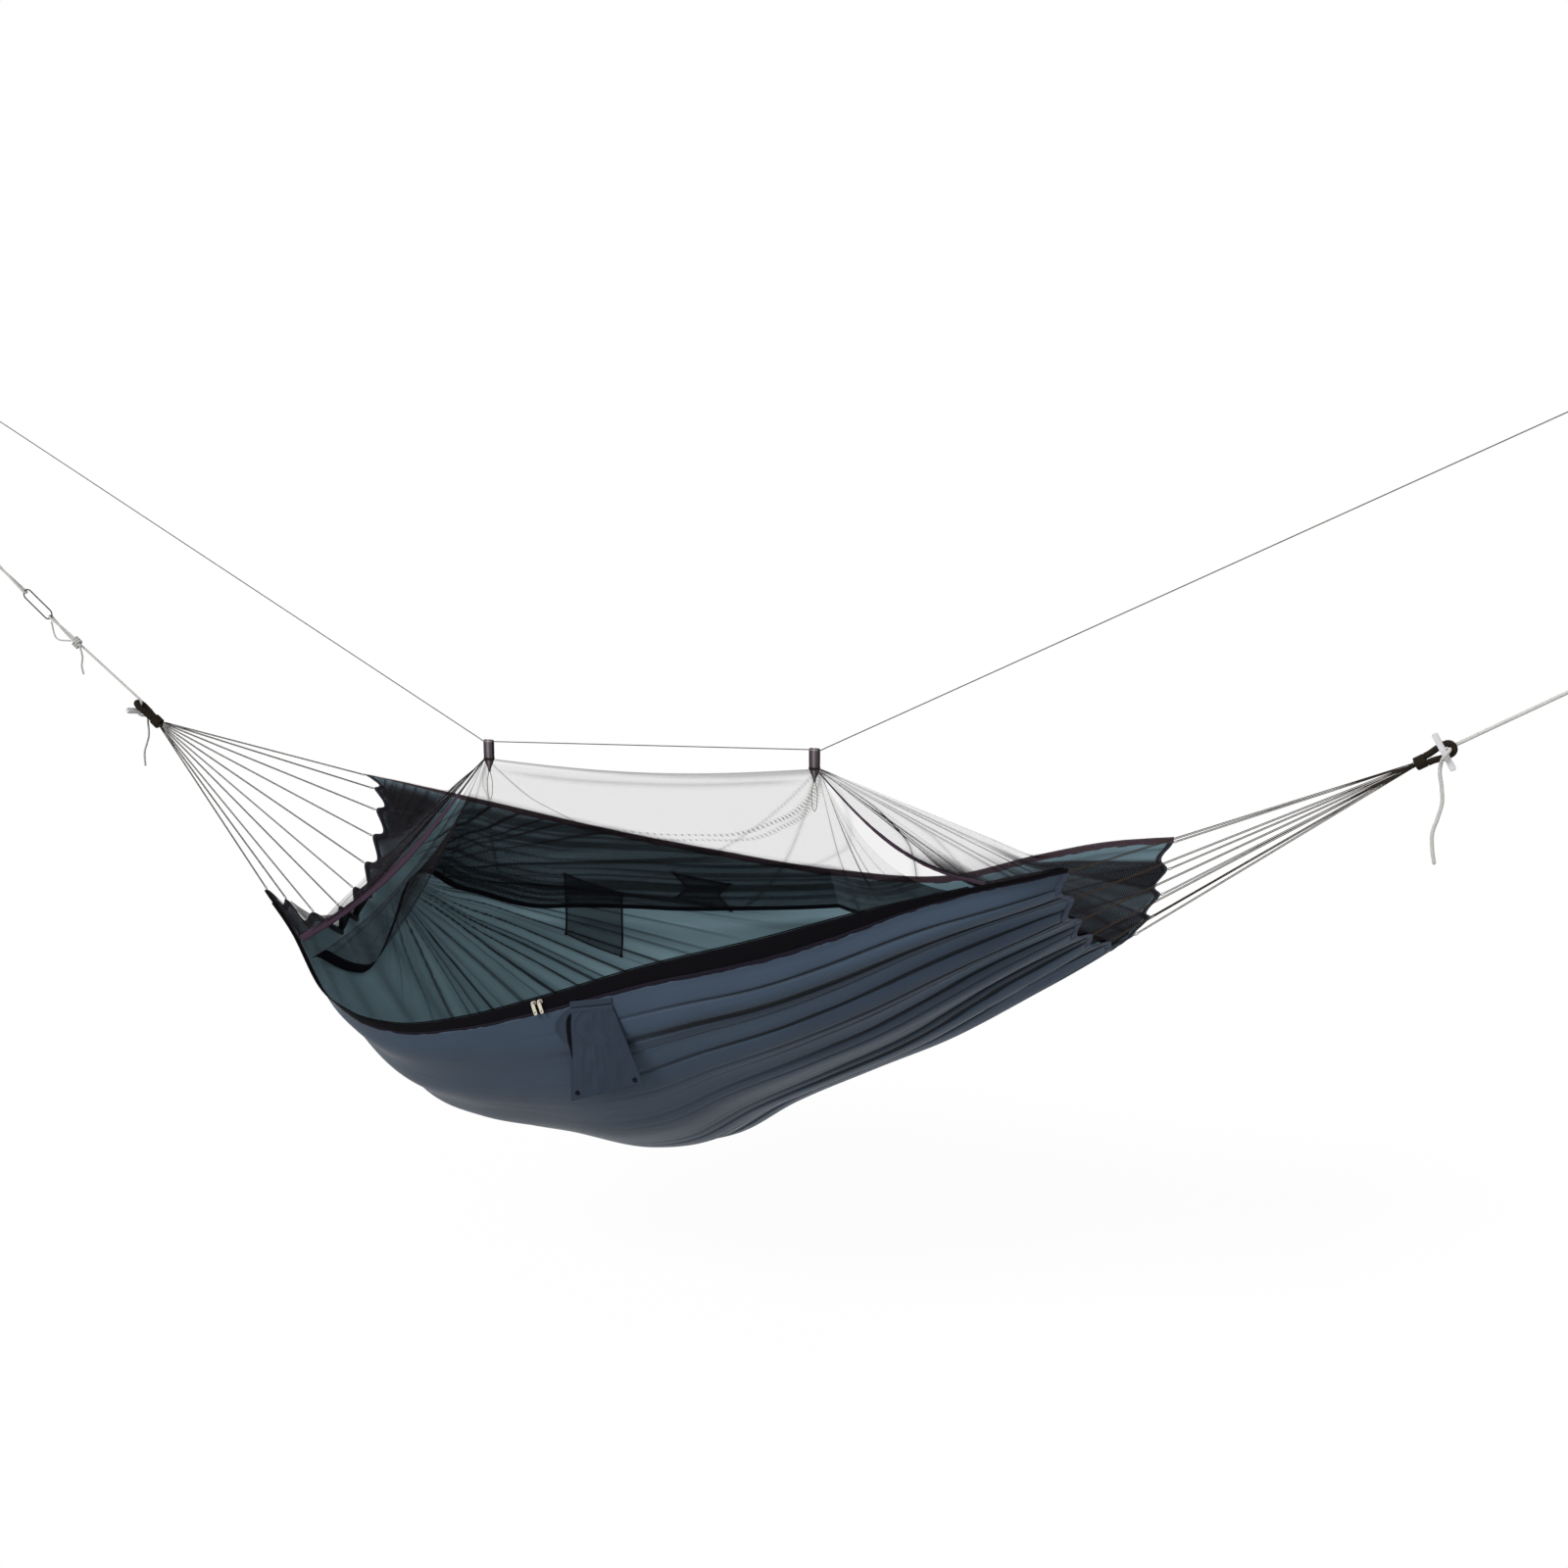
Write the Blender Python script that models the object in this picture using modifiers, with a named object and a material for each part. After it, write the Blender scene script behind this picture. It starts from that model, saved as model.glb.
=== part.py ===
"""Hammock tent: a gathered hammock bed with a zipped net over it, hung from two ropes and a ridge line.

Metres, +Z up. The origin is the middle of the loop in the head main rope, where the hammock is tied up.
+X runs from the head to the foot, and -Y is the side with the zip. The bed is modelled in use, lain in
diagonally, with its net door unzipped and thrown back.
"""
import math

import bmesh
import bpy
import numpy as np
from mathutils import Matrix, Vector

# General clearances
GAP = 0.0003
RUNNING_GAP = 0.0006

# Ropes and span
SPAN = 2.776
FOOT_EYE_RISE = 0.067
HEAD_ROPE_D = 0.0050
FOOT_ROPE_D = 0.0068
HEAD_ROPE_LENGTH = 0.5635
HEAD_ROPE_SLOPE = math.radians(39.6)
FOOT_ROPE_LENGTH = 0.320
FOOT_ROPE_SLOPE = math.radians(30.0)
TREE_LOOP_RADIUS = 0.022
TREE_LOOP_SIDES = 24

# Ridge line and its webbing tabs
RIDGE_D = 0.0022
RIDGE_HEAD_RISE = 0.309
RIDGE_FOOT_RISE = 0.483
RIDGE_LOOP_RADIUS = 0.014
HEAD_TAB_AT = (0.8682, -0.0396)
FOOT_TAB_AT = (1.5812, -0.0146)
TAB_WIDTH = 0.021
TAB_THICKNESS = 0.010
TAB_BAND_DROP = 0.034
TAB_LENGTH = 0.064
TAB_TIP_WIDTH = 0.010
TAB_HEAD = 0.004
LINE_HOLE_D = RIDGE_D + 2 * RUNNING_GAP

# Bed: places along it are measured from the middle of the cloth, heights from just under the head eye
CLOTH_MIDDLE = 1.3812
DATUM_DROP = 0.0026
BED_DEPTH = 0.845
CLOTH = 0.0008
FRONT_RIM_HEAD, FRONT_RIM_FOOT = -0.881, 0.769
BACK_RIM_HEAD, BACK_RIM_FOOT = -0.993, 0.856
KEEL_HEAD, KEEL_FOOT = -0.835, 0.815
FRONT_HEM_OUT = 0.285
BACK_HEM_OUT = 0.298
RIM_BOW = 0.100
FRONT_RIM_DROP_SHARES = (
    (0.0, 0.378), (0.05, 0.470), (0.09, 0.583), (0.138, 0.630), (0.20, 0.640), (0.30, 0.600),
    (0.40, 0.533), (0.54, 0.430), (0.66, 0.356), (0.80, 0.265), (0.91, 0.206), (1.0, 0.166))
BACK_RIM_DROP_SHARES = (
    (0.0, 0.225), (0.15, 0.290), (0.30, 0.347), (0.45, 0.385), (0.60, 0.410), (0.74, 0.396),
    (0.84, 0.323), (0.92, 0.270), (1.0, 0.234))
KEEL_DROP_SHARES = (
    (0.0, 0.475), (0.06, 0.655), (0.12, 0.803), (0.18, 0.908), (0.26, 0.959), (0.36, 0.977),
    (0.46, 0.996), (0.53, 0.962), (0.60, 0.870), (0.70, 0.762), (0.80, 0.658), (0.90, 0.525), (1.0, 0.405))
KEEL_OUT_SHARES = ((0.0, -0.40), (0.30, -0.10), (0.60, 0.02), (1.0, 0.03))
KEEL_LAP_SHARES = ((0.0, -0.45), (0.25, -0.10), (0.50, 0.0), (1.0, 0.0))
FULLNESS_SHARES = ((0.0, 0.0), (0.15, 0.60), (0.50, 1.0), (0.85, 0.70), (1.0, 0.20))
STATION_SHARES = (0.0, 0.03, 0.065, 0.105, 0.15, 0.21, 0.28, 0.36, 0.45, 0.54, 0.63, 0.72, 0.81, 0.89, 0.95, 1.0)

# Gathers, folds and edges of the bed
GATHERS = 9
COLUMNS_PER_GATHER = 4
SCALLOP_DEPTH = 0.018
FOLD_HEIGHT = 0.017
HEAD_FOLD_SHARES = ((0.0, 0.25), (0.08, 1.0), (0.20, 0.75), (0.36, 0.25), (0.50, 0.0), (1.0, 0.0))
FOOT_FOLD_SHARES = ((0.0, 0.0), (0.36, 0.0), (0.55, 0.35), (0.78, 0.80), (0.93, 1.0), (1.0, 0.25))
HEM_WIDTH = 0.012
HEM_THICKNESS = 0.0024
HEM_END_SHARE = 0.0014
HEM_GAP = 0.0009
BINDING_WIDTH = 0.014
BINDING_THICKNESS = 0.0016
ZIP_BAND_WIDTH = 0.038
ZIP_BAND_WIDTH_SHARES = ((0.0, 0.30), (0.10, 0.40), (0.30, 0.68), (0.50, 0.98), (0.76, 1.02), (0.85, 0.52), (1.0, 0.26))
ZIP_COIL_D = 0.0032
ZIP_START_SHARE, ZIP_END_SHARE = 0.015, 0.90

# Zip sliders and pulls
SLIDER_LENGTH, SLIDER_HEIGHT, SLIDER_DEPTH = 0.0110, 0.0085, 0.0040
SLIDER_DROP = 0.0075
HEAD_SLIDER_SHARE = 0.3965
FOOT_SLIDER_SHARE = 0.4045
BAIL_WIRE = 0.0016
BAIL_REACH = 0.0030
BAIL_SPAN = 0.0062
PULL_LENGTH, PULL_WIDTH, PULL_THICKNESS = 0.0240, 0.0075, 0.0012
PULL_EYE_R = 0.0021
PULL_EYE_LENGTH = BAIL_SPAN - BAIL_WIRE - 2 * RUNNING_GAP

# Net
NET = 0.0006
NET_TOP_DROP = 0.038
NET_TOP_RADIUS = 0.0121
NET_SAG = 0.020
DOOR_DROP = 0.008
DOOR_TOP_RADIUS = 0.0142
NET_BEND_SHARE = 0.70
END_SAG = 0.020
SEAM_SIDE_SHARE = 0.75
HEAD_CROSSING_SHARE = 0.10
FOOT_CROSSING_SHARE = 0.84
FOOT_SEAM_SHARE = 0.92
HEAD_SEAM_SHARE = 0.055
SEAM_SAG = 0.045
SEAM_D = 0.0034
SEAM_OFFSET = SEAM_D / 2 + NET / 2 + GAP
NET_LIFT = 0.0070
NET_RIM_INSET = 0.0040
NET_RIM_LIFT = 0.0030
NET_SEWN_LIFT = 0.0018
DOOR_HEM_WIDTH = 0.022
DOOR_HEM_THICKNESS = 0.0012
DOOR_UNDER = 0.014
DOOR_HEM_SHARES = (
    (0.0, 0.066, -0.92, 0.42), (0.07, 0.052, -0.70, 0.42), (0.14, 0.045, -0.40, 0.42),
    (0.22, 0.040, 0.0, 0.40), (0.29, 0.045, 0.29, 0.47), (0.34, 0.065, 0.42, 0.53), (0.38, 0.090, 0.45, 0.67),
    (0.43, 0.125, 0.52, 0.83), (0.54, 0.255, 0.72, 1.0), (0.67, 0.410, 0.83, 1.0), (0.76, 0.515, 0.87, 1.0),
    (0.85, 0.610, 0.88, 1.0))
DOOR_HEM_LIFT = 0.060
DOOR_FREE_SHARE = 0.85
DOOR_END_RUN, DOOR_END_LAP, DOOR_END_LIFT = 0.895, -0.93, 0.026
DOOR_FREE_SAG = 0.030

# Eyes, whippings and toggles at the two ends
EYE_TUBE = 0.0125
EYE_LENGTH = 0.058
EYE_CLEARANCE = 0.0008
EYE_STEPS = 10
WHIPPING_LENGTH = 0.021
WHIPPING_MOUTH_R = 0.0125
WHIPPING_NECK_R = 0.0125
HEAD_FAN_BACKSET, FOOT_FAN_BACKSET = 0.0140, 0.0165
TOGGLE_LENGTH = 0.074
TOGGLE_WIDTH, TOGGLE_DEPTH = 0.0105, 0.0085
TOGGLE_GROOVE = 0.0022
TOGGLE_WALL = 0.0020
HITCH_DROP = 0.0110
HITCH_POINTS = 15
HITCH_END_ANGLE = -140
HEAD_TOGGLE_LEAN = math.radians(15.0)
FOOT_TAIL_LENGTH = 0.170
HEAD_TAIL_LENGTH = 0.105
TAIL_TURN_STEPS = 5
TAIL_SHARES = ((0.0, 0.0), (0.35, 0.05), (0.70, -0.02), (1.0, 0.03))

# Suspension cords: each is one cord that runs out to two cusps of the hem and back
CORD_D = 0.0016
CORD_PAIR_GAP = 0.0022
CORDS_PER_END = (GATHERS + 1) // 2

# Head adjuster: dark link, knot and its loose end
LINK_D = 0.0030
LINK_START = 0.200
LINK_LENGTH = 0.090
LINK_WIDTH = 0.022
LINK_STEPS = 10
TREE_STRAND_HALF = 0.0044
TWIST_STEPS = 8
KNOT_TURNS = 3
KNOT_REACH = 0.093
KNOT_POINTS_PER_TURN = 14
KNOT_LOOP_D = 0.0035
KNOT_LOOP_BULGE = 0.021
KNOT_TAIL_LENGTH = 0.060

# Inner cords tied under the tabs
INNER_CORD_D = 0.0016
INNER_CORD_LENGTH = 0.058
INNER_CORD_WIDTH = 0.012

# Pockets on the inner side of the back wall, as shares of the bed's run and of its lap
POCKET_RUN_SHARES = (0.236, 0.312)
POCKET_LAP_SHARES = (0.815, 0.912)
STAR_RUN_SHARES = (0.385, 0.460)
STAR_LAP_SHARES = (0.925, 0.962)
POCKET_LIFT = 0.0050
POCKET_CLOTH = 0.0008
POCKET_CELLS = 5

# Stow pouch on the outer side of the front wall
POUCH_TOP_WIDTH = 0.088
POUCH_BOTTOM_WIDTH = 0.156
POUCH_HEIGHT = 0.180
POUCH_GUSSET = 0.040
POUCH_EDGE = 0.0022
POUCH_PUFF_FRONT, POUCH_PUFF_BACK = 0.0042, 0.0008
POUCH_SHARE = 0.442
POUCH_DROP = 0.0125
POUCH_STAND_OFF = 0.0005
POUCH_COLUMNS, POUCH_ROWS = 8, 9
POUCH_SLOPE_SHARE = 0.20
POUCH_FOOT_SLOPE_SHARE = 0.34

HEAD_EYE = Vector((HEAD_ROPE_LENGTH * math.cos(HEAD_ROPE_SLOPE), 0, -HEAD_ROPE_LENGTH * math.sin(HEAD_ROPE_SLOPE)))
FOOT_EYE = HEAD_EYE + Vector((SPAN, 0, FOOT_EYE_RISE))
HEAD_PULL = Vector((-math.cos(HEAD_ROPE_SLOPE), 0, math.sin(HEAD_ROPE_SLOPE)))
FOOT_PULL = Vector((math.cos(FOOT_ROPE_SLOPE), 0, math.sin(FOOT_ROPE_SLOPE)))
HEAD_ANCHOR = Vector((0, 0, 0))
FOOT_ANCHOR = FOOT_EYE + FOOT_ROPE_LENGTH * FOOT_PULL
MIDDLE = HEAD_EYE + Vector((CLOTH_MIDDLE, 0, -DATUM_DROP))
BED_RUN = KEEL_FOOT - KEEL_HEAD
SIDE = Vector((0, 1, 0))
UP = Vector((0, 0, 1))


def profile(shares, at):
    """Smooth curve through a table of (position share, value share) pairs."""
    xs = np.array([pair[0] for pair in shares])
    ys = np.array([pair[1] for pair in shares])
    steps = np.diff(xs)
    rises = np.diff(ys) / steps
    slopes = np.empty_like(ys)
    slopes[0], slopes[-1] = rises[0], rises[-1]
    slopes[1:-1] = (rises[:-1] * steps[1:] + rises[1:] * steps[:-1]) / (steps[:-1] + steps[1:])
    at = np.asarray(at, float)
    k = np.clip(np.searchsorted(xs, at, side="right") - 1, 0, len(xs) - 2)
    t = (at - xs[k]) / steps[k]
    start = (1 + 2 * t) * (1 - t) ** 2 * ys[k] + t * (1 - t) ** 2 * steps[k] * slopes[k]
    return start + t * t * (3 - 2 * t) * ys[k + 1] + t * t * (t - 1) * steps[k] * slopes[k + 1]


def rim_out(run, hem_out):
    """Distance of a rim from the middle plane: straight at mid length, drawn in at the hems."""
    return hem_out + RIM_BOW * (1 - np.abs(2 * run - 1) ** 3)


def skin(run, lap):
    """Point of the unfolded bed. Run goes 0 to 1 from head to foot, lap -1 to 1 from front rim to back rim."""
    run, lap = np.broadcast_arrays(np.asarray(run, float), np.asarray(lap, float))
    keel_lap = profile(KEEL_LAP_SHARES, run)
    front = lap < keel_lap
    t = np.where(front, (keel_lap - lap) / (1 + keel_lap), (lap - keel_lap) / (1 - keel_lap))
    front_x = FRONT_RIM_HEAD + (FRONT_RIM_FOOT - FRONT_RIM_HEAD) * run
    back_x = BACK_RIM_HEAD + (BACK_RIM_FOOT - BACK_RIM_HEAD) * run
    keel_x = KEEL_HEAD + BED_RUN * run
    rim_x = np.where(front, front_x, back_x)
    rim_y = np.where(front, -rim_out(run, FRONT_HEM_OUT), rim_out(run, BACK_HEM_OUT))
    rim_z = -BED_DEPTH * np.where(front, profile(FRONT_RIM_DROP_SHARES, run), profile(BACK_RIM_DROP_SHARES, run))
    keel_y = BACK_HEM_OUT * profile(KEEL_OUT_SHARES, run)
    keel_z = -BED_DEPTH * profile(KEEL_DROP_SHARES, run)
    full = profile(FULLNESS_SHARES, run)
    slack_up = (1 - run) * t * t * (3 - 2 * t) + run * t ** 1.5
    out = full * np.sin(t * math.pi / 2) + (1 - full) * t
    up = full * (1 - np.cos(t * math.pi / 2)) + (1 - full) * slack_up
    late = np.where(front, 0.0, 1 - run)
    x = MIDDLE.x + keel_x + (rim_x - keel_x) * (late * t ** 3 + (1 - late) * (1 - (1 - t) ** 4))
    y = keel_y + (rim_y - keel_y) * out
    z = MIDDLE.z + keel_z + (rim_z - keel_z) * up
    return np.stack([x, y, z], -1)


SLOPE_STEP_SHARE = 0.004


def unit(vectors):
    return vectors / np.linalg.norm(vectors, axis=-1, keepdims=True)


def along_lap(run, lap):
    """Change of the skin per unit of lap, one-sided at the rims."""
    low = np.clip(lap - SLOPE_STEP_SHARE, -1, 1)
    high = np.clip(lap + SLOPE_STEP_SHARE, -1, 1)
    return (skin(run, high) - skin(run, low)) / (high - low)[..., None]


def along_run(run, lap):
    low = np.clip(run - SLOPE_STEP_SHARE, 0, 1)
    high = np.clip(run + SLOPE_STEP_SHARE, 0, 1)
    return (skin(high, lap) - skin(low, lap)) / (high - low)[..., None]


def inward(run, lap):
    """Unit normal of the bed, pointing to the side that is lain in."""
    return unit(np.cross(along_run(run, lap), along_lap(run, lap)))


def edge_lap(run, side, distance):
    """Lap at a real distance in from a rim: side -1 is the front rim, 1 the back rim."""
    run = np.asarray(run, float)
    pace = np.linalg.norm(along_lap(run, np.full_like(run, side, float)), axis=-1)
    return side * (1 - distance / pace)


def band_width(run):
    return ZIP_BAND_WIDTH * profile(ZIP_BAND_WIDTH_SHARES, run)


def cloth_lap(run, share):
    """Lap at a share of the cloth between the zip band and the back binding."""
    front = edge_lap(run, -1, band_width(run) + GAP)
    back = edge_lap(run, 1, BINDING_WIDTH + GAP)
    return front + (back - front) * share


def fold(run, share):
    """How far the gathers let the cloth billow out between two cusps, fading towards mid length."""
    head = profile(HEAD_FOLD_SHARES, run) * (0.5 + 0.5 * share)
    foot = profile(FOOT_FOLD_SHARES, run) * (1 - 0.4 * share)
    return FOLD_HEIGHT * (head + foot) * np.sin(math.pi * GATHERS * share) ** 2


def cloth_at(run, share, lift=0.0):
    """Point on the gathered cloth, lifted to the inner side."""
    run, share = np.broadcast_arrays(np.asarray(run, float), np.asarray(share, float))
    lap = cloth_lap(run, share)
    return skin(run, lap) + inward(run, lap) * (lift - fold(run, share))[..., None]


def hem_run(end, distance, share):
    """Run at a real distance in from the line of cusps at the head (0) or the foot (1)."""
    valley = np.sin(math.pi * GATHERS * np.asarray(share, float)) ** 2
    inset = (distance + SCALLOP_DEPTH * valley) / BED_RUN
    return end + (1 - 2 * end) * inset


def bed_runs(shares, distance):
    """Grid of runs between the two hems, for each station and each share across."""
    stations = np.array(STATION_SHARES)[:, None]
    head = hem_run(0, distance, shares)[None, :]
    foot = hem_run(1, distance, shares)[None, :]
    return head + (foot - head) * stations


def rim_runs():
    """Runs of the stations along a rim: both cusps, and the cloth's own stations between them."""
    cloth = bed_runs(np.array([0.0]), HEM_WIDTH + HEM_GAP)[:, 0]
    return np.concatenate(([0.0], cloth, [1.0]))


def along_rim(side, width):
    """Grid of points over a strip of a real width along a rim, over all stations."""
    runs = rim_runs()
    rows = [skin(runs, edge_lap(runs, side, distance)) for distance in (0.0 * runs, width + 0.0 * runs)]
    return np.stack(rows, 1)


def clear_scene():
    for old in list(bpy.data.objects):
        bpy.data.objects.remove(old, do_unlink=True)


def make_collection(name):
    collection = bpy.data.collections.new(name)
    bpy.context.scene.collection.children.link(collection)
    return collection


def make_material(name, colour, roughness, metallic=0.0):
    material = bpy.data.materials.new(name)
    material.use_nodes = True
    shader = material.node_tree.nodes["Principled BSDF"]
    shader.inputs["Base Color"].default_value = (*colour, 1)
    shader.inputs["Roughness"].default_value = roughness
    shader.inputs["Metallic"].default_value = metallic
    material.diffuse_color = (*colour, 1)
    return material


class Workshop:
    """Adds named objects with a material and an origin to the part's collection."""

    def __init__(self):
        clear_scene()
        self.parts = make_collection("hammock_tent")
        self.cutters = make_collection("cutters")
        self.materials = {
            "bed_cloth": make_material("bed_cloth", (0.055, 0.085, 0.115), 0.75),
            "zip_tape": make_material("zip_tape", (0.004, 0.003, 0.004), 0.70),
            "net": make_material("net", (0.020, 0.018, 0.021), 0.85),
            "binding": make_material("binding", (0.040, 0.022, 0.040), 0.70),
            "webbing": make_material("webbing", (0.035, 0.027, 0.032), 0.45),
            "white_rope": make_material("white_rope", (0.70, 0.70, 0.70), 0.80),
            "dark_cord": make_material("dark_cord", (0.050, 0.040, 0.030), 0.80),
            "ridge_cord": make_material("ridge_cord", (0.20, 0.19, 0.18), 0.60),
            "whipping": make_material("whipping", (0.015, 0.012, 0.008), 0.85),
            "toggle_plastic": make_material("toggle_plastic", (0.75, 0.74, 0.76), 0.35),
            "zip_metal": make_material("zip_metal", (0.78, 0.75, 0.68), 0.30, 1.0),
            "beige_cord": make_material("beige_cord", (0.42, 0.38, 0.28), 0.80),
        }

    def adopt(self, data, name, material, pivot=None):
        """Object from mesh or curve data in part coordinates, with its origin moved to the pivot."""
        pivot = Vector(pivot) if pivot is not None else Vector((0, 0, 0))
        data.transform(Matrix.Translation(-pivot))
        data.name = name
        data.materials.append(self.materials[material])
        made = bpy.data.objects.new(name, data)
        made.location = pivot
        self.parts.objects.link(made)
        return made

    def mesh(self, bm, name, material, pivot=None, smooth=False):
        bmesh.ops.recalc_face_normals(bm, faces=bm.faces)
        data = bpy.data.meshes.new(name)
        bm.to_mesh(data)
        bm.free()
        if smooth:
            data.shade_smooth()
        return self.adopt(data, name, material, pivot)

    def sheet(self, name, grid, thickness, material, pivot=None):
        """Open cloth surface through a grid of points, thickened equally to both sides."""
        rows, columns = grid.shape[:2]
        bm = bmesh.new()
        corners = [[bm.verts.new(grid[i, j]) for j in range(columns)] for i in range(rows)]
        for i in range(rows - 1):
            for j in range(columns - 1):
                bm.faces.new((corners[i][j], corners[i + 1][j], corners[i + 1][j + 1], corners[i][j + 1]))
        made = self.mesh(bm, name, material, pivot, smooth=True)
        shell = made.modifiers.new("thickness", "SOLIDIFY")
        shell.thickness = thickness
        shell.offset = 0.0
        return made

    def tube(self, name, points, diameter, material, pivot=None, closed=False, fineness=2):
        """Cord, rope or wire: a round tube along a list of points."""
        curve = bpy.data.curves.new(name, "CURVE")
        curve.dimensions = "3D"
        curve.bevel_depth = diameter / 2
        curve.bevel_resolution = fineness
        curve.use_fill_caps = not closed
        spline = curve.splines.new("POLY")
        spline.points.add(len(points) - 1)
        for slot, point in zip(spline.points, points):
            slot.co = (*point, 1)
        spline.use_cyclic_u = closed
        spline.use_smooth = True
        return self.adopt(curve, name, material, pivot)

    def cutter(self, name, bm):
        data = bpy.data.meshes.new(name)
        bm.to_mesh(data)
        bm.free()
        made = bpy.data.objects.new(name, data)
        self.cutters.objects.link(made)
        made.hide_render = True
        made.display_type = "WIRE"
        return made


def cone(bm, start, end, radius_start, radius_end, segments=16):
    """Closed cone or cylinder between two points."""
    axis = Vector(end) - Vector(start)
    turn = UP.rotation_difference(axis).to_matrix().to_4x4()
    middle = (Vector(start) + Vector(end)) / 2
    bmesh.ops.create_cone(
        bm, cap_ends=True, segments=segments, radius1=radius_start, radius2=radius_end,
        depth=axis.length, matrix=Matrix.Translation(middle) @ turn)


def frame_matrix(origin, x_axis, y_axis, z_axis):
    """Placement matrix of a local frame given by its three axes."""
    return Matrix.Translation(origin) @ Matrix((x_axis, y_axis, z_axis)).transposed().to_4x4()


def box(bm, placement, size):
    """Closed box of a real size in a local frame."""
    scale = Matrix.Diagonal((*size, 1))
    bmesh.ops.create_cube(bm, size=1.0, matrix=placement @ scale)


def ring_points(centre, axis_a, axis_b, radius_a, radius_b, count):
    """Closed ring, round or drawn out, in the plane of two axes."""
    turns = [2 * math.pi * k / count for k in range(count)]
    return [centre + axis_a * radius_a * math.cos(t) + axis_b * radius_b * math.sin(t) for t in turns]


def arc_points(centre, axis_a, axis_b, radius, start, stop, count):
    """Points on an arc from one angle to another, in degrees."""
    angles = [math.radians(start + (stop - start) * k / (count - 1)) for k in range(count)]
    return [centre + axis_a * radius * math.cos(t) + axis_b * radius * math.sin(t) for t in angles]


def stadium(centre, axis_a, axis_b, length, width, steps):
    """Closed ring with straight legs: length runs along the first axis."""
    radius = width / 2
    straight = length / 2 - radius
    first = arc_points(centre + axis_a * straight, axis_a, axis_b, radius, -90, 90, steps)
    return first + arc_points(centre - axis_a * straight, axis_a, axis_b, radius, 90, 270, steps)


def smooth_route(points, count):
    """Evenly many points on a smooth curve through a few route points."""
    table = np.array([tuple(point) for point in points])
    places = np.linspace(0, 1, len(table))
    at = np.linspace(0, 1, count)
    return [Vector(row) for row in np.stack([profile(list(zip(places, table[:, k])), at) for k in range(3)], 1)]


def tab_top(place):
    """Point where the ridge line crosses a tab, from its place beyond and above the head eye."""
    return HEAD_EYE + Vector((place[0], 0, place[1]))


HEAD_TAB = tab_top(HEAD_TAB_AT)
FOOT_TAB = tab_top(FOOT_TAB_AT)


def make_ridge(shop):
    """Ridge line, the loops at its ends and the two webbing tabs that hang on it."""
    head_anchor = HEAD_ANCHOR + UP * RIDGE_HEAD_RISE
    foot_anchor = FOOT_ANCHOR + UP * RIDGE_FOOT_RISE
    reach = RIDGE_LOOP_RADIUS + RIDGE_D / 2 + GAP
    half = TAB_WIDTH / 2 + 3 * RUNNING_GAP
    line = [HEAD_TAB - Vector((half, 0, 0)), HEAD_TAB + Vector((half, 0, 0)),
            FOOT_TAB - Vector((half, 0, 0)), FOOT_TAB + Vector((half, 0, 0))]
    head_way = (line[0] - head_anchor).normalized()
    foot_way = (line[-1] - foot_anchor).normalized()
    line = [head_anchor + head_way * reach] + line + [foot_anchor + foot_way * reach]
    shop.tube("ridge_line", line, RIDGE_D, "ridge_cord")
    for name, anchor, way in (("head_ridge_loop", head_anchor, head_way), ("foot_ridge_loop", foot_anchor, foot_way)):
        across = way.cross(SIDE)
        shop.tube(name, ring_points(anchor, way, across, RIDGE_LOOP_RADIUS, RIDGE_LOOP_RADIUS, TREE_LOOP_SIDES),
                  RIDGE_D, "ridge_cord", closed=True)
    make_tab(shop, "head_ridge_tab", HEAD_TAB)
    make_tab(shop, "foot_ridge_tab", FOOT_TAB)


def make_tab(shop, name, top):
    """Webbing folded over the ridge line, drawn in to the gathered tip of the net."""
    levels = ((TAB_HEAD, 1.0, 1.0), (-TAB_BAND_DROP, 1.0, 1.0), (-TAB_LENGTH, TAB_TIP_WIDTH / TAB_WIDTH, 1.0))
    bm = bmesh.new()
    rings = []
    for height, width_share, depth_share in levels:
        half_x, half_y = TAB_WIDTH / 2 * width_share, TAB_THICKNESS / 2 * depth_share
        corners = ((-half_x, -half_y), (half_x, -half_y), (half_x, half_y), (-half_x, half_y))
        rings.append([bm.verts.new(top + Vector((x, y, height))) for x, y in corners])
    bm.faces.new(rings[0])
    bm.faces.new(rings[-1])
    for above, below in zip(rings, rings[1:]):
        for k in range(4):
            n = (k + 1) % 4
            bm.faces.new((above[k], above[n], below[n], below[k]))
    tab = shop.mesh(bm, name, "webbing")
    hole = bmesh.new()
    reach = Vector((TAB_WIDTH, 0, 0))
    cone(hole, top - reach, top + reach, LINE_HOLE_D / 2, LINE_HOLE_D / 2)
    cut = tab.modifiers.new("line_hole", "BOOLEAN")
    cut.operation = "DIFFERENCE"
    cut.object = shop.cutter(name + "_hole", hole)


def make_bed_cloth(shop):
    """Main cloth of the bed, gathered at both hems, with its main folds."""
    shares = np.linspace(0, 1, GATHERS * COLUMNS_PER_GATHER + 1)
    runs = bed_runs(shares, HEM_WIDTH + HEM_GAP)
    shop.sheet("bed_cloth", cloth_at(runs, shares[None, :]), CLOTH, "bed_cloth")
    inset = np.clip(shares, HEM_END_SHARE, 1 - HEM_END_SHARE)
    for end, name in ((0, "head_hem"), (1, "foot_hem")):
        rows = [cloth_at(hem_run(end, distance, shares), inset) for distance in (0.0, HEM_WIDTH)]
        shop.sheet(name, np.stack(rows), HEM_THICKNESS, "binding")


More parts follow.
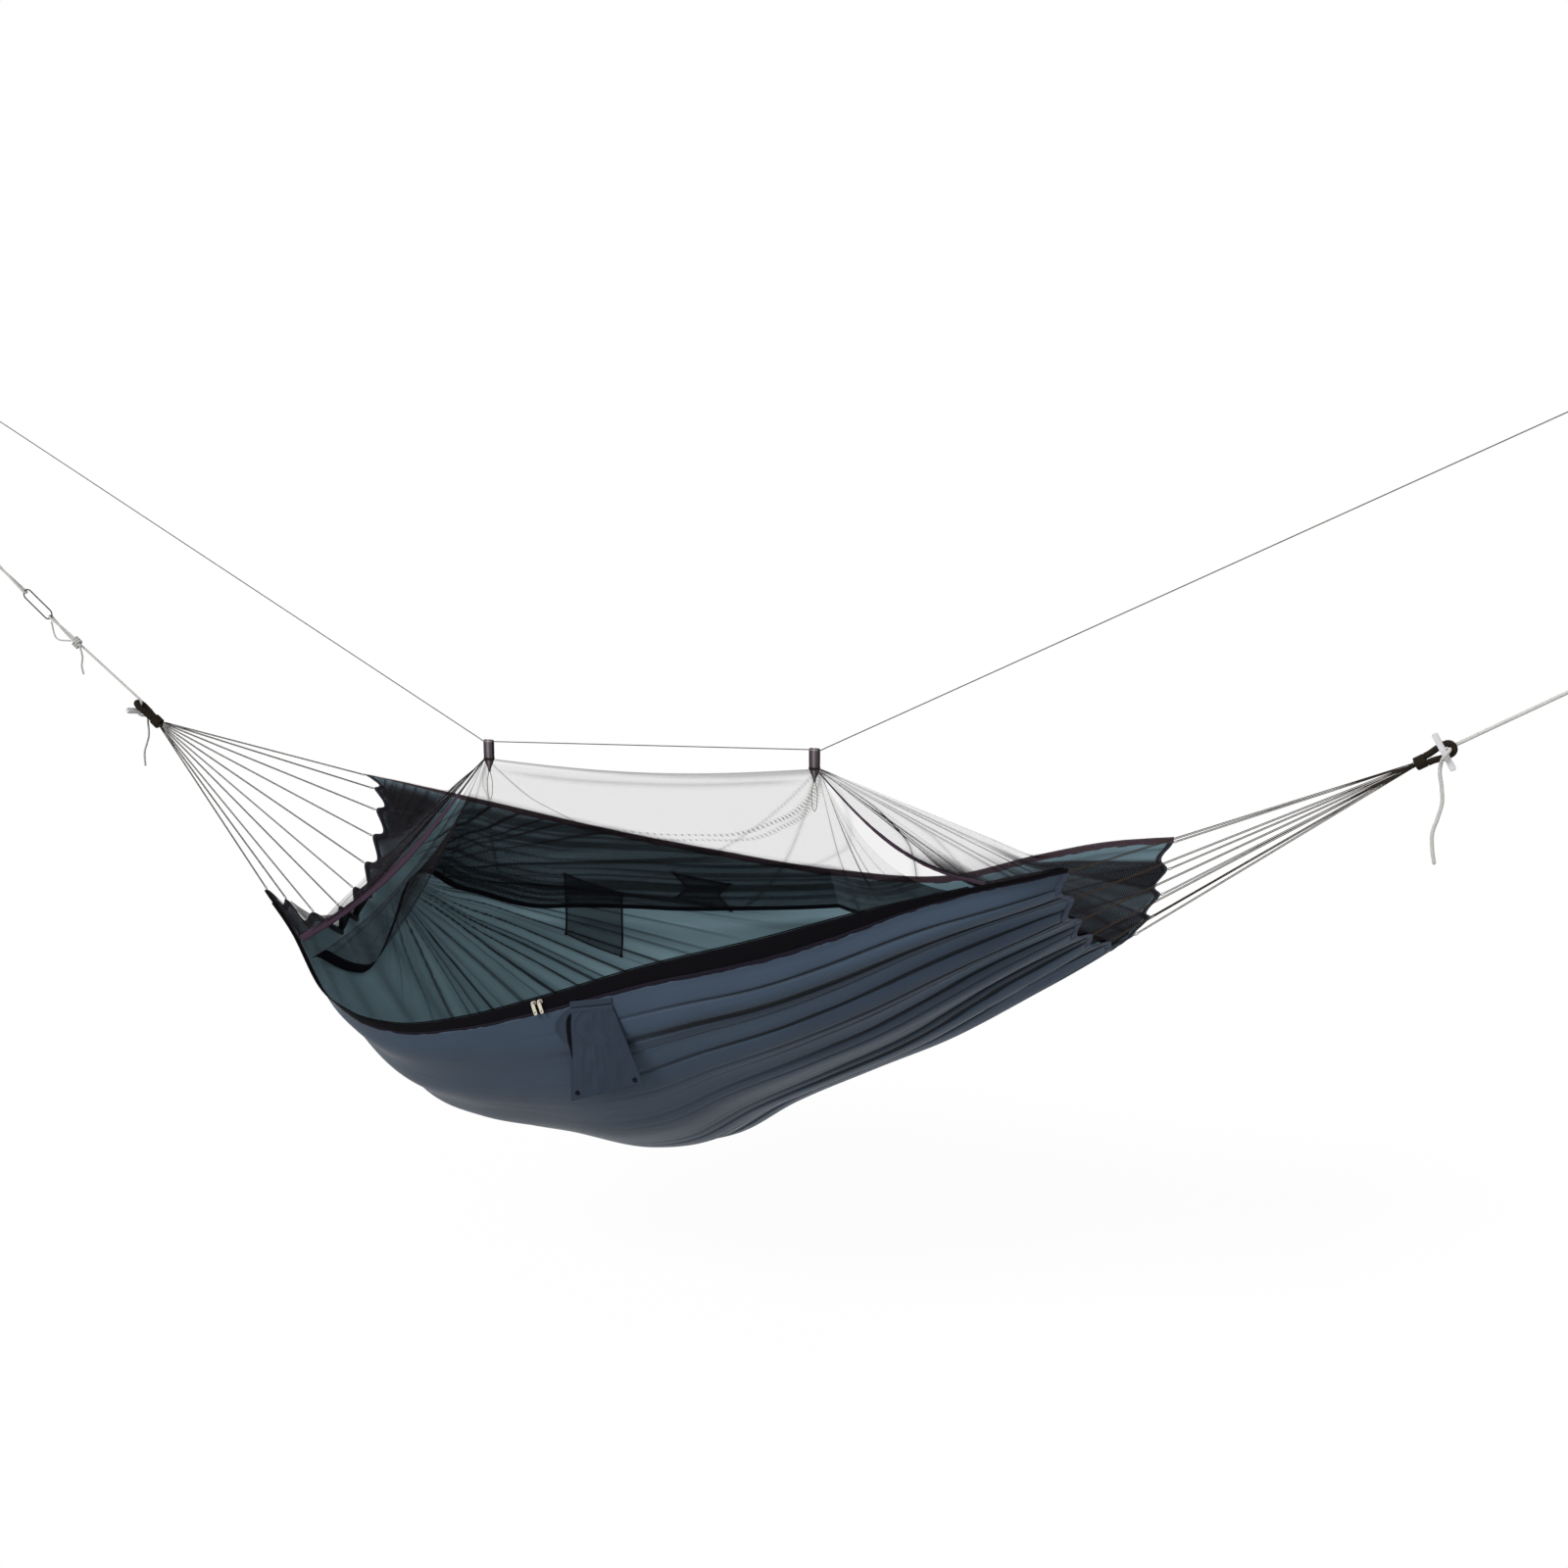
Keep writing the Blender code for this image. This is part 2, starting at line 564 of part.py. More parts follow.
def make_rims(shop):
    """Back binding, black zip band along the front rim and the zip coil on its edge."""
    shop.sheet("back_rim_binding", along_rim(1, BINDING_WIDTH), BINDING_THICKNESS, "binding")
    runs = rim_runs()
    shop.sheet("front_zip_band", along_rim(-1, band_width(runs)), BINDING_THICKNESS, "zip_tape")
    keep = (runs > ZIP_START_SHARE) & (runs < ZIP_END_SHARE)
    edge = rim_edge(runs[keep], -1, ZIP_COIL_D / 2 + GAP)
    shop.tube("front_zip_coil", [Vector(point) for point in edge], ZIP_COIL_D, "zip_tape")


def rim_edge(runs, side, clearance):
    """Line just beyond a rim, carried on in the direction of the cloth."""
    laps = np.full_like(runs, side, float)
    return skin(runs, laps) + unit(along_lap(runs, laps)) * side * clearance


def make_pockets(shop):
    """Mesh pocket and the small folded pocket on the inner side of the back wall."""
    across = np.linspace(0, 1, POCKET_CELLS)
    for name, run_shares, lap_shares, pinch in (
            ("mesh_pocket", POCKET_RUN_SHARES, POCKET_LAP_SHARES, 0.0),
            ("small_pocket", STAR_RUN_SHARES, STAR_LAP_SHARES, 1.0)):
        run, share = np.meshgrid(
            run_shares[0] + (run_shares[1] - run_shares[0]) * across,
            lap_shares[0] + (lap_shares[1] - lap_shares[0]) * across, indexing="ij")
        centre = sum(run_shares) / 2
        edge = np.abs(2 * across - 1)[None, :]
        run = centre + (run - centre) * (1 - 0.45 * pinch * (1 - edge))
        shop.sheet(name, cloth_at(run, share, POCKET_LIFT * (1 - 0.4 * pinch)), POCKET_CLOTH, "net")


def net_top(way, share, drop=0.0, radius=NET_TOP_RADIUS):
    """Top point of the net: at a tab, or between the tabs on the slack edge of the net."""
    base = HEAD_TAB.lerp(FOOT_TAB, share) - UP * (NET_TOP_DROP + drop + NET_SAG * math.sin(math.pi * share))
    flat = Vector((way.x, way.y, 0))
    return base + flat.normalized() * radius


def bent_column(top, bend, bottom, upper, lower):
    """Column of net points from the top over a bend to the bottom."""
    first = [top.lerp(bend, k / upper) for k in range(upper)]
    return first + [bend.lerp(bottom, k / lower) for k in range(lower + 1)]


NET_UPPER_ROWS, NET_LOWER_ROWS = 5, 3


def make_net(shop):
    """Net canopy: from the tabs to the hems at both ends and to the whole back rim."""
    columns = end_columns(0, HEAD_TAB, HEAD_SEAM_SHARE, HEAD_CROSSING_SHARE)
    for run in rim_runs()[1:-1]:
        share = min(max((run - HEAD_CROSSING_SHARE) / (FOOT_CROSSING_SHARE - HEAD_CROSSING_SHARE), 0.0), 1.0)
        held = net_rim_point(min(max(run, HEAD_CROSSING_SHARE), FOOT_CROSSING_SHARE), 1, NET_LIFT)
        top = net_top(held - HEAD_TAB.lerp(FOOT_TAB, share), share)
        between = HEAD_CROSSING_SHARE < run < FOOT_CROSSING_SHARE
        foot = net_rim_point(run, 1, NET_SEWN_LIFT if between else NET_RIM_LIFT)
        bend = top.lerp(foot, NET_BEND_SHARE) if between else held
        columns.append(bent_column(top, bend, foot, NET_UPPER_ROWS, NET_LOWER_ROWS))
    columns += end_columns(1, FOOT_TAB, FOOT_SEAM_SHARE, FOOT_CROSSING_SHARE)[::-1]
    shop.sheet("net_canopy", np.array([[tuple(p) for p in column] for column in columns]), NET, "net")


def net_rim_point(run, side, lift=NET_RIM_LIFT):
    """Where the net is sewn to a rim: a little in from the edge, on the inner side."""
    runs = np.array([run])
    laps = edge_lap(runs, side, NET_RIM_INSET)
    return Vector((skin(runs, laps) + inward(runs, laps) * lift)[0])


def end_columns(end, tab, seam_share, crossing_share):
    """Columns of net over one end: from its free front edge along the hem to the back rim."""
    front, back = net_rim_point(seam_share, -1), net_rim_point(crossing_share, 1, NET_LIFT)
    corner = end + (1 - 2 * end) * HEM_WIDTH / 2 / BED_RUN
    feet = [net_rim_point((seam_share + corner) / 2, -1), net_rim_point(corner, -1, NET_LIFT)]
    places = [0.04, 0.08]
    for k in range(1, 2 * GATHERS):
        share = k / (2 * GATHERS)
        feet.append(Vector(cloth_at(hem_run(end, HEM_WIDTH / 2, share), share, NET_LIFT)))
        places.append(0.08 + 0.92 * share)
    columns = [seam_column(tab, front, end)]
    for foot, place in zip(feet, places):
        top = net_top(foot - tab, end)
        front_pull = min(max((0.62 - place) / 0.30, 0.0), 1.0)
        back_pull = min(max((place - 0.45) / 0.40, 0.0), 1.0)
        beside_seam = seam_point(net_top(front - tab, end), front, 1 - SEAM_SIDE_SHARE * place)
        over_rim = front.lerp(back, place) - UP * END_SAG * math.sin(math.pi * place)
        bend = top.lerp(foot, NET_BEND_SHARE).lerp(over_rim, back_pull).lerp(beside_seam, front_pull)
        columns.append(bent_column(top, bend, foot, NET_UPPER_ROWS, NET_LOWER_ROWS))
    return columns


def seam_point(top, end, at):
    """Point on the slack free edge of the net, by its share of the way down."""
    return top.lerp(end, at) - UP * SEAM_SAG * math.sin(math.pi * at)


def seam_column(tab, end, share, rows=NET_UPPER_ROWS + NET_LOWER_ROWS):
    """Free edge of the net: a slack line from a tab to the front rim."""
    top = net_top(end - tab, share)
    return [seam_point(top, end, k / rows) for k in range(rows + 1)]


def bed_point(run, lap, lift):
    """Point over the bed, lifted to the inner side."""
    run, lap = np.array([run], float), np.array([lap], float)
    return Vector((skin(run, lap) + inward(run, lap) * lift)[0])


def door_hem_point(at):
    """Point on the lower edge of the thrown-back door, by its share of the way from head to foot."""
    held = min(at, DOOR_FREE_SHARE)
    run, lap, lift = (profile([(row[0], row[k]) for row in DOOR_HEM_SHARES], held) for k in (1, 2, 3))
    point = bed_point(run, lap, lift * DOOR_HEM_LIFT)
    if at <= DOOR_FREE_SHARE:
        return point
    free = (at - DOOR_FREE_SHARE) / (1 - DOOR_FREE_SHARE)
    corner = bed_point(DOOR_END_RUN, DOOR_END_LAP, DOOR_END_LIFT)
    return point.lerp(corner, free) - UP * DOOR_FREE_SAG * math.sin(math.pi * free)


DOOR_COLUMNS, DOOR_ROWS = 26, 8


def make_door(shop):
    """Net door, unzipped and thrown back, with the band of its zip tape along the lower edge."""
    columns, hem = [], []
    for k in range(DOOR_COLUMNS + 1):
        at = k / DOOR_COLUMNS
        low = door_hem_point(at)
        share = min(max((at - 0.30) / 0.55, 0.0), 1.0)
        top = net_top(low - HEAD_TAB.lerp(FOOT_TAB, share), share, DOOR_DROP, DOOR_TOP_RADIUS)
        slack = SEAM_SAG * (1 - 0.8 * math.sin(math.pi * at) ** 0.5) + DOOR_UNDER
        ripple = DOOR_UNDER * math.cos(6 * math.pi * at) * math.sin(math.pi * at)
        column = []
        for j in range(DOOR_ROWS + 1):
            t = j / DOOR_ROWS
            column.append(top.lerp(low, t) - UP * slack * math.sin(math.pi * t) - SIDE * ripple * t)
        columns.append(column)
        step = (column[-1] - column[-2]).normalized()
        hem.append([column[-1] + step * GAP, column[-1] + step * (GAP + DOOR_HEM_WIDTH)])
    shop.sheet("net_door", np.array([[tuple(p) for p in column] for column in columns]), NET, "net")
    shop.sheet("net_door_hem", np.array([[tuple(p) for p in pair] for pair in hem]), DOOR_HEM_THICKNESS, "zip_tape")


def make_seams(shop):
    """Bound seams along the free edges of the canopy at the head and at the foot."""
    for name, tab, run, end in (
            ("head_net_seam", HEAD_TAB, HEAD_SEAM_SHARE, 0), ("foot_net_seam", FOOT_TAB, FOOT_SEAM_SHARE, 1)):
        foot = net_rim_point(run, -1)
        away = (foot - tab).cross(UP).normalized() * (2 * end - 1)
        edge = seam_column(tab, foot, end)
        edge[-1] = edge[-1].lerp(edge[-2], 0.08)
        shop.tube(name, [point + away * SEAM_OFFSET for point in edge], SEAM_D, "binding")


def make_end(shop, end, eye, pull, toggle_axis, rope_d):
    """Whipping, eye and toggle at one end of the bed, and the route of the rope's hitch round the toggle."""
    front = pull.cross(toggle_axis).normalized()
    if front.y > 0.5 or (abs(front.y) < 0.5 and front.z > 0):
        front = -front
    flat = (toggle_axis - pull * toggle_axis.dot(pull)).normalized()
    bend = eye - pull * EYE_TUBE / 2
    neck = eye - pull * EYE_LENGTH
    half_wide = (rope_d + EYE_TUBE) / 2 + EYE_CLEARANCE
    half_narrow = EYE_TUBE / 2 + GAP
    legs = [[neck + pull * reach + flat * side * half_narrow for reach in (GAP, EYE_TUBE / 3)] for side in (-1, 1)]
    arc = arc_points(bend - pull * half_wide, pull, flat, half_wide, -90, 90, EYE_STEPS)
    shop.tube(end + "_eye", legs[0] + arc + legs[1][::-1], EYE_TUBE, "whipping")
    mouth = neck - pull * WHIPPING_LENGTH
    bm = bmesh.new()
    cone(bm, neck, mouth, WHIPPING_NECK_R, WHIPPING_MOUTH_R, 20)
    shop.mesh(bm, end + "_whipping", "whipping")
    bend_r = (EYE_TUBE + rope_d) / 2 + EYE_CLEARANCE
    hitch_r = math.hypot(TOGGLE_WIDTH, TOGGLE_DEPTH) / 2 + EYE_CLEARANCE + rope_d / 2
    sideways = (EYE_TUBE + TOGGLE_DEPTH) / 2 + 2 * EYE_CLEARANCE
    ahead = math.sqrt((bend_r + hitch_r) ** 2 - sideways ** 2)
    toggle = bend - pull * ahead + front * sideways
    make_toggle(shop, end + "_toggle", toggle, toggle_axis, front)
    link = toggle - bend
    angle = math.degrees(math.atan2(link.dot(front), link.dot(pull)))
    route = arc_points(bend, pull, -front, bend_r, 90, 360 - angle, 7)
    level = (pull - toggle_axis * pull.dot(toggle_axis)).normalized()
    wrap = arc_points(toggle, level, -front, hitch_r, 180 - angle, HITCH_END_ANGLE, HITCH_POINTS)
    down = toggle_axis if toggle_axis.z < 0 else -toggle_axis
    wrap = [point + down * HITCH_DROP * (k / (HITCH_POINTS - 1)) ** 2 for k, point in enumerate(wrap)]
    return route + wrap[1:], mouth


def make_toggle(shop, name, centre, axis, front):
    """Grooved plastic bar pushed through the rope's hitch."""
    width_axis = axis.cross(front).normalized()
    half_w, half_d = TOGGLE_WIDTH / 2, TOGGLE_DEPTH / 2
    inner, floor = half_w - TOGGLE_WALL, half_d - TOGGLE_GROOVE
    outline = ((-half_w, -half_d), (-inner, -half_d), (-inner, -floor), (inner, -floor), (inner, -half_d),
               (half_w, -half_d), (half_w, half_d), (inner, half_d), (inner, floor), (-inner, floor),
               (-inner, half_d), (-half_w, half_d))
    curve = bpy.data.curves.new(name, "CURVE")
    curve.dimensions = "2D"
    curve.fill_mode = "BOTH"
    curve.extrude = TOGGLE_LENGTH / 2
    spline = curve.splines.new("POLY")
    spline.points.add(len(outline) - 1)
    for slot, (x, y) in zip(spline.points, outline):
        slot.co = (x, y, 0, 1)
    spline.use_cyclic_u = True
    made = shop.adopt(curve, name, "toggle_plastic")
    made.matrix_world = frame_matrix(centre, width_axis, axis.cross(width_axis).normalized(), axis)
    return made


def make_tail(shop, name, start, leave, length, diameter, lean):
    """Loose rope end: it leaves along the rope before it, turns down and hangs."""
    down = (lean - UP).normalized()
    route = [start + leave * GAP, start + leave * diameter * 0.4]
    for k in range(1, TAIL_TURN_STEPS + 1):
        way = leave.lerp(down, k / TAIL_TURN_STEPS).normalized()
        route.append(route[-1] + way * diameter * 0.55)
    top = route[-1]
    for k in range(1, 7):
        drift = float(profile(TAIL_SHARES, k / 6)) * length
        route.append(top + down * length * k / 6 + Vector((1, 0, 0)) * drift)
    shop.tube(name, route, diameter, "white_rope")


def tree_loop(shop, name, anchor, way, diameter):
    ring = ring_points(anchor, way, way.cross(SIDE), TREE_LOOP_RADIUS, TREE_LOOP_RADIUS, TREE_LOOP_SIDES)
    shop.tube(name, ring, diameter, "white_rope", closed=True)


def make_foot_rope(shop):
    """Foot main rope from its tree loop through the eye and round the toggle, and its loose end."""
    toggle_axis = SIDE.cross(FOOT_PULL).normalized()
    route, mouth = make_end(shop, "foot", FOOT_EYE, FOOT_PULL, toggle_axis, FOOT_ROPE_D)
    way = (FOOT_ANCHOR - route[0]).normalized()
    tree_end = FOOT_ANCHOR - way * (TREE_LOOP_RADIUS + FOOT_ROPE_D / 2 + GAP)
    shop.tube("foot_rope", [tree_end] + route, FOOT_ROPE_D, "white_rope")
    leave = (route[-1] - route[-2]).normalized()
    make_tail(shop, "foot_tail", route[-1], leave, FOOT_TAIL_LENGTH, FOOT_ROPE_D, Vector((-0.03, 0, 0)))
    tree_loop(shop, "foot_tree_loop", FOOT_ANCHOR, way, FOOT_ROPE_D)
    return mouth


def twisted(start, along, axis_a, axis_b, radius_start, radius_stop, turn_start):
    """Strand that runs straight on while its offset turns by a quarter, from one axis to the other."""
    points = []
    for k in range(TWIST_STEPS + 1):
        t = k / TWIST_STEPS
        turn = turn_start + math.pi / 2 * t
        radius = radius_start + (radius_stop - radius_start) * t
        points.append(start + along * t + (axis_a * math.cos(turn) + axis_b * math.sin(turn)) * radius)
    return points


def make_head_rope(shop):
    """Head main rope: round the toggle, up through the dark link, back to the knot, and the tree rope."""
    upright = HEAD_PULL.cross(SIDE).normalized()
    toggle_axis = (HEAD_PULL * math.sin(HEAD_TOGGLE_LEAN) - SIDE * math.cos(HEAD_TOGGLE_LEAN)).normalized()
    route, mouth = make_end(shop, "head", HEAD_EYE, HEAD_PULL, toggle_axis, HEAD_ROPE_D)
    leave = (route[-1] - route[-2]).normalized()
    make_tail(shop, "head_tail", route[-1], leave, HEAD_TAIL_LENGTH, HEAD_ROPE_D, Vector((-0.16, 0, 0)))

    bight_r = (LINK_D + HEAD_ROPE_D) / 2 + EYE_CLEARANCE
    link_top = -HEAD_PULL * (LINK_START + LINK_D / 2)
    link_low = -HEAD_PULL * (LINK_START + LINK_LENGTH - LINK_D / 2)
    ring = stadium((link_top + link_low) / 2, HEAD_PULL, upright, LINK_LENGTH - LINK_D, LINK_WIDTH, LINK_STEPS)
    shop.tube("head_link", ring, LINK_D, "dark_cord", closed=True)

    tree_end = -HEAD_PULL * (TREE_LOOP_RADIUS + HEAD_ROPE_D / 2 + GAP)
    bight = arc_points(link_top, HEAD_PULL, SIDE, bight_r, -90, -270, 9)
    near = twisted(link_top, tree_end - link_top, SIDE, upright, bight_r, TREE_STRAND_HALF, math.pi)
    far = twisted(link_top, tree_end - link_top, SIDE, upright, bight_r, TREE_STRAND_HALF, 0)
    shop.tube("head_tree_rope", near[::-1] + bight[1:-1] + far, HEAD_ROPE_D, "white_rope")
    tree_loop(shop, "head_tree_loop", HEAD_ANCHOR, HEAD_PULL, HEAD_ROPE_D)

    pitch = HEAD_ROPE_D + 3 * GAP
    knot_length = KNOT_TURNS * pitch
    to_knot = -HEAD_PULL * (KNOT_REACH - knot_length)
    half = HEAD_ROPE_D / 2 + GAP
    bight = arc_points(link_low, HEAD_PULL, SIDE, bight_r, -90, 90, 9)
    main = twisted(link_low, to_knot, SIDE, upright, bight_r, half, math.pi)
    back = twisted(link_low, to_knot, SIDE, upright, bight_r, half, 0)
    past_knot = -HEAD_PULL * (knot_length + pitch)
    shop.tube("head_rope", route[::-1] + [main[-1] + past_knot] + main[::-1] + bight[1:-1] + back
              + [back[-1] + past_knot], HEAD_ROPE_D, "white_rope")
    make_knot(shop, link_low + to_knot, upright, half, pitch)
    return mouth


def make_knot(shop, start, upright, half, pitch):
    """Winding that grips the two strands of the head rope, its slack loop and its loose end."""
    wide = half + 1.06 * (HEAD_ROPE_D + EYE_CLEARANCE)
    deep = 1.12 * (HEAD_ROPE_D + EYE_CLEARANCE)
    points = []
    for k in range(KNOT_TURNS * KNOT_POINTS_PER_TURN + 1):
        turn = math.pi - 2 * math.pi * k / KNOT_POINTS_PER_TURN
        along = HEAD_PULL * pitch * k / KNOT_POINTS_PER_TURN
        points.append(start - along + SIDE * deep * math.cos(turn) - upright * wide * math.sin(turn))
    report_least_gap("head_knot", points, HEAD_ROPE_D, KNOT_POINTS_PER_TURN)
    shop.tube("head_knot", points, HEAD_ROPE_D, "white_rope", fineness=1)
    leave = (points[-1] - points[-2]).normalized()
    make_tail(shop, "head_knot_tail", points[-1], leave, KNOT_TAIL_LENGTH, HEAD_ROPE_D * 0.86, Vector((0.05, 0, 0)))
    beside = upright * (half + HEAD_ROPE_D / 2 + KNOT_LOOP_D / 2 + GAP)
    low = start + HEAD_PULL * ((HEAD_ROPE_D + KNOT_LOOP_D) / 2 + GAP) + beside
    high = start + HEAD_PULL * (KNOT_REACH - KNOT_TURNS * pitch - LINK_WIDTH / 4) + beside
    middle = (low + high) / 2 + upright * KNOT_LOOP_BULGE
    shop.tube("head_knot_loop", smooth_route([low, middle, high], 13), KNOT_LOOP_D, "white_rope")


def report_least_gap(name, points, diameter, per_turn):
    """Print the least gap between one turn of a winding and the next."""
    table = np.array([tuple(point) for point in points])
    least = min(
        np.linalg.norm(table[k + per_turn // 2 + 1:] - table[k], axis=1).min() - diameter
        for k in range(len(table) - per_turn // 2 - 1))
    print(f"{name}: least gap to itself {least * 1000:.2f} mm")


def make_cords(shop, end, mouth, axis, backset):
    """Suspension cords of one end, each running out to two cusps of the hem and back."""
    at = 0 if end == "head" else 1
    apex = mouth + axis * backset
    spread = axis.cross(SIDE).normalized() * CORD_PAIR_GAP / 2
    cusps = [Vector(cloth_at(hem_run(at, 0.0, k / GATHERS), k / GATHERS)) for k in range(GATHERS + 1)]
    ways = [(cusp - apex).normalized() for cusp in cusps]
    hems = [Vector(cloth_at(hem_run(at, HEM_WIDTH, k / GATHERS), k / GATHERS)) for k in range(GATHERS + 1)]
    leans = [way.dot((hem - cusp).normalized()) for way, hem, cusp in zip(ways, hems, cusps)]
    for pair in range(CORDS_PER_END):
        points = []
        for k in (2 * pair, 2 * pair + 1):
            tilt = -ways[k].dot(axis)
            first = apex + ways[k] * ((backset + 3 * GAP + CORD_D * 0.3) / tilt)
            tip = cusps[k] - ways[k] * (CORD_D / 2 + GAP) / max(leans[k], 0.5)
            turn = tip - ways[k] * CORD_D
            points += [first + spread, turn + spread, tip, turn - spread, first - spread]
        shop.tube(f"{end}_cord_{pair + 1}", points, CORD_D, "dark_cord")


def make_zip_pulls(shop):
    """Two zip sliders side by side on the front zip band, each with its pull."""
    for end, run in (("head", HEAD_SLIDER_SHARE), ("foot", FOOT_SLIDER_SHARE)):
        runs = np.array([run])
        lap = edge_lap(runs, -1, np.array([SLIDER_DROP]))
        centre = Vector(skin(runs, lap)[0])
        out = -Vector(inward(runs, lap)[0])
        along = Vector(unit(along_run(runs, lap))[0])
        up = along.cross(out).normalized()
        if up.z < 0:
            up = -up
        seat = centre + out * (BINDING_THICKNESS / 2 + GAP)
        body = frame_matrix(seat + out * SLIDER_DEPTH / 2, along, up, out)
        bar_y = seat + out * (SLIDER_DEPTH + BAIL_REACH) + up * SLIDER_HEIGHT * 0.2
        bm = bmesh.new()
        box(bm, body, (SLIDER_LENGTH, SLIDER_HEIGHT, SLIDER_DEPTH))
        slider = shop.mesh(bm, f"zip_slider_{end}", "zip_metal", pivot=seat)
        bail = [bar_y - along * BAIL_SPAN / 2 - out * (BAIL_REACH + BAIL_WIRE), bar_y - along * BAIL_SPAN / 2,
                bar_y + along * BAIL_SPAN / 2, bar_y + along * BAIL_SPAN / 2 - out * (BAIL_REACH + BAIL_WIRE)]
        join_tube(shop, slider, bail, BAIL_WIRE)
        make_pull(shop, f"zip_pull_{end}", bar_y, along, out)


def join_tube(shop, target, points, diameter):
    """Union a wire with a solid: the wire is first made a closed mesh."""
    wire = shop.tube(target.name + "_wire", points, diameter, "zip_metal")
    evaluated = wire.evaluated_get(bpy.context.evaluated_depsgraph_get())
    data = bpy.data.meshes.new_from_object(evaluated)
    bm = bmesh.new()
    bm.from_mesh(data)
    bmesh.ops.transform(bm, matrix=wire.matrix_world, verts=bm.verts)
    bmesh.ops.remove_doubles(bm, verts=bm.verts, dist=GAP / 10)
    bpy.data.objects.remove(wire, do_unlink=True)
    join = target.modifiers.new("bail", "BOOLEAN")
    join.operation = "UNION"
    join.object = shop.cutter(target.name + "_bail", bm)


def make_pull(shop, name, pivot, along, out):
    """Pull tab: an eye round the bail's bar and a flat tab hanging from it."""
    level = Vector((along.x, along.y, along.z)).normalized()
    down = (-UP + level * UP.dot(level)).normalized()
    face = level.cross(down).normalized()
    bm = bmesh.new()
    cone(bm, pivot - level * PULL_EYE_LENGTH / 2, pivot + level * PULL_EYE_LENGTH / 2, PULL_EYE_R, PULL_EYE_R, 16)
    pull = shop.mesh(bm, name, "zip_metal", pivot=pivot)
    tab = bmesh.new()
    start = PULL_EYE_R * 0.6
    length = PULL_LENGTH - start
    box(tab, frame_matrix(pivot + down * (start + length / 2), level, down, face), (PULL_WIDTH, length, PULL_THICKNESS))
    join = pull.modifiers.new("tab", "BOOLEAN")
    join.operation = "UNION"
    join.object = shop.cutter(name + "_tab", tab)
    bore = bmesh.new()
    cone(bore, pivot - level * PULL_WIDTH, pivot + level * PULL_WIDTH, BAIL_WIRE / 2 + GAP, BAIL_WIRE / 2 + GAP, 12)
    cut = pull.modifiers.new("bore", "BOOLEAN")
    cut.operation = "DIFFERENCE"
    cut.object = shop.cutter(name + "_bore", bore)
    return pull


def pouch_hinge():
    """Head end and foot end of the line that the stow pouch hangs from."""
    runs = np.array([POUCH_SHARE])
    lap = edge_lap(runs, -1, band_width(runs) + POUCH_DROP - BINDING_WIDTH / 2)
    seat = Vector(skin(runs, lap)[0]) - SIDE * (CLOTH / 2 + POUCH_EDGE / 2 + POUCH_STAND_OFF)
    along = Vector((1, 0, POUCH_SLOPE_SHARE)).normalized()
    return seat, seat + along * POUCH_TOP_WIDTH


def make_pouch(shop):
    """Stow pouch: a soft flat bag that hangs by its top edge, wider at the foot."""
    start, stop = pouch_hinge()
    foot_start = start - UP * POUCH_HEIGHT
    along = Vector((1, 0, POUCH_FOOT_SLOPE_SHARE)).normalized()
    foot_stop = foot_start + along * POUCH_BOTTOM_WIDTH
    layers = []
    for side, puff in ((-1, POUCH_PUFF_FRONT), (1, POUCH_PUFF_BACK)):
        rows = []
        for j in range(POUCH_ROWS):
            v = j / (POUCH_ROWS - 1)
            left, right = start.lerp(foot_start, v), stop.lerp(foot_stop, v)
            left = left - Vector((POUCH_GUSSET * max(0.0, math.sin(math.pi * min(v / 0.42, 1))) * 0.75, 0, 0))
            row = []
            for k in range(POUCH_COLUMNS):
                u = k / (POUCH_COLUMNS - 1)
                half = POUCH_EDGE / 2 + puff * math.sin(math.pi * u) * math.sin(math.pi * v)
                row.append(left.lerp(right, u) + SIDE * side * half)
            rows.append(row)
        layers.append(rows)
    bm = bmesh.new()
    front = [[bm.verts.new(p) for p in row] for row in layers[0]]
    back = [[bm.verts.new(p) for p in row] for row in layers[1]]
    for j in range(POUCH_ROWS - 1):
        for k in range(POUCH_COLUMNS - 1):
            for layer in (front, back):
                bm.faces.new((layer[j][k], layer[j][k + 1], layer[j + 1][k + 1], layer[j + 1][k]))
    rim = ([(0, k) for k in range(POUCH_COLUMNS)] + [(j, POUCH_COLUMNS - 1) for j in range(1, POUCH_ROWS)]
           + [(POUCH_ROWS - 1, k) for k in range(POUCH_COLUMNS - 2, -1, -1)]
           + [(j, 0) for j in range(POUCH_ROWS - 2, 0, -1)])
    for (j, k), (n, m) in zip(rim, rim[1:] + rim[:1]):
        bm.faces.new((front[j][k], front[n][m], back[n][m], back[j][k]))
    shop.mesh(bm, "stow_pouch", "bed_cloth", pivot=start, smooth=True)


def make_inner_cords(shop):
    """Small hanging loops of cord under the two tabs."""
    for name, tab in (("head_inner_cord", HEAD_TAB), ("foot_inner_cord", FOOT_TAB)):
        top = tab - UP * (TAB_LENGTH + GAP)
        side = Vector((INNER_CORD_WIDTH / 2, 0, 0))
        low = UP * INNER_CORD_LENGTH
        near = Vector((INNER_CORD_D, 0, 0))
        route = [top - near, top - near - side * 0.7 - low * 0.35, top - side * 0.8 - low * 0.8, top - low,
                 top + side * 0.8 - low * 0.8, top + near + side * 0.7 - low * 0.35, top + near]
        shop.tube(name, smooth_route(route, 25), INNER_CORD_D, "beige_cord", pivot=top)


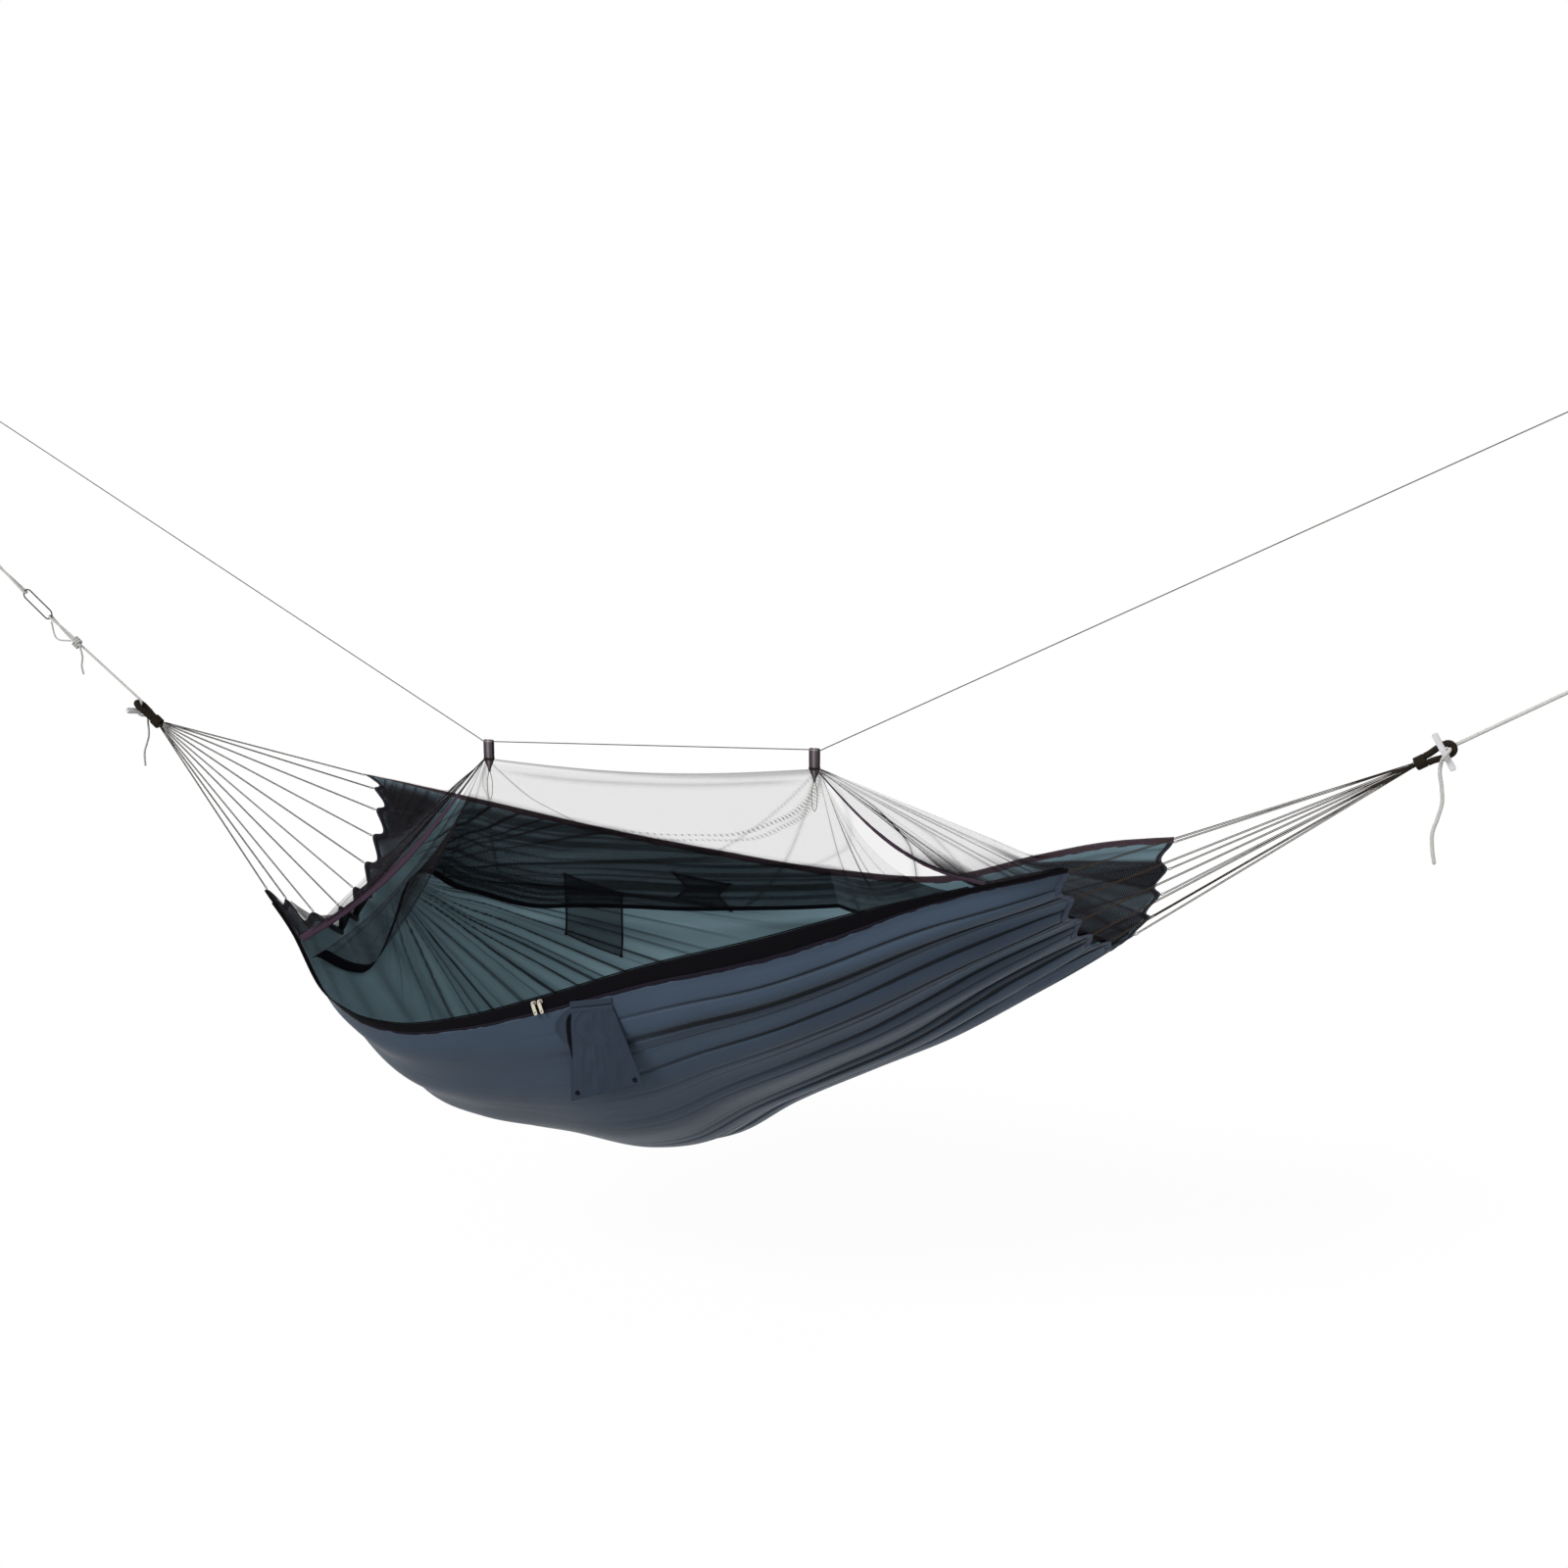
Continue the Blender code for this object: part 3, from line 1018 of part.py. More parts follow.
def main():
    shop = Workshop()
    make_ridge(shop)
    make_bed_cloth(shop)
    make_rims(shop)
    make_pockets(shop)
    make_net(shop)
    make_door(shop)
    make_seams(shop)
    foot_mouth = make_foot_rope(shop)
    head_mouth = make_head_rope(shop)
    make_cords(shop, "head", head_mouth, HEAD_PULL, HEAD_FAN_BACKSET)
    make_cords(shop, "foot", foot_mouth, FOOT_PULL, FOOT_FAN_BACKSET)
    make_zip_pulls(shop)
    make_pouch(shop)
    make_inner_cords(shop)


main()
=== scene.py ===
"""Looks of the hammock tent: its cloth, net, ropes and fittings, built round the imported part.

Metres, in the part's frame: the origin is the middle of the loop at the head tree, +X runs to the foot, +Z
is up, and -Y is the side with the zip. The bed, the net and the ropes follow the same formulas and sizes as
the part's source, on finer grids, with the folds, weaves and fittings that only show here.
"""
from __future__ import annotations

import logging
import math
from dataclasses import dataclass
from enum import Enum
from math import pi
from typing import Any

import bpy
import numpy as np
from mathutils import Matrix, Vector

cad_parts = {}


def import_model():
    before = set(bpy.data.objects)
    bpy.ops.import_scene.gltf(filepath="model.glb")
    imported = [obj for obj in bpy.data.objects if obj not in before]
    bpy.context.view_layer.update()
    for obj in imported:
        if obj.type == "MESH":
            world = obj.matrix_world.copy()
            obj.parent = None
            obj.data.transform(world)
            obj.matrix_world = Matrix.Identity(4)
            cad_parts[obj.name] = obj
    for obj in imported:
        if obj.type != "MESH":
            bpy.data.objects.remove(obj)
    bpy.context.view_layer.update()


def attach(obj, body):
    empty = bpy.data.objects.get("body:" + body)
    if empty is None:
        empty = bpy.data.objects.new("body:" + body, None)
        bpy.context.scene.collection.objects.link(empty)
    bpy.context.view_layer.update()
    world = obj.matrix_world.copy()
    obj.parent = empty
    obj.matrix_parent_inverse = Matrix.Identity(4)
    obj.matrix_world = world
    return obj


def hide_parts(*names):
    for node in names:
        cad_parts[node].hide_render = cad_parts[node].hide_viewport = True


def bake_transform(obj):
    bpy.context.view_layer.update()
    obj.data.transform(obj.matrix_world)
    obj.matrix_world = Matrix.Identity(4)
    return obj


LOG = logging.getLogger("hammock_tent")
Array = np.ndarray
Numbers = Array | float
Piece = bpy.types.Object
Pair = tuple[float, float]
Trio = tuple[float, float, float]
Shares = tuple[Pair, ...]
Line = tuple[float, float, float, float, float]

MM = 0.001
UP = np.array([0.0, 0.0, 1.0])
SIDE = np.array([0.0, 1.0, 0.0])

# How many sets of waves the slow noise is made of, each 1.7 times as fine and 0.6 times as high as the last
DRIFT_SETS = 3

# The photograph's viewpoint and the point it looks at, solved from the ropes, the hems and the ridge line
STAND = np.array([3.3625, -3.874, 0.3552])
AIM = np.array([1.9519, 0.0, -0.4457])


class Body(str, Enum):
    """The moving bodies of the part."""

    SUPPORT = "support"
    BED = "bed"
    HEAD_TOGGLE = "head_toggle_bar"
    FOOT_TOGGLE = "foot_toggle_bar"
    HEAD_SLIDER = "head_slider"
    FOOT_SLIDER = "foot_slider"
    HEAD_PULL = "head_pull"
    FOOT_PULL = "foot_pull"
    POUCH = "pouch"


class End(str, Enum):
    """The two ends of the hammock."""

    HEAD = "head"
    FOOT = "foot"


# Small vector and curve helpers

def unit(vectors: Array) -> Array:
    """Scale vectors to length one along the last axis."""
    return vectors / np.maximum(np.linalg.norm(vectors, axis=-1, keepdims=True), 1e-12)


def vec(*parts: float) -> Array:
    """Make a float vector from its parts."""
    return np.array(parts, float)


def even(count: int) -> Array:
    """Even shares from 0 to 1."""
    return np.linspace(0, 1, count)


def rounded(wave: Array, power: float) -> Array:
    """A wave raised to a power with its sign kept, which squares off an ellipse."""
    return np.sign(wave) * np.abs(wave) ** power


def mix(start: Array, stop: Array, at: Numbers) -> Array:
    """Go from start to stop by a share that may be an array."""
    return start + (stop - start) * at


def ease(low: float, high: float, at: Array) -> Array:
    """Rise from 0 at low to 1 at high with level ends: 3t^2 - 2t^3."""
    t = np.clip((np.asarray(at, float) - low) / (high - low), 0, 1)
    return t * t * (3 - 2 * t)


def profile(shares: Shares, at: Numbers) -> Array:
    """Read a smooth curve through a table of shares.

    Each stretch is a cubic Hermite piece, and each inner slope is the mean of its two chords weighted by the
    other chord's length.

    Args:
        shares: pairs of position share and value share, in order.
        at: positions to read.

    Returns:
        The value at each position.
    """
    return hermite(*np.array(shares).T, at)


def hermite(xs: Array, ys: Array, at: Numbers) -> Array:
    """Cubic Hermite curve through values at places.

    Args:
        xs: the places, rising.
        ys: the values, numbers or rows of them.
        at: places to read.

    Returns:
        The value at each place.
    """
    at = np.asarray(at, float)
    wide = (slice(None),) + (None,) * (ys.ndim - 1)
    steps = np.diff(xs)[wide]
    rises = np.diff(ys, axis=0) / steps
    inner = (rises[:-1] * steps[1:] + rises[1:] * steps[:-1]) / (steps[:-1] + steps[1:])
    slopes = np.concatenate([rises[:1], inner, rises[-1:]])
    k = np.clip(np.searchsorted(xs, at, side="right") - 1, 0, len(xs) - 2)
    t = ((at - xs[k]) / np.diff(xs)[k]).reshape(at.shape + (1,) * (ys.ndim - 1))
    step = steps[k].reshape(t.shape)
    value = (1 + 2 * t) * (1 - t) ** 2 * ys[k] + t * (1 - t) ** 2 * step * slopes[k]
    return value + t * t * (3 - 2 * t) * ys[k + 1] + t * t * (t - 1) * step * slopes[k + 1]


def refine(grid: Array, count: int) -> Array:
    """Put more columns on the smooth surface through a grid's own ones, evenly by their number."""
    turned = np.moveaxis(grid, 1, 0)
    last = len(turned) - 1
    return np.moveaxis(hermite(np.arange(last + 1.0), turned, np.linspace(0, last, count)), 0, 1)


def along(points: Array) -> Array:
    """Distance along a line of points, from 0 at its first."""
    return np.concatenate([[0.0], np.cumsum(np.linalg.norm(np.diff(points, axis=0), axis=1))])


def route(points: list[Array] | Array, step: float) -> Array:
    """Even points on a smooth curve through a few route points.

    Args:
        points: the route.
        step: distance between the points returned.

    Returns:
        Points a step apart, ends included.
    """
    table = np.array(points, float)
    table = table[np.concatenate([[True], np.linalg.norm(np.diff(table, axis=0), axis=1) > 1e-7])]
    at = along(table)
    fine = hermite(at, table, np.linspace(0, at[-1], max(200, len(table) * 12)))
    reach = along(fine)
    places = np.linspace(0, reach[-1], max(4, int(round(reach[-1] / step)) + 1))
    return np.stack([np.interp(places, reach, fine[:, k]) for k in range(3)], 1)


def arc(centre: Array, ahead: Array, aside: Array, radius: float, start: float, stop: float,
        count: int) -> Array:
    """Points on an arc from one angle to another, in degrees."""
    angles = np.radians(np.linspace(start, stop, count))[:, None]
    return centre + ahead * radius * np.cos(angles) + aside * radius * np.sin(angles)


def carried_frames(path: Array, closed: bool = False) -> tuple[Array, Array]:
    """Two normals at each point of a path, carried along it without twist.

    Each normal is the one before it, turned by the rotation that takes one tangent to the next.

    Args:
        path: points.
        closed: whether the path is a ring.

    Returns:
        The two sets of normals.
    """
    if closed:
        tangents = unit(np.roll(path, -1, 0) - np.roll(path, 1, 0))
    else:
        tangents = unit(np.gradient(path, axis=0))
    seed = np.eye(3)[np.argmin(np.abs(tangents[0]))]
    normals = [unit(np.cross(tangents[0], seed))]
    for tangent in tangents[1:]:
        last = normals[-1] - tangent * normals[-1].dot(tangent)
        normals.append(last / np.linalg.norm(last))
    return np.array(normals), np.cross(tangents, np.array(normals))


# Meshes

def surface(name: str, points: Array, uv: Array | None = None, wrap: tuple[bool, bool] = (False, False),
            caps: bool = False) -> Piece:
    """Mesh over a grid of points, smooth shaded.

    Args:
        name: the piece's name.
        points: rows by columns by 3.
        uv: rows by columns by 2, in metres; one more row or column where the grid wraps.
        wrap: whether rows, and whether columns, close on themselves.
        caps: whether the first and last rows are closed by a face.

    Returns:
        The new object, at the origin.
    """
    rows, columns = points.shape[:2]
    index = np.arange(rows * columns).reshape(rows, columns)
    if wrap[0]:
        index = np.concatenate([index, index[:1]], 0)
    if wrap[1]:
        index = np.concatenate([index, index[:, :1]], 1)
    corner = (index[:-1, :-1], index[1:, :-1], index[1:, 1:], index[:-1, 1:])
    flat = points.reshape(-1, 3)
    shut = caps or all(wrap)
    flip = shut and turned_in(flat - flat.mean(0), np.stack(corner, -1).reshape(-1, 4))
    quads = np.stack(corner[::-1] if flip else corner, -1).reshape(-1, 4)
    faces = quads.tolist()
    if caps:
        first, last = index[0, :columns].tolist(), index[-1, :columns].tolist()
        faces += [first[::-1], last] if flip else [first, last[::-1]]
    data = bpy.data.meshes.new(name)
    data.from_pydata(flat, [], faces)
    if uv is not None:
        corner = (uv[:-1, :-1], uv[1:, :-1], uv[1:, 1:], uv[:-1, 1:])
        flat = np.stack(corner[::-1] if flip else corner, 2).reshape(-1, 2)
        layer = data.uv_layers.new(name="surface")
        table = np.zeros((len(data.loops), 2), np.float32)
        table[:len(flat)] = flat
        layer.data.foreach_set("uv", table.ravel())
    data.shade_smooth()
    return put(name, data)


def put(name: str, data: Any) -> Piece:
    """Put an object with its data into the scene, at the origin."""
    made = bpy.data.objects.new(name, data)
    bpy.context.scene.collection.objects.link(made)
    return made


def turned_in(points: Array, quads: Array) -> bool:
    """Whether a closed grid's faces point in: each face's middle dotted with its normal, summed, is negative.

    Args:
        points: all points, about their own middle.
        quads: the corners of each face.

    Returns:
        True where the faces have to be turned round.
    """
    a, b, c, d = (points[quads[:, k]] for k in range(4))
    return float((np.cross(c - a, d - b) * (a + b + c + d)).sum()) < 0


def grid_uv(points: Array) -> Array:
    """UV in metres over a grid: u by the mean length of the rows' line, v by that of the columns' line."""
    steps = [np.linalg.norm(np.diff(points, axis=k), axis=-1).mean(1 - k) for k in (0, 1)]
    lengths = [np.concatenate([[0.0], np.cumsum(step)]) for step in steps]
    return np.stack(np.meshgrid(*lengths, indexing="ij"), -1)


def thicken(piece: Piece, thickness: float, second_side: int = 0) -> Piece:
    """Give an open cloth surface its thickness, with the second side in its own material slot."""
    shell = piece.modifiers.new("thickness", "SOLIDIFY")
    shell.thickness = thickness
    shell.offset = 0.0
    shell.material_offset = second_side
    return piece


def tube(name: str, path: Array, radius: Numbers, sides: int = 12, closed: bool = False,
         squeeze: float = 1.0, ribs: Pair | None = None) -> Piece:
    """Round tube along a path: each ring is path + r (n cos a + b sin a).

    Args:
        name: the piece's name.
        path: its centre line.
        radius: one radius, or one for each point.
        sides: points round it.
        closed: whether the path is a ring.
        squeeze: share that the second normal's radius is drawn in by.
        ribs: pitch and depth of a wound thread, whose crests climb the tube as a screw.

    Returns:
        The new object, with u along it in metres and v once round it.
    """
    first, second = carried_frames(path, closed)
    turn = np.linspace(0, 2 * pi, sides, endpoint=False)
    reach = along(path)
    radii = np.broadcast_to(np.asarray(radius, float), (len(path),))[:, None] * np.ones(sides)
    if ribs is not None:
        pitch, depth = ribs
        climb = 2 * pi * reach[:, None] / pitch - turn
        radii = radii - depth * (1 - np.abs(np.cos(climb / 2)))
    ring = first[:, None] * np.cos(turn)[:, None] + second[:, None] * np.sin(turn)[:, None] * squeeze
    points = path[:, None] + ring * radii[..., None]
    rows = np.append(reach, reach[-1] + np.linalg.norm(path[0] - path[-1])) if closed else reach
    u, v = np.meshgrid(rows, even(sides + 1), indexing="ij")
    return surface(name, points, np.stack([u, v], -1), (closed, True), caps=not closed)


def band(name: str, middle: Array, normals: Array, thickness: float, width: float = 0.0) -> Piece:
    """Flat band with rounded edges: a closed section round a strip of points.

    Each row of the strip becomes a ring that runs along its upper side and back along its lower side. The
    half thickness falls to nothing at both edges as the fourth root of a parabola.

    Args:
        name: the piece's name.
        middle: the strip's middle surface, rows along the band by columns across it.
        normals: unit normals at those points.
        thickness: full thickness.
        width: the width that v runs over, or 0 for the strip's own.

    Returns:
        The new object, with u along the band and v across it, in metres.
    """
    place = np.linspace(-1, 1, middle.shape[1])
    half = thickness / 2 * np.maximum(1 - place ** 2, 0) ** 0.25
    upper = middle + normals * half[None, :, None]
    lower = middle - normals * half[None, :, None]
    ring = np.concatenate([upper, lower[:, -2:0:-1]], 1)
    flat = grid_uv(middle)
    if width:
        flat[..., 1] = (place + 1) / 2 * width
    uv = np.concatenate([flat, flat[:, -2:0:-1], flat[:, :1]], 1)
    return surface(name, ring, uv, (False, True), caps=True)


def join(name: str, pieces: list[Piece]) -> Piece:
    """Make one piece of several that touch nothing else."""
    with bpy.context.temp_override(active_object=pieces[0], selected_editable_objects=pieces):
        bpy.ops.object.join()
    pieces[0].name = name
    pieces[0].data.name = name
    return pieces[0]


def dress(piece: Piece, finish: Finish | tuple[Finish, ...], body: Body | None, slot: str,
          *nodes: str) -> Piece:
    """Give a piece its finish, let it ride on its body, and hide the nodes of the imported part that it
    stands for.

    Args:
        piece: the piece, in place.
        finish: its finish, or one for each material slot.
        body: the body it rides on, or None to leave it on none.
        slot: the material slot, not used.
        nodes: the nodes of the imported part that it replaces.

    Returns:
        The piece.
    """
    for one in finish if isinstance(finish, tuple) else (finish,):
        piece.data.materials.append(one.make())
    if body is not None:
        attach(piece, body.value)
    if nodes:
        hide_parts(*nodes)
    LOG.info("%s: %d faces", piece.name, len(piece.data.polygons))
    return piece


# Finishes

def linear(hex_colour: str) -> tuple[float, float, float, float]:
    """Turn an sRGB hex colour to linear RGBA."""
    parts = [int(hex_colour[k:k + 2], 16) / 255 for k in (1, 3, 5)]
    low = [c / 12.92 if c <= 0.04045 else ((c + 0.055) / 1.055) ** 2.4 for c in parts]
    return (low[0], low[1], low[2], 1.0)


@dataclass(frozen=True)
class Seam:
    """A row of stitches near each edge of a tape or hem, which is as wide as this says."""

    width: float
    stitch: float = 4.0 * MM
    inset: float = 2.0 * MM
    colour: str = "#5a5560"
    thread: float = 1.1 * MM


@dataclass(frozen=True)
class Pattern:
    """The nodes that are laid on one shader, or on the world's background."""

    tree: bpy.types.NodeTree
    shader: bpy.types.Node

    def add(self, kind: str, inputs: Any = (), out: int | str = 0, **settings: Any) -> Any:
        """Add a node with its settings and links.

        Args:
            kind: the node's type, without the word ShaderNode.
            inputs: sockets or plain values for its inputs, in order, or a dict of them by name or number.
            out: the output that is wanted.
            settings: values for the node's own properties.

        Returns:
            The socket of that output.
        """
        node = self.tree.nodes.new("ShaderNode" + kind)
        for key, value in settings.items():
            setattr(node, key, value)
        for key, value in inputs.items() if isinstance(inputs, dict) else enumerate(inputs):
            if isinstance(value, bpy.types.NodeSocket):
                self.tree.links.new(value, node.inputs[key])
            else:
                node.inputs[key].default_value = value
        return node.outputs[out]

    def join(self, socket: Any, name: str) -> None:
        """Link a socket to an input of the shader."""
        self.tree.links.new(socket, self.shader.inputs[name])

    def split_uv(self) -> tuple[Any, Any, Any]:
        """The piece's UV coordinates: both together, u and v."""
        place = self.add("UVMap", out="UV", uv_map="surface")
        parts = self.add("SeparateXYZ", (place,)).node.outputs
        return place, parts[0], parts[1]

    def stored(self, name: str) -> Any:
        """The three numbers that a piece's points hold under a name."""
        held = self.add("Attribute", out="Vector", attribute_name=name)
        return self.add("SeparateXYZ", (held,)).node.outputs

    def wave(self, coordinate: Any, period: float, offset: float = 0.0) -> Any:
        """Cosine of a coordinate with a real period, from -1 to 1."""
        turned = self.add("Math", (coordinate, 2 * pi / period, offset), operation="MULTIPLY_ADD")
        return self.add("Math", (turned,), operation="COSINE")

    def weigh(self, *parts: tuple[Any, float]) -> Any:
        """Sum of some sockets, each times its share."""
        total = None
        for part in parts:
            weighed = part[0] if part[1] == 1 else self.add("Math", part, operation="MULTIPLY")
            total = weighed if total is None else self.add("Math", (total, weighed), operation="ADD")
        return total

    def away(self, value: Any, middle: float) -> Any:
        """Distance of a value from a middle."""
        signed = self.add("Math", (value, middle), operation="SUBTRACT")
        return self.add("Math", (signed,), operation="ABSOLUTE")

    def tint_over(self, share: Any, hex_colour: str) -> None:
        """Mix one more colour over what the shader already has; it lays thread colour, painted shade and
        painted highlights.
        """
        base = self.shader.inputs["Base Color"].links[0].from_socket
        self.blend(share, base, hex_colour)

    def blend(self, share: Any, first: Any, hex_colour: str) -> None:
        """Give the shader a mix of a first colour or socket and a second colour, by a share."""
        colours = {0: share, 6: first, 7: linear(hex_colour)}
        self.join(self.add("Mix", colours, 2, data_type="RGBA"), "Base Color")

    def bump(self, height: Any, distance: float, strength: float = 1.0, under: Any = None) -> Any:
        """Raise the surface by a height, on top of another bump if one is given."""
        inputs = {"Height": height, "Strength": strength, "Distance": distance}
        if under is not None:
            inputs["Normal"] = under
        bumped = self.add("Bump", inputs, "Normal")
        self.join(bumped, "Normal")
        return bumped

    def sew(self, u: Any, v: Any, seam: Seam, under: Any) -> None:
        """Dashes of thread along u, at a set distance in from both edges of the width that v runs over."""
        middle = seam.width / 2
        near = self.away(self.away(v, middle), middle - seam.inset)
        row = self.add("Math", (near, seam.thread / 2), operation="LESS_THAN")
        dash = self.add("Math", (self.wave(u, seam.stitch), -0.35), operation="GREATER_THAN")
        thread = self.add("Math", (row, dash), operation="MULTIPLY")
        self.tint_over(thread, seam.colour)
        self.bump(thread, 0.3 * MM, 0.6, under)


@dataclass(frozen=True)
class Finish:
    """A surface: its colours, and how rough and glossy it is."""

    name: str
    colour: str
    second_colour: str
    roughness: float = 0.7
    metallic: float = 0.0
    sheen: float = 0.0
    gloss: float = 0.03

    def make(self) -> bpy.types.Material:
        """Build the material once, and give the same one again when asked again."""
        known = bpy.data.materials.get(self.name)
        if known is not None:
            return known
        material = bpy.data.materials.new(self.name)
        material.use_nodes = True
        shader = material.node_tree.nodes["Principled BSDF"]
        for name, value in {"Roughness": self.roughness, "Metallic": self.metallic, "Sheen Roughness": 0.4,
                            "Specular IOR Level": self.gloss, "Sheen Weight": self.sheen}.items():
            shader.inputs[name].default_value = value
        self.wire(Pattern(material.node_tree, shader))
        material.diffuse_color = linear(self.colour)
        return material

    def wire(self, on: Pattern) -> None:
        """Lay the finish's own pattern on the shader."""
        raise NotImplementedError

    def paint(self, on: Pattern, share: Any) -> None:
        """Mix the two colours by a share and put them on the shader."""
        on.blend(share, linear(self.colour), self.second_colour)


@dataclass(frozen=True)
class WovenNylon(Finish):
    """Calendered parachute nylon: a fine plain weave, a soft sheen, and painted shade in the creases that the
    load draws.
    """

    thread: float = 1.6 * MM
    crease: float = 2.2 * MM
    groove: float = 4.0 * MM
    # Near-black painted shade for the crease grooves
    crease_shade_colour: str = "#070d0e"
    seam: Seam | None = None

    def creases(self, on: Pattern) -> tuple[Any, Any]:
        """Painted shade of both fans: dark grooves, and slow streaks of shade along the broad folds, from the
        same sums of cosines as the cloth's shape has.
        """
        phases, pulls = on.stored("folds"), on.stored("pull")
        grooves, streaks = [], []
        for k, numbers in enumerate(FAN_NUMBERS):
            waves = [on.wave(phases[k], 1 / number, turn) for number, turn in zip(numbers, FAN_TURNS)]
            total = on.weigh(*((one, 1) for one in waves))
            cut = on.add("MapRange", {"Value": total, "From Min": GROOVE_CUT[0], "From Max": GROOVE_CUT[1]},
                         interpolation_type="SMOOTHSTEP")
            slow = on.weigh((waves[0], 1), (waves[1], 1))
            grooves.append((on.add("Math", (cut, pulls[k]), operation="MULTIPLY"), 1))
            streaks.append((on.add("Math", (slow, pulls[k]), operation="MULTIPLY"), 1))
        return on.add("Math", (on.weigh(*grooves), 1.0), operation="MINIMUM"), on.weigh(*streaks)

    def wire(self, on: Pattern) -> None:
        """Weave on UV, some times as coarse as its real 0.3 mm threads so that it shows, and its creases with
        their painted shade.
        """
        place, u, v = on.split_uv()
        weave = on.add("Math", (on.wave(u, self.thread), on.wave(v, self.thread)), operation="MULTIPLY")
        stretched = on.add("Mapping", {"Vector": place, "Scale": (5.0, 34.0, 1.0)})
        folds = on.add("TexNoise", {"Vector": stretched, "Scale": 1.0, "Detail": 4.0, "Roughness": 0.55,
                                    "Distortion": 0.6})
        cloud = on.add("TexNoise", {"Vector": place, "Scale": 7.0, "Detail": 3.0})
        grain = on.add("TexNoise", {"Vector": place, "Scale": 420.0, "Detail": 2.0})
        groove, fold_shade = self.creases(on)
        tone = on.add("Math", (weave, 0.08, 0.15), operation="MULTIPLY_ADD")
        # The fold streaks in this mix are painted shade on the broad folds
        self.paint(on, on.weigh((tone, 1), (cloud, 0.45), (grain, 0.12), (fold_shade, 0.22)))
        # Painted shade: the grooves of the creases are darkened
        on.tint_over(on.weigh((groove, 0.85)), self.crease_shade_colour)
        creased = on.bump(folds, self.crease, 0.55)
        creased = on.bump(on.weigh((groove, -1.0)), self.groove, 0.8, creased)
        woven = on.bump(weave, 0.12 * MM, 0.5, creased)
        if self.seam is not None:
            on.sew(u, v, self.seam, woven)


@dataclass(frozen=True)
class MosquitoNet(Finish):
    """Knitted no-see-um netting: fine dark threads that veil what is behind, and hide it where they crowd,
    where their colour also takes painted shade.
    """

    cell: float = 2.6 * MM
    cover: float = 0.055
    crowded: float = 0.64
    shade: str = "#121013"

    def wire(self, on: Pattern) -> None:
        """Threads on UV, drawn about twice as coarse as the real 1.2 mm mesh so that they show close by."""
        place, u, v = on.split_uv()
        slants = [on.wave(on.add("Math", (u, v), operation=way), self.cell) for way in ("ADD", "SUBTRACT")]
        threads = on.add("Math", slants, operation="MAXIMUM")
        self.paint(on, on.add("TexNoise", {"Vector": place, "Scale": 9.0, "Detail": 3.0}))
        crowd = on.stored("crowd")[0]
        # Painted shade: where the net crowds its colour is darkened, as piled layers shade each other
        on.tint_over(on.weigh((crowd, 0.8)), self.shade)
        knit = on.add("MapRange", {"Value": threads, "From Min": -0.2, "To Min": 0.35, "To Max": 1.65})
        thick = on.add("MapRange", {"Value": crowd, "To Min": self.cover, "To Max": self.crowded})
        on.join(on.add("Math", (knit, thick), operation="MULTIPLY"), "Alpha")
        on.bump(threads, 0.15 * MM, 0.4)


@dataclass(frozen=True)
class Braid(Finish):
    """Braided cord: two sets of strands that cross as diamonds, darker in the valleys between them."""

    pitch: float = 4.0 * MM
    strands: int = 4
    depth: float = 0.35 * MM

    def wire(self, on: Pattern) -> None:
        """Diamonds from the product of two screws, left and right, on u in metres and v round the cord."""
        place, u, v = on.split_uv()
        angles = on.weigh((u, 2 * pi / self.pitch)), on.weigh((v, 2 * pi * self.strands))
        screws = [on.add("Math", (on.add("Math", angles, operation=way),), operation="SINE")
                  for way in ("ADD", "SUBTRACT")]
        height = on.add("Math", (on.add("Math", screws, operation="MULTIPLY"),), operation="ABSOLUTE")
        stretched = on.add("Mapping", {"Vector": place, "Scale": (60.0, 3.0, 1.0)})
        dirt = on.add("TexNoise", {"Vector": stretched, "Scale": 2.0, "Detail": 4.0})
        # The colour is darker in the valleys between the strands, and uneven by the stretched noise
        self.paint(on, on.weigh((height, -0.55), (dirt, 0.9)))
        on.bump(height, self.depth, 0.9)


@dataclass(frozen=True)
class Ribbed(Finish):
    """Woven tape: ribs across it, where wanted a painted highlight down its middle, and where wanted a row of
    stitches near each edge.
    """

    rib: float = 1.2 * MM
    seam: Seam | None = None
    painted_highlight_colour: str = ""
    painted_highlight_width: float = 10.0 * MM

    def wire(self, on: Pattern) -> None:
        """Ribs on u, speckle from noise, a painted highlight down the middle where wanted, and the rows of
        stitches.
        """
        place, u, v = on.split_uv()
        ribs = on.wave(u, self.rib)
        speck = on.add("TexNoise", {"Vector": place, "Scale": 260.0, "Detail": 3.0})
        self.paint(on, on.weigh((ribs, 0.12), (speck, 1)))
        # Painted highlight: a paler stripe down the middle of the tape for its gloss
        if self.painted_highlight_colour and self.seam is not None:
            off = on.away(v, self.seam.width / 2)
            painted_highlight = on.add("MapRange", {"Value": off, "From Max": self.painted_highlight_width / 2, "To Min": 0.85,
                                       "To Max": 0.0}, interpolation_type="SMOOTHSTEP")
            on.tint_over(painted_highlight, self.painted_highlight_colour)
        under = on.bump(ribs, 0.2 * MM, 0.5)
        if self.seam is not None:
            on.sew(u, v, self.seam, under)


@dataclass(frozen=True)
class Moulded(Finish):
    """Injection-moulded plastic: satin, faintly uneven, with fine scratches and a little wear."""

    def wire(self, on: Pattern) -> None:
        """Fine noise for the mould's grain and a coarser one for the wear, on object coordinates."""
        place = on.add("TexCoord", out="Object")
        self.paint(on, on.add("TexNoise", {"Vector": place, "Scale": 70.0, "Detail": 5.0}))
        on.bump(on.add("TexNoise", {"Vector": place, "Scale": 900.0, "Detail": 3.0}), 0.06 * MM, 0.35)


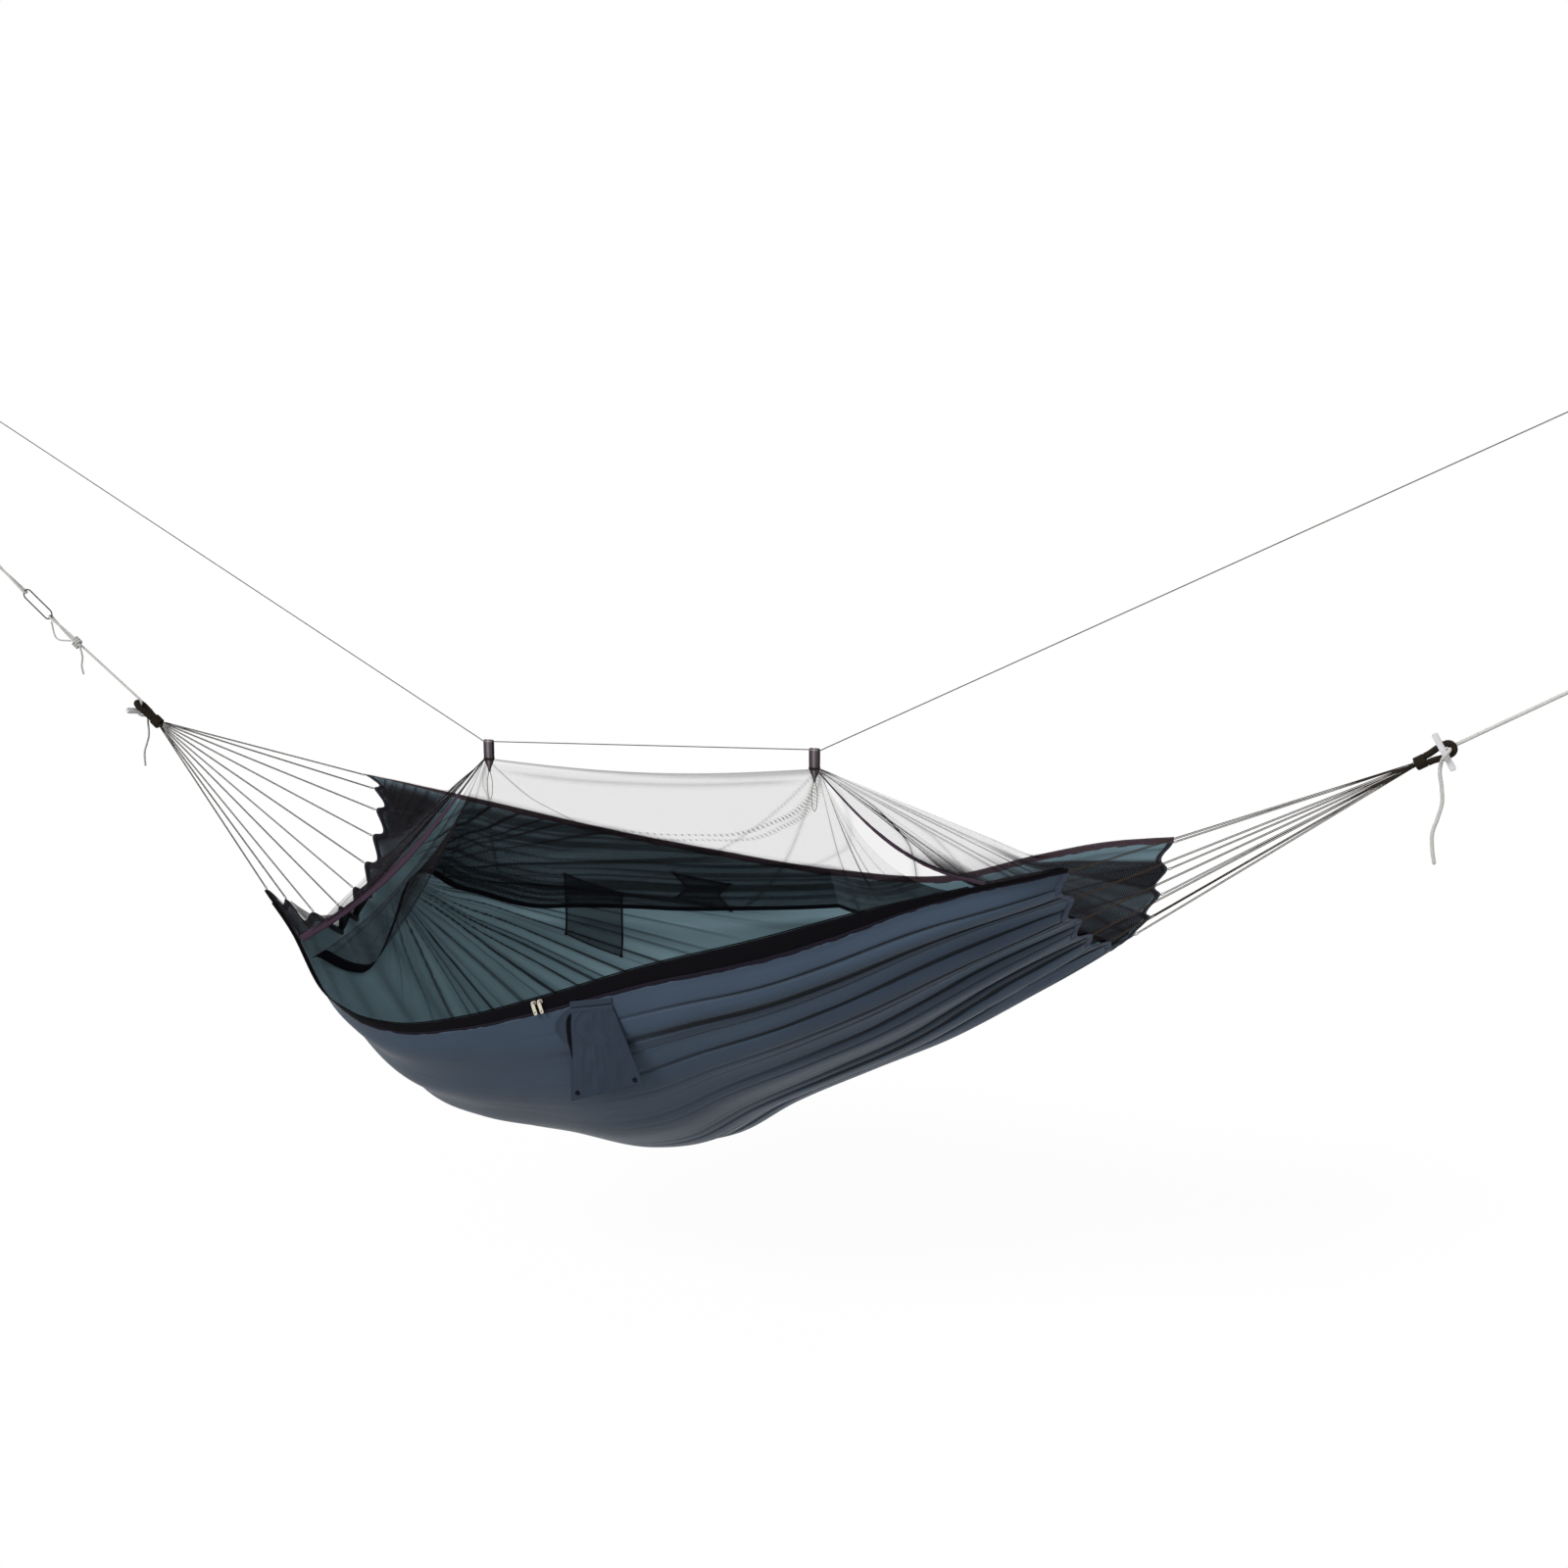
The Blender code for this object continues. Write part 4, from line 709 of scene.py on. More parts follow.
@dataclass(frozen=True)
class Plaster(Finish):
    """Matt painted floor, seen partly as plain white so that it runs on into the background."""

    white_share: float = 0.88
    white_strength: float = 1.085

    def wire(self, on: Pattern) -> None:
        """Faint clouds of the second colour, with a share of even white for what sees the floor directly."""
        place = on.add("TexCoord", out="Object")
        self.paint(on, on.add("TexNoise", {"Vector": place, "Scale": 0.8, "Detail": 4.0}))
        rays = on.add("LightPath").node.outputs
        seen = on.add("Math", (rays["Is Camera Ray"], rays["Is Glossy Ray"]), operation="MAXIMUM")
        white = on.add("Emission", {"Color": linear("#ffffff"), "Strength": self.white_strength})
        both = on.add("MixShader", (on.weigh((seen, self.white_share)), on.shader.outputs[0], white))
        on.tree.links.new(both, on.tree.nodes["Material Output"].inputs["Surface"])


# Cycles of the cosines that make up the creases, per radian at the head and per share of the cloth at the
# foot, where each starts, and the part of their sum's range that is a groove
FAN_NUMBERS = ((8.0, 14.3, 23.1, 37.7), (11.0, 19.3, 31.1, 50.3))
FAN_TURNS = (0.7, 2.1, 4.4, 5.6)
GROOVE_CUT = (0.9, 2.3)

OUTER_CLOTH = WovenNylon("outer_nylon", "#455466", "#303a48", 0.46, sheen=0.05, gloss=0.12)
INNER_CLOTH = WovenNylon("inner_nylon", "#76909a", "#586e77", 0.55, sheen=0.05, gloss=0.08)
POUCH_CLOTH = WovenNylon("pouch_nylon", "#35414f", "#202834", 0.50, sheen=0.05, gloss=0.10, crease=5.0 * MM)
HEM_CLOTH = WovenNylon("hem_nylon", "#4b5468", "#363e4d", 0.50, gloss=0.10,
                       seam=Seam(12 * MM, colour="#272c38"))
# The hem's inner side is coloured near black as painted shade where its fold shades it
HEM_SHADED_LINING = Ribbed("hem_lining_painted_shade", "#1d2126", "#2b3036", 0.72, rib=1.6 * MM, seam=Seam(12 * MM))
RIM_TAPE = Ribbed("rim_tape", "#372b30", "#4b3d43", 0.70, rib=1.6 * MM, seam=Seam(14 * MM))
SEAM_TAPE = Ribbed("seam_tape", "#3b2d38", "#504050", 0.68, rib=1.4 * MM)
ZIP_TAPE = Ribbed("woven_zip_tape", "#0a090c", "#121015", 0.70, rib=1.3 * MM)
ZIP_FACING = Ribbed("woven_zip_facing", "#1a1820", "#28242f", 0.66, rib=1.3 * MM)
ZIP_COIL = Ribbed("zip_coil", "#060607", "#0e0e10", 0.46, rib=2.0 * MM)
DOOR_TAPE = Ribbed("door_zip_tape", "#121015", "#1d1a21", 0.70, rib=1.3 * MM)
NET = MosquitoNet("mosquito_net", "#332f33", "#423c42", 0.8)
POCKET_NET = MosquitoNet("pocket_net", "#16161a", "#232327", 0.8, cover=0.24)
POCKET_TRIM = Ribbed("pocket_trim", "#0d0d10", "#18171b", 0.70, rib=1.3 * MM)
# The tab webbing has a painted highlight down its middle
WEBBING = Ribbed("tab_webbing", "#261b22", "#3a2c34", 0.34, rib=2.0 * MM, painted_highlight_colour="#8b8088", gloss=0.5,
                 seam=Seam(21 * MM, 3.4 * MM, colour="#171014"))
WHITE_ROPE = Braid("white_braid", "#e4e3e0", "#a8a6a2", 0.75, strands=6, pitch=7.0 * MM, depth=0.5 * MM)
DARK_CORD = Braid("dark_braid", "#463e38", "#29241f", 0.78, strands=3, pitch=2.4 * MM, depth=0.2 * MM)
LINK_CORD = Braid("link_braid", "#4d453f", "#2a2521", 0.78, strands=4, pitch=4.0 * MM, depth=0.3 * MM)
RIDGE_CORD = Braid("ridge_braid", "#7d7a76", "#4c4946", 0.65, strands=3, pitch=3.0 * MM, depth=0.25 * MM)
BEIGE_CORD = Braid("beige_braid", "#b3a888", "#7d735a", 0.78, strands=3, pitch=2.4 * MM, depth=0.2 * MM)
WHIPPING = Braid("waxed_whipping", "#2f2822", "#19150f", 0.55, strands=1, pitch=3.0 * MM, depth=0.15 * MM)
TOGGLE = Moulded("toggle_plastic", "#cfcdd0", "#b3b1b5", 0.36, gloss=0.5)
PULL = Moulded("pull_plastic", "#e2dccb", "#c9c2ae", 0.34, gloss=0.5)
SLIDER = Moulded("slider_metal", "#c9bab8", "#a3928f", 0.30, metallic=0.9, gloss=0.5)
FLOOR = Plaster("floor_paint", "#b6b6b4", "#aeaeac", 0.9)


# The shape that everything follows

@dataclass(frozen=True)
class Hang:
    """Where the tent hangs: its ties, its eyes and its tabs."""

    span: float = 2.776
    foot_eye_rise: float = 0.067
    head_rope_length: float = 0.5635
    head_rope_slope: float = math.radians(39.6)
    foot_rope_length: float = 0.320
    foot_rope_slope: float = math.radians(30.0)
    ridge_head_rise: float = 0.309
    ridge_foot_rise: float = 0.483
    tree_loop_radius: float = 0.022
    ridge_loop_radius: float = 0.014
    cloth_middle: float = 1.3812
    datum_drop: float = 0.0026
    head_tab_at: Pair = (0.8682, -0.0396)
    foot_tab_at: Pair = (1.5812, -0.0146)

    @property
    def head_eye(self) -> Array:
        """Outer end of the head eye."""
        slope = self.head_rope_slope
        return self.head_rope_length * vec(math.cos(slope), 0, -math.sin(slope))

    @property
    def foot_eye(self) -> Array:
        """Outer end of the foot eye."""
        return self.head_eye + vec(self.span, 0, self.foot_eye_rise)

    @property
    def head_pull(self) -> Array:
        """Direction in which the head rope pulls."""
        return vec(-math.cos(self.head_rope_slope), 0, math.sin(self.head_rope_slope))

    @property
    def foot_pull(self) -> Array:
        """Direction in which the foot rope pulls."""
        return vec(math.cos(self.foot_rope_slope), 0, math.sin(self.foot_rope_slope))

    @property
    def foot_anchor(self) -> Array:
        """Middle of the loop at the foot tree."""
        return self.foot_eye + self.foot_rope_length * self.foot_pull

    @property
    def middle(self) -> Array:
        """Point above the middle of the bed, from which its shape is measured."""
        return self.head_eye + vec(self.cloth_middle, 0, -self.datum_drop)

    @property
    def head_tab(self) -> Array:
        """Point where the ridge line crosses the head tab."""
        return self.head_eye + vec(self.head_tab_at[0], 0, self.head_tab_at[1])

    @property
    def foot_tab(self) -> Array:
        """Point where the ridge line crosses the foot tab."""
        return self.head_eye + vec(self.foot_tab_at[0], 0, self.foot_tab_at[1])

    @property
    def tabs(self) -> tuple[Array, Array]:
        """Both of these points."""
        return self.head_tab, self.foot_tab


HANG = Hang()


@dataclass(frozen=True)
class BedShape:
    """Surface of the bed as lain in, by its run from head to foot and its lap from front rim to back rim."""

    hang: Hang = HANG
    depth: float = 0.845
    front_rim: Pair = (-0.881, 0.769)
    back_rim: Pair = (-0.993, 0.856)
    keel: Pair = (-0.835, 0.815)
    front_hem_out: float = 0.285
    back_hem_out: float = 0.298
    rim_bow: float = 0.100
    gathers: int = 9
    scallop: float = 0.018
    fold_height: float = 0.017
    hem_width: float = 0.012
    hem_gap: float = 0.0009
    binding_width: float = 0.014
    zip_band: float = 0.038
    gap: float = 0.0003
    front_drop_shares: Shares = (
        (0.0, 0.378), (0.05, 0.470), (0.09, 0.583), (0.138, 0.630), (0.20, 0.640), (0.30, 0.600),
        (0.40, 0.533), (0.54, 0.430), (0.66, 0.356), (0.80, 0.265), (0.91, 0.206), (1.0, 0.166))
    back_drop_shares: Shares = (
        (0.0, 0.225), (0.15, 0.290), (0.30, 0.347), (0.45, 0.385), (0.60, 0.410), (0.74, 0.396),
        (0.84, 0.323), (0.92, 0.270), (1.0, 0.234))
    keel_drop_shares: Shares = (
        (0.0, 0.475), (0.06, 0.655), (0.12, 0.803), (0.18, 0.908), (0.26, 0.959), (0.36, 0.977),
        (0.46, 0.996), (0.53, 0.962), (0.60, 0.870), (0.70, 0.762), (0.80, 0.658), (0.90, 0.525),
        (1.0, 0.405))
    keel_out_shares: Shares = ((0.0, -0.40), (0.30, -0.10), (0.60, 0.02), (1.0, 0.03))
    keel_lap_shares: Shares = ((0.0, -0.45), (0.25, -0.10), (0.50, 0.0), (1.0, 0.0))
    fullness_shares: Shares = ((0.0, 0.0), (0.15, 0.60), (0.50, 1.0), (0.85, 0.70), (1.0, 0.20))
    head_fold_shares: Shares = ((0.0, 0.25), (0.08, 1.0), (0.20, 0.75), (0.36, 0.25), (0.50, 0.0), (1.0, 0.0))
    foot_fold_shares: Shares = ((0.0, 0.0), (0.36, 0.0), (0.55, 0.35), (0.78, 0.80), (0.93, 1.0), (1.0, 0.25))
    band_shares: Shares = ((0.0, 0.30), (0.10, 0.40), (0.30, 0.68), (0.50, 0.98), (0.76, 1.02), (0.85, 0.52),
                           (1.0, 0.26))
    slope_step: float = 0.004

    @property
    def run_length(self) -> float:
        """Length of the keel line from hem to hem."""
        return self.keel[1] - self.keel[0]

    def rim_out(self, run: Array, hem_out: float) -> Array:
        """Distance of a rim from the middle plane: hem_out + bow (1 - |2 run - 1|^3)."""
        return hem_out + self.rim_bow * (1 - np.abs(2 * run - 1) ** 3)

    def skin(self, run: Numbers, lap: Numbers) -> Array:
        """Point of the bed.

        Across each side the section goes from the keel to the rim between a straight line and a quarter of an
        ellipse, by its fullness at that run. Along the bed a point moves from the keel's x to the rim's.

        Args:
            run: 0 at the head to 1 at the foot.
            lap: -1 at the front rim to 1 at the back rim.

        Returns:
            Points, with the shape of the arguments and 3.
        """
        run, lap = np.broadcast_arrays(np.asarray(run, float), np.asarray(lap, float))
        keel_lap = profile(self.keel_lap_shares, run)
        front = lap < keel_lap
        t = np.where(front, (keel_lap - lap) / (1 + keel_lap), (lap - keel_lap) / (1 - keel_lap))
        rim_x = np.where(front, mix(self.front_rim[0], self.front_rim[1], run),
                         mix(self.back_rim[0], self.back_rim[1], run))
        rim_y = np.where(front, -self.rim_out(run, self.front_hem_out), self.rim_out(run, self.back_hem_out))
        rim_z = -self.depth * np.where(front, profile(self.front_drop_shares, run),
                                       profile(self.back_drop_shares, run))
        keel_x = self.keel[0] + self.run_length * run
        keel_y = self.back_hem_out * profile(self.keel_out_shares, run)
        keel_z = -self.depth * profile(self.keel_drop_shares, run)
        full = profile(self.fullness_shares, run)
        slack_up = (1 - run) * t * t * (3 - 2 * t) + run * t ** 1.5
        out = full * np.sin(t * pi / 2) + (1 - full) * t
        up = full * (1 - np.cos(t * pi / 2)) + (1 - full) * slack_up
        late = np.where(front, 0.0, 1 - run)
        middle = self.hang.middle
        x = middle[0] + keel_x + (rim_x - keel_x) * (late * t ** 3 + (1 - late) * (1 - (1 - t) ** 4))
        return np.stack([x, keel_y + (rim_y - keel_y) * out, middle[2] + keel_z + (rim_z - keel_z) * up], -1)

    def along_lap(self, run: Array, lap: Array) -> Array:
        """Change of the skin per unit of lap, one-sided at the rims."""
        low = np.clip(lap - self.slope_step, -1, 1)
        high = np.clip(lap + self.slope_step, -1, 1)
        return (self.skin(run, high) - self.skin(run, low)) / (high - low)[..., None]

    def along_run(self, run: Array, lap: Array) -> Array:
        """Change of the skin per unit of run, one-sided at the hems."""
        low = np.clip(run - self.slope_step, 0, 1)
        high = np.clip(run + self.slope_step, 0, 1)
        return (self.skin(high, lap) - self.skin(low, lap)) / (high - low)[..., None]

    def inward(self, run: Array, lap: Array) -> Array:
        """Unit normal of the bed, pointing to the side that is lain in."""
        run, lap = np.broadcast_arrays(np.asarray(run, float), np.asarray(lap, float))
        return unit(np.cross(self.along_run(run, lap), self.along_lap(run, lap)))

    def edge_lap(self, run: Array, side: int, distance: Numbers) -> Array:
        """Lap at a real distance in from a rim: side -1 is the front rim, 1 the back rim."""
        run = np.asarray(run, float)
        pace = np.linalg.norm(self.along_lap(run, np.full_like(run, side)), axis=-1)
        return side * (1 - distance / pace)

    def band_width(self, run: Array) -> Array:
        """Width of the black zip band."""
        return self.zip_band * profile(self.band_shares, run)

    def cloth_lap(self, run: Array, share: Array) -> Array:
        """Lap at a share of the cloth between the zip band and the back binding."""
        front = self.edge_lap(run, -1, self.band_width(run) + self.gap)
        back = self.edge_lap(run, 1, self.binding_width + self.gap)
        return front + (back - front) * share

    def fold(self, run: Array, share: Array) -> Array:
        """How far the gathers billow out between two cusps, as sin^2 across, fading towards mid length."""
        head = profile(self.head_fold_shares, run) * (0.5 + 0.5 * share)
        foot = profile(self.foot_fold_shares, run) * (1 - 0.4 * share)
        return self.fold_height * (head + foot) * np.sin(pi * self.gathers * share) ** 2

    def cloth_at(self, run: Numbers, share: Numbers, lift: Numbers = 0.0) -> Array:
        """Point on the gathered cloth, lifted to the inner side."""
        run, share = np.broadcast_arrays(np.asarray(run, float), np.asarray(share, float))
        lap = self.cloth_lap(run, share)
        return self.skin(run, lap) + self.inward(run, lap) * (lift - self.fold(run, share))[..., None]

    def hem_run(self, end: int, distance: Numbers, share: Numbers) -> Array:
        """Run at a real distance in from the line of cusps at the head (0) or the foot (1)."""
        valley = np.sin(pi * self.gathers * np.asarray(share, float)) ** 2
        return end + (1 - 2 * end) * (distance + self.scallop * valley) / self.run_length

    def bed_point(self, run: Numbers, lap: Numbers, lift: Numbers) -> Array:
        """Point over the smooth bed, lifted to the inner side."""
        return self.skin(run, lap) + self.inward(run, lap) * np.asarray(lift, float)[..., None]


SHAPE = BedShape()


def drift(u: Array, v: Array, seed: int, pace: float) -> Array:
    """Smooth seeded noise from about -1 to 1: a sum of cosines that run in random directions.

    Args:
        u: first coordinate.
        v: second coordinate.
        seed: which noise.
        pace: turns of the slowest waves per unit, in radians.

    Returns:
        The noise at each place.
    """
    rng = np.random.default_rng(seed)
    total = np.zeros(np.broadcast(u, v).shape)
    for octave in range(DRIFT_SETS):
        for angle, phase, share in rng.uniform(0, 1, (3, 3)):
            step = pace * 1.7 ** octave * (0.8 + 0.45 * share)
            way = 2 * pi * angle
            reach = step * (u * math.cos(way) + v * math.sin(way))
            total = total + 0.6 ** octave * np.cos(reach + 6.283 * phase)
    return total / (1.9 * sum(0.6 ** octave for octave in range(DRIFT_SETS)))


def crest(turn: Array) -> Array:
    """Narrow ridge with a broad valley once in each half turn, of mean nought: 2/pi - |sin|, softened."""
    return 2 / pi - np.sqrt(np.sin(turn) ** 2 + 0.012)


def grooves(phase: Array, numbers: tuple[float, ...]) -> Array:
    """Narrow uneven grooves: where a sum of cosines of the phase peaks, 1, and elsewhere 0."""
    total = sum(np.cos(2 * pi * number * phase + turn) for number, turn in zip(numbers, FAN_TURNS))
    return ease(*GROOVE_CUT, total)


def tag(piece: Piece, name: str, values: list[Array]) -> None:
    """Store up to three numbers on each of a piece's points, for its finish to read."""
    layer = piece.data.attributes.new(name, "FLOAT_VECTOR", "POINT")
    table = np.zeros((len(piece.data.vertices), 3), np.float32)
    for k, value in enumerate(values):
        table[:, k] = value.ravel()
    layer.data.foreach_set("vector", table.ravel())


@dataclass
class Bed:
    """The bed: its cloth, hems, back binding, zip band with its coil, and the pockets on its far wall."""

    shape: BedShape = SHAPE
    cloth: float = 0.8 * MM
    tape: float = 1.6 * MM
    hem_thickness: float = 2.4 * MM
    tuck: float = 2.0 * MM
    coil_diameter: float = 3.2 * MM
    coil_pitch: float = 2.0 * MM
    coil_runs: Pair = (0.015, 0.90)
    rows: int = 150
    columns: int = 310
    crease: float = 5.0 * MM
    ripple: float = 2.5 * MM
    flat_size: Pair = (1.65, 1.25)
    fan_apex: Pair = (-0.1897, -0.0395)
    fan_reach: tuple[float, float, float, float] = (0.010, 0.035, 0.125, 0.200)
    load_reach: Pair = (0.34, 0.78)
    fan_sides: tuple[Pair, ...] = ((0.0, 1.1), (1.7, 1.3))
    fan_seeds: tuple[int, int] = (11, 24)
    pocket_seat: float = 1.4 * MM
    pocket_lift: float = 5.0 * MM
    pocket_ripple: float = 1.2 * MM
    pocket_thread: float = 0.8 * MM
    pocket_trim: float = 4.0 * MM
    pocket_hems: float = 1.05
    tack_size: Trio = (4.4 * MM, 6.5 * MM, 6.0 * MM)
    mesh_pocket: tuple[float, float, float, float] = (0.236, 0.312, 0.815, 0.912)
    small_pocket: tuple[float, float, float, float] = (0.385, 0.460, 0.925, 0.962)

    def fans(self, run: Array, share: Array) -> tuple[list[Array], list[Array]]:
        """Phase and strength of the two sets of creases that the load draws in the cloth.

        At the head they are lines that look straight from the photograph's viewpoint and fan out from one
        point near the hem: the phase is the angle about that point. At the foot they run on from the gathers,
        so the phase is the share of the cloth. Slow noise bends them and lets them come and go. They are
        strongest on the near wall at the foot and the far wall at the head, and die out towards mid length.

        Args:
            run: 0 at the head to 1 at the foot.
            share: 0 at the zip band to 1 at the back binding.

        Returns:
            The phases and the strengths, each for the head and the foot.
        """
        run, share = np.broadcast_arrays(run, share)
        ray = self.shape.skin(run, self.shape.cloth_lap(run, share)) - STAND
        ahead = unit(AIM - STAND)
        right = unit(np.cross(ahead, vec(0, 0, 1)))
        far = ray @ ahead
        x = ray @ right / far - self.fan_apex[0]
        y = self.fan_apex[1] - ray @ np.cross(right, ahead) / far
        away = np.hypot(x, y)
        near, full, start, stop = self.fan_reach
        phases = [np.arctan2(y, x) + 0.010 * self.drifting(run, share, self.fan_seeds[0], 5.0),
                  share + 0.006 * self.drifting(run, share, self.fan_seeds[1], 5.0)]
        fades = [ease(near, full, away) * (1 - ease(start, stop, away)),
                 ease(*self.load_reach, run)]
        strengths = []
        for phase, fade, sides, seed in zip(phases, fades, self.fan_sides, self.fan_seeds):
            here = np.clip(0.72 + 0.75 * drift(phase * 5.0, run * 0.7, seed + 1, 4.0), 0, 1)
            strengths.append(here * fade * mix(sides[0], sides[1], ease(0.35, 0.62, share)))
        return phases, strengths

    def tension(self, run: Array, share: Array) -> Array:
        """Height of the creases, of size 1: broad slow folds with narrow grooves, level at the seams.

        Args:
            run: 0 at the head to 1 at the foot.
            share: 0 at the zip band to 1 at the back binding.

        Returns:
            The height, where 1 is a whole crease towards the inner side.
        """
        total = np.zeros(np.broadcast(run, share).shape)
        for phase, strength, numbers in zip(*self.fans(run, share), FAN_NUMBERS):
            pull = np.minimum(strength, 1)
            total = total + pull * (crest(pi * numbers[0] * 0.6 * phase) + 0.9 * grooves(phase, numbers))
        edge = ease(0, 0.04, run) * ease(0, 0.04, 1 - run)
        return total * edge * ease(0, 0.04, share) * ease(0, 0.04, 1 - share)

    def point(self, run: Array, share: Array, lift: Numbers = 0.0) -> Array:
        """Point on the cloth with all its folds, lifted to the inner side."""
        slow = self.ripple * self.drifting(run, share, 5, 6.0) * ease(0, 0.1, np.minimum(run, 1 - run))
        slow = slow * ease(0, 0.08, np.minimum(share, 1 - share))
        return self.shape.cloth_at(run, share, lift + self.crease * self.tension(run, share) + slow)

    def drifting(self, run: Array, share: Array, seed: int, pace: float) -> Array:
        """Smooth noise in real lengths of the cloth."""
        return drift(run * self.flat_size[0], share * self.flat_size[1], seed, pace)

    def make_cloth(self) -> Piece:
        """Main cloth from hem to hem, tucked under the hems and bands that hold it."""
        share = even(self.columns)[None, :]
        reach = self.shape.hem_width - self.tuck
        head, foot = self.shape.hem_run(0, reach, share), self.shape.hem_run(1, reach, share)
        run = mix(head, foot, even(self.rows)[:, None])
        share = share + 0 * run
        uv = np.stack([run * self.flat_size[0], share * self.flat_size[1]], -1)
        cloth = surface("bed_cloth_woven", self.point(run, share), uv)
        # The crease fans, which the finish reads to paint shade into the creases
        for name, values in zip(("folds", "pull"), self.fans(run, share)):
            tag(cloth, name, values)
        thicken(cloth, self.cloth, second_side=1)
        return dress(cloth, (INNER_CLOTH, OUTER_CLOTH), Body.BED, "bed_cloth", "bed_cloth")

    def make_hem(self, end: int) -> Piece:
        """Folded channel along one hem: a flat band that dips and billows with the gathers."""
        name = ("head_hem", "foot_hem")[end]
        share = np.linspace(0.0014, 0.9986, 460)[:, None]
        across = even(11)[None, :]
        run = self.shape.hem_run(end, self.shape.hem_width * across, share)
        pucker = 0.7 * MM * np.sin(2 * pi * 45 * share) * np.sin(pi * across)
        points = self.shape.cloth_at(run, share, pucker)
        normals = self.shape.inward(run, self.shape.cloth_lap(run, share + 0 * run))
        hem = band(name + "_channel", points, normals, self.hem_thickness, self.shape.hem_width)
        # Inner-side faces take the near-black lining of painted shade, outer-side faces the hem cloth
        outer = np.tile(np.arange(20) >= 10, len(points) - 1).astype(np.int32)
        hem.data.polygons.foreach_set("material_index", np.append(outer, [0, 0]))
        return dress(hem, (HEM_SHADED_LINING, HEM_CLOTH), Body.BED, "binding", name)

    def rim_band(self, name: str, side: int, start: Array, stop: Array, runs: Array, thickness: float,
                 pucker: float, width: float) -> Piece:
        """Strip along a rim between two real distances from its edge, with its small puckers.

        Args:
            name: the piece's name.
            side: -1 for the front rim, 1 for the back rim.
            start: distance from the rim to the strip's outer edge, at each run.
            stop: distance to its inner edge.
            runs: places along the rim.
            thickness: of the strip.
            pucker: height of the waves that the sewing draws in it.
            width: the width that its pattern runs over.

        Returns:
            The strip.
        """
        across = even(9)[None, :]
        run = runs[:, None] + 0 * across
        distance = start[:, None] + (stop - start)[:, None] * across
        lap = self.shape.edge_lap(run, side, distance)
        reach = runs * 1.7
        wave_height = pucker * drift(reach, 0 * reach, 31 + side, 90.0)[:, None] * (0.4 + 0.6 * across)
        points = self.shape.bed_point(run, lap, wave_height)
        return band(name, points, self.shape.inward(run, lap), thickness, width)

    def make_rims(self) -> list[Piece]:
        """Back binding, and the zip's black tape with the paler facing sewn below it."""
        runs = even(520)
        none = np.zeros_like(runs)
        inner = none + self.shape.binding_width + self.tuck
        back = self.rim_band("back_rim_binding_tape", 1, none, inner, runs, self.tape, 1.0 * MM, 14 * MM)
        dress(back, RIM_TAPE, Body.BED, "binding", "back_rim_binding")
        wide = self.shape.band_width(runs)
        tape = self.rim_band("front_zip_tape", -1, none, 0.86 * wide, runs, self.tape * 1.1, 0.6 * MM,
                             30 * MM)
        dress(tape, ZIP_TAPE, Body.BED, "zip_tape", "front_zip_band")
        facing = self.rim_band("front_zip_facing", -1, 0.82 * wide, wide + self.tuck, runs, self.tape * 0.9,
                               0.9 * MM, 8 * MM)
        dress(facing, ZIP_FACING, Body.BED, "zip_tape")
        runs = np.linspace(*self.coil_runs, 700)
        laps = np.full_like(runs, -1.0)
        clear = self.coil_diameter / 2 + self.shape.gap
        line = self.shape.skin(runs, laps) - unit(self.shape.along_lap(runs, laps)) * clear
        coil = tube("front_zip_coil_wound", route(line, self.coil_pitch / 4), self.coil_diameter / 2, 8,
                    ribs=(self.coil_pitch, 0.6 * MM))
        dress(coil, ZIP_COIL, Body.BED, "zip_tape", "front_zip_coil")
        return [back, tape, facing, coil]

    def make_pocket(self, name: str, place: tuple[float, float, float, float], pinch: float) -> None:
        """Pocket on the far wall: a net sheet that is sewn down at its edges and stands off in its middle.

        Args:
            name: the node it replaces.
            place: its first and last run, and its first and last share.
            pinch: how far its middle is drawn in along the run.
        """
        a, b = np.meshgrid(even(61), even(61), indexing="ij")
        centre = (place[0] + place[1]) / 2
        run = centre + (mix(place[0], place[1], a) - centre) * (1 - 0.45 * pinch * (1 - np.abs(2 * b - 1)))
        share = mix(place[2], place[3], b)
        bulge = (np.sin(pi * a) * np.sin(pi * np.minimum(b * 0.75, 0.5 + 0 * b))) ** 0.5
        folds = self.pocket_ripple * drift(a * (1 + 2 * pinch), b, 71, 8.0) * bulge
        points = self.point(run, share, mix(self.pocket_seat, self.pocket_lift, bulge) + folds)
        pocket = thicken(surface(name + "_net", points, grid_uv(points)), self.pocket_thread)
        dress(pocket, POCKET_NET, Body.BED, "net", name)
        rim = np.concatenate([points[0], points[1:-1, -1], points[-1, ::-1], points[-2:0:-1, 0]])
        trim = tube(name + "_trim", rim, self.pocket_trim / 2, 8, closed=True, squeeze=0.7)
        tacks = [lozenge("tack", points[i, j], (SIDE, UP, vec(1, 0, 0)), self.tack_size, 0.6, 1.0 * MM)
                 for i in (0, -1) for j in (0, -1)]
        trims = join(name + "_binding", [trim] + tacks)
        dress(trims, POCKET_TRIM, Body.BED, "binding")

    def make(self) -> None:
        """Make every piece of the bed."""
        cloth = self.make_cloth()
        hems = [self.make_hem(0), self.make_hem(1)]
        rims = self.make_rims()
        self.make_pocket("mesh_pocket", self.mesh_pocket, 0.0)
        self.make_pocket("small_pocket", self.small_pocket, 1.0)


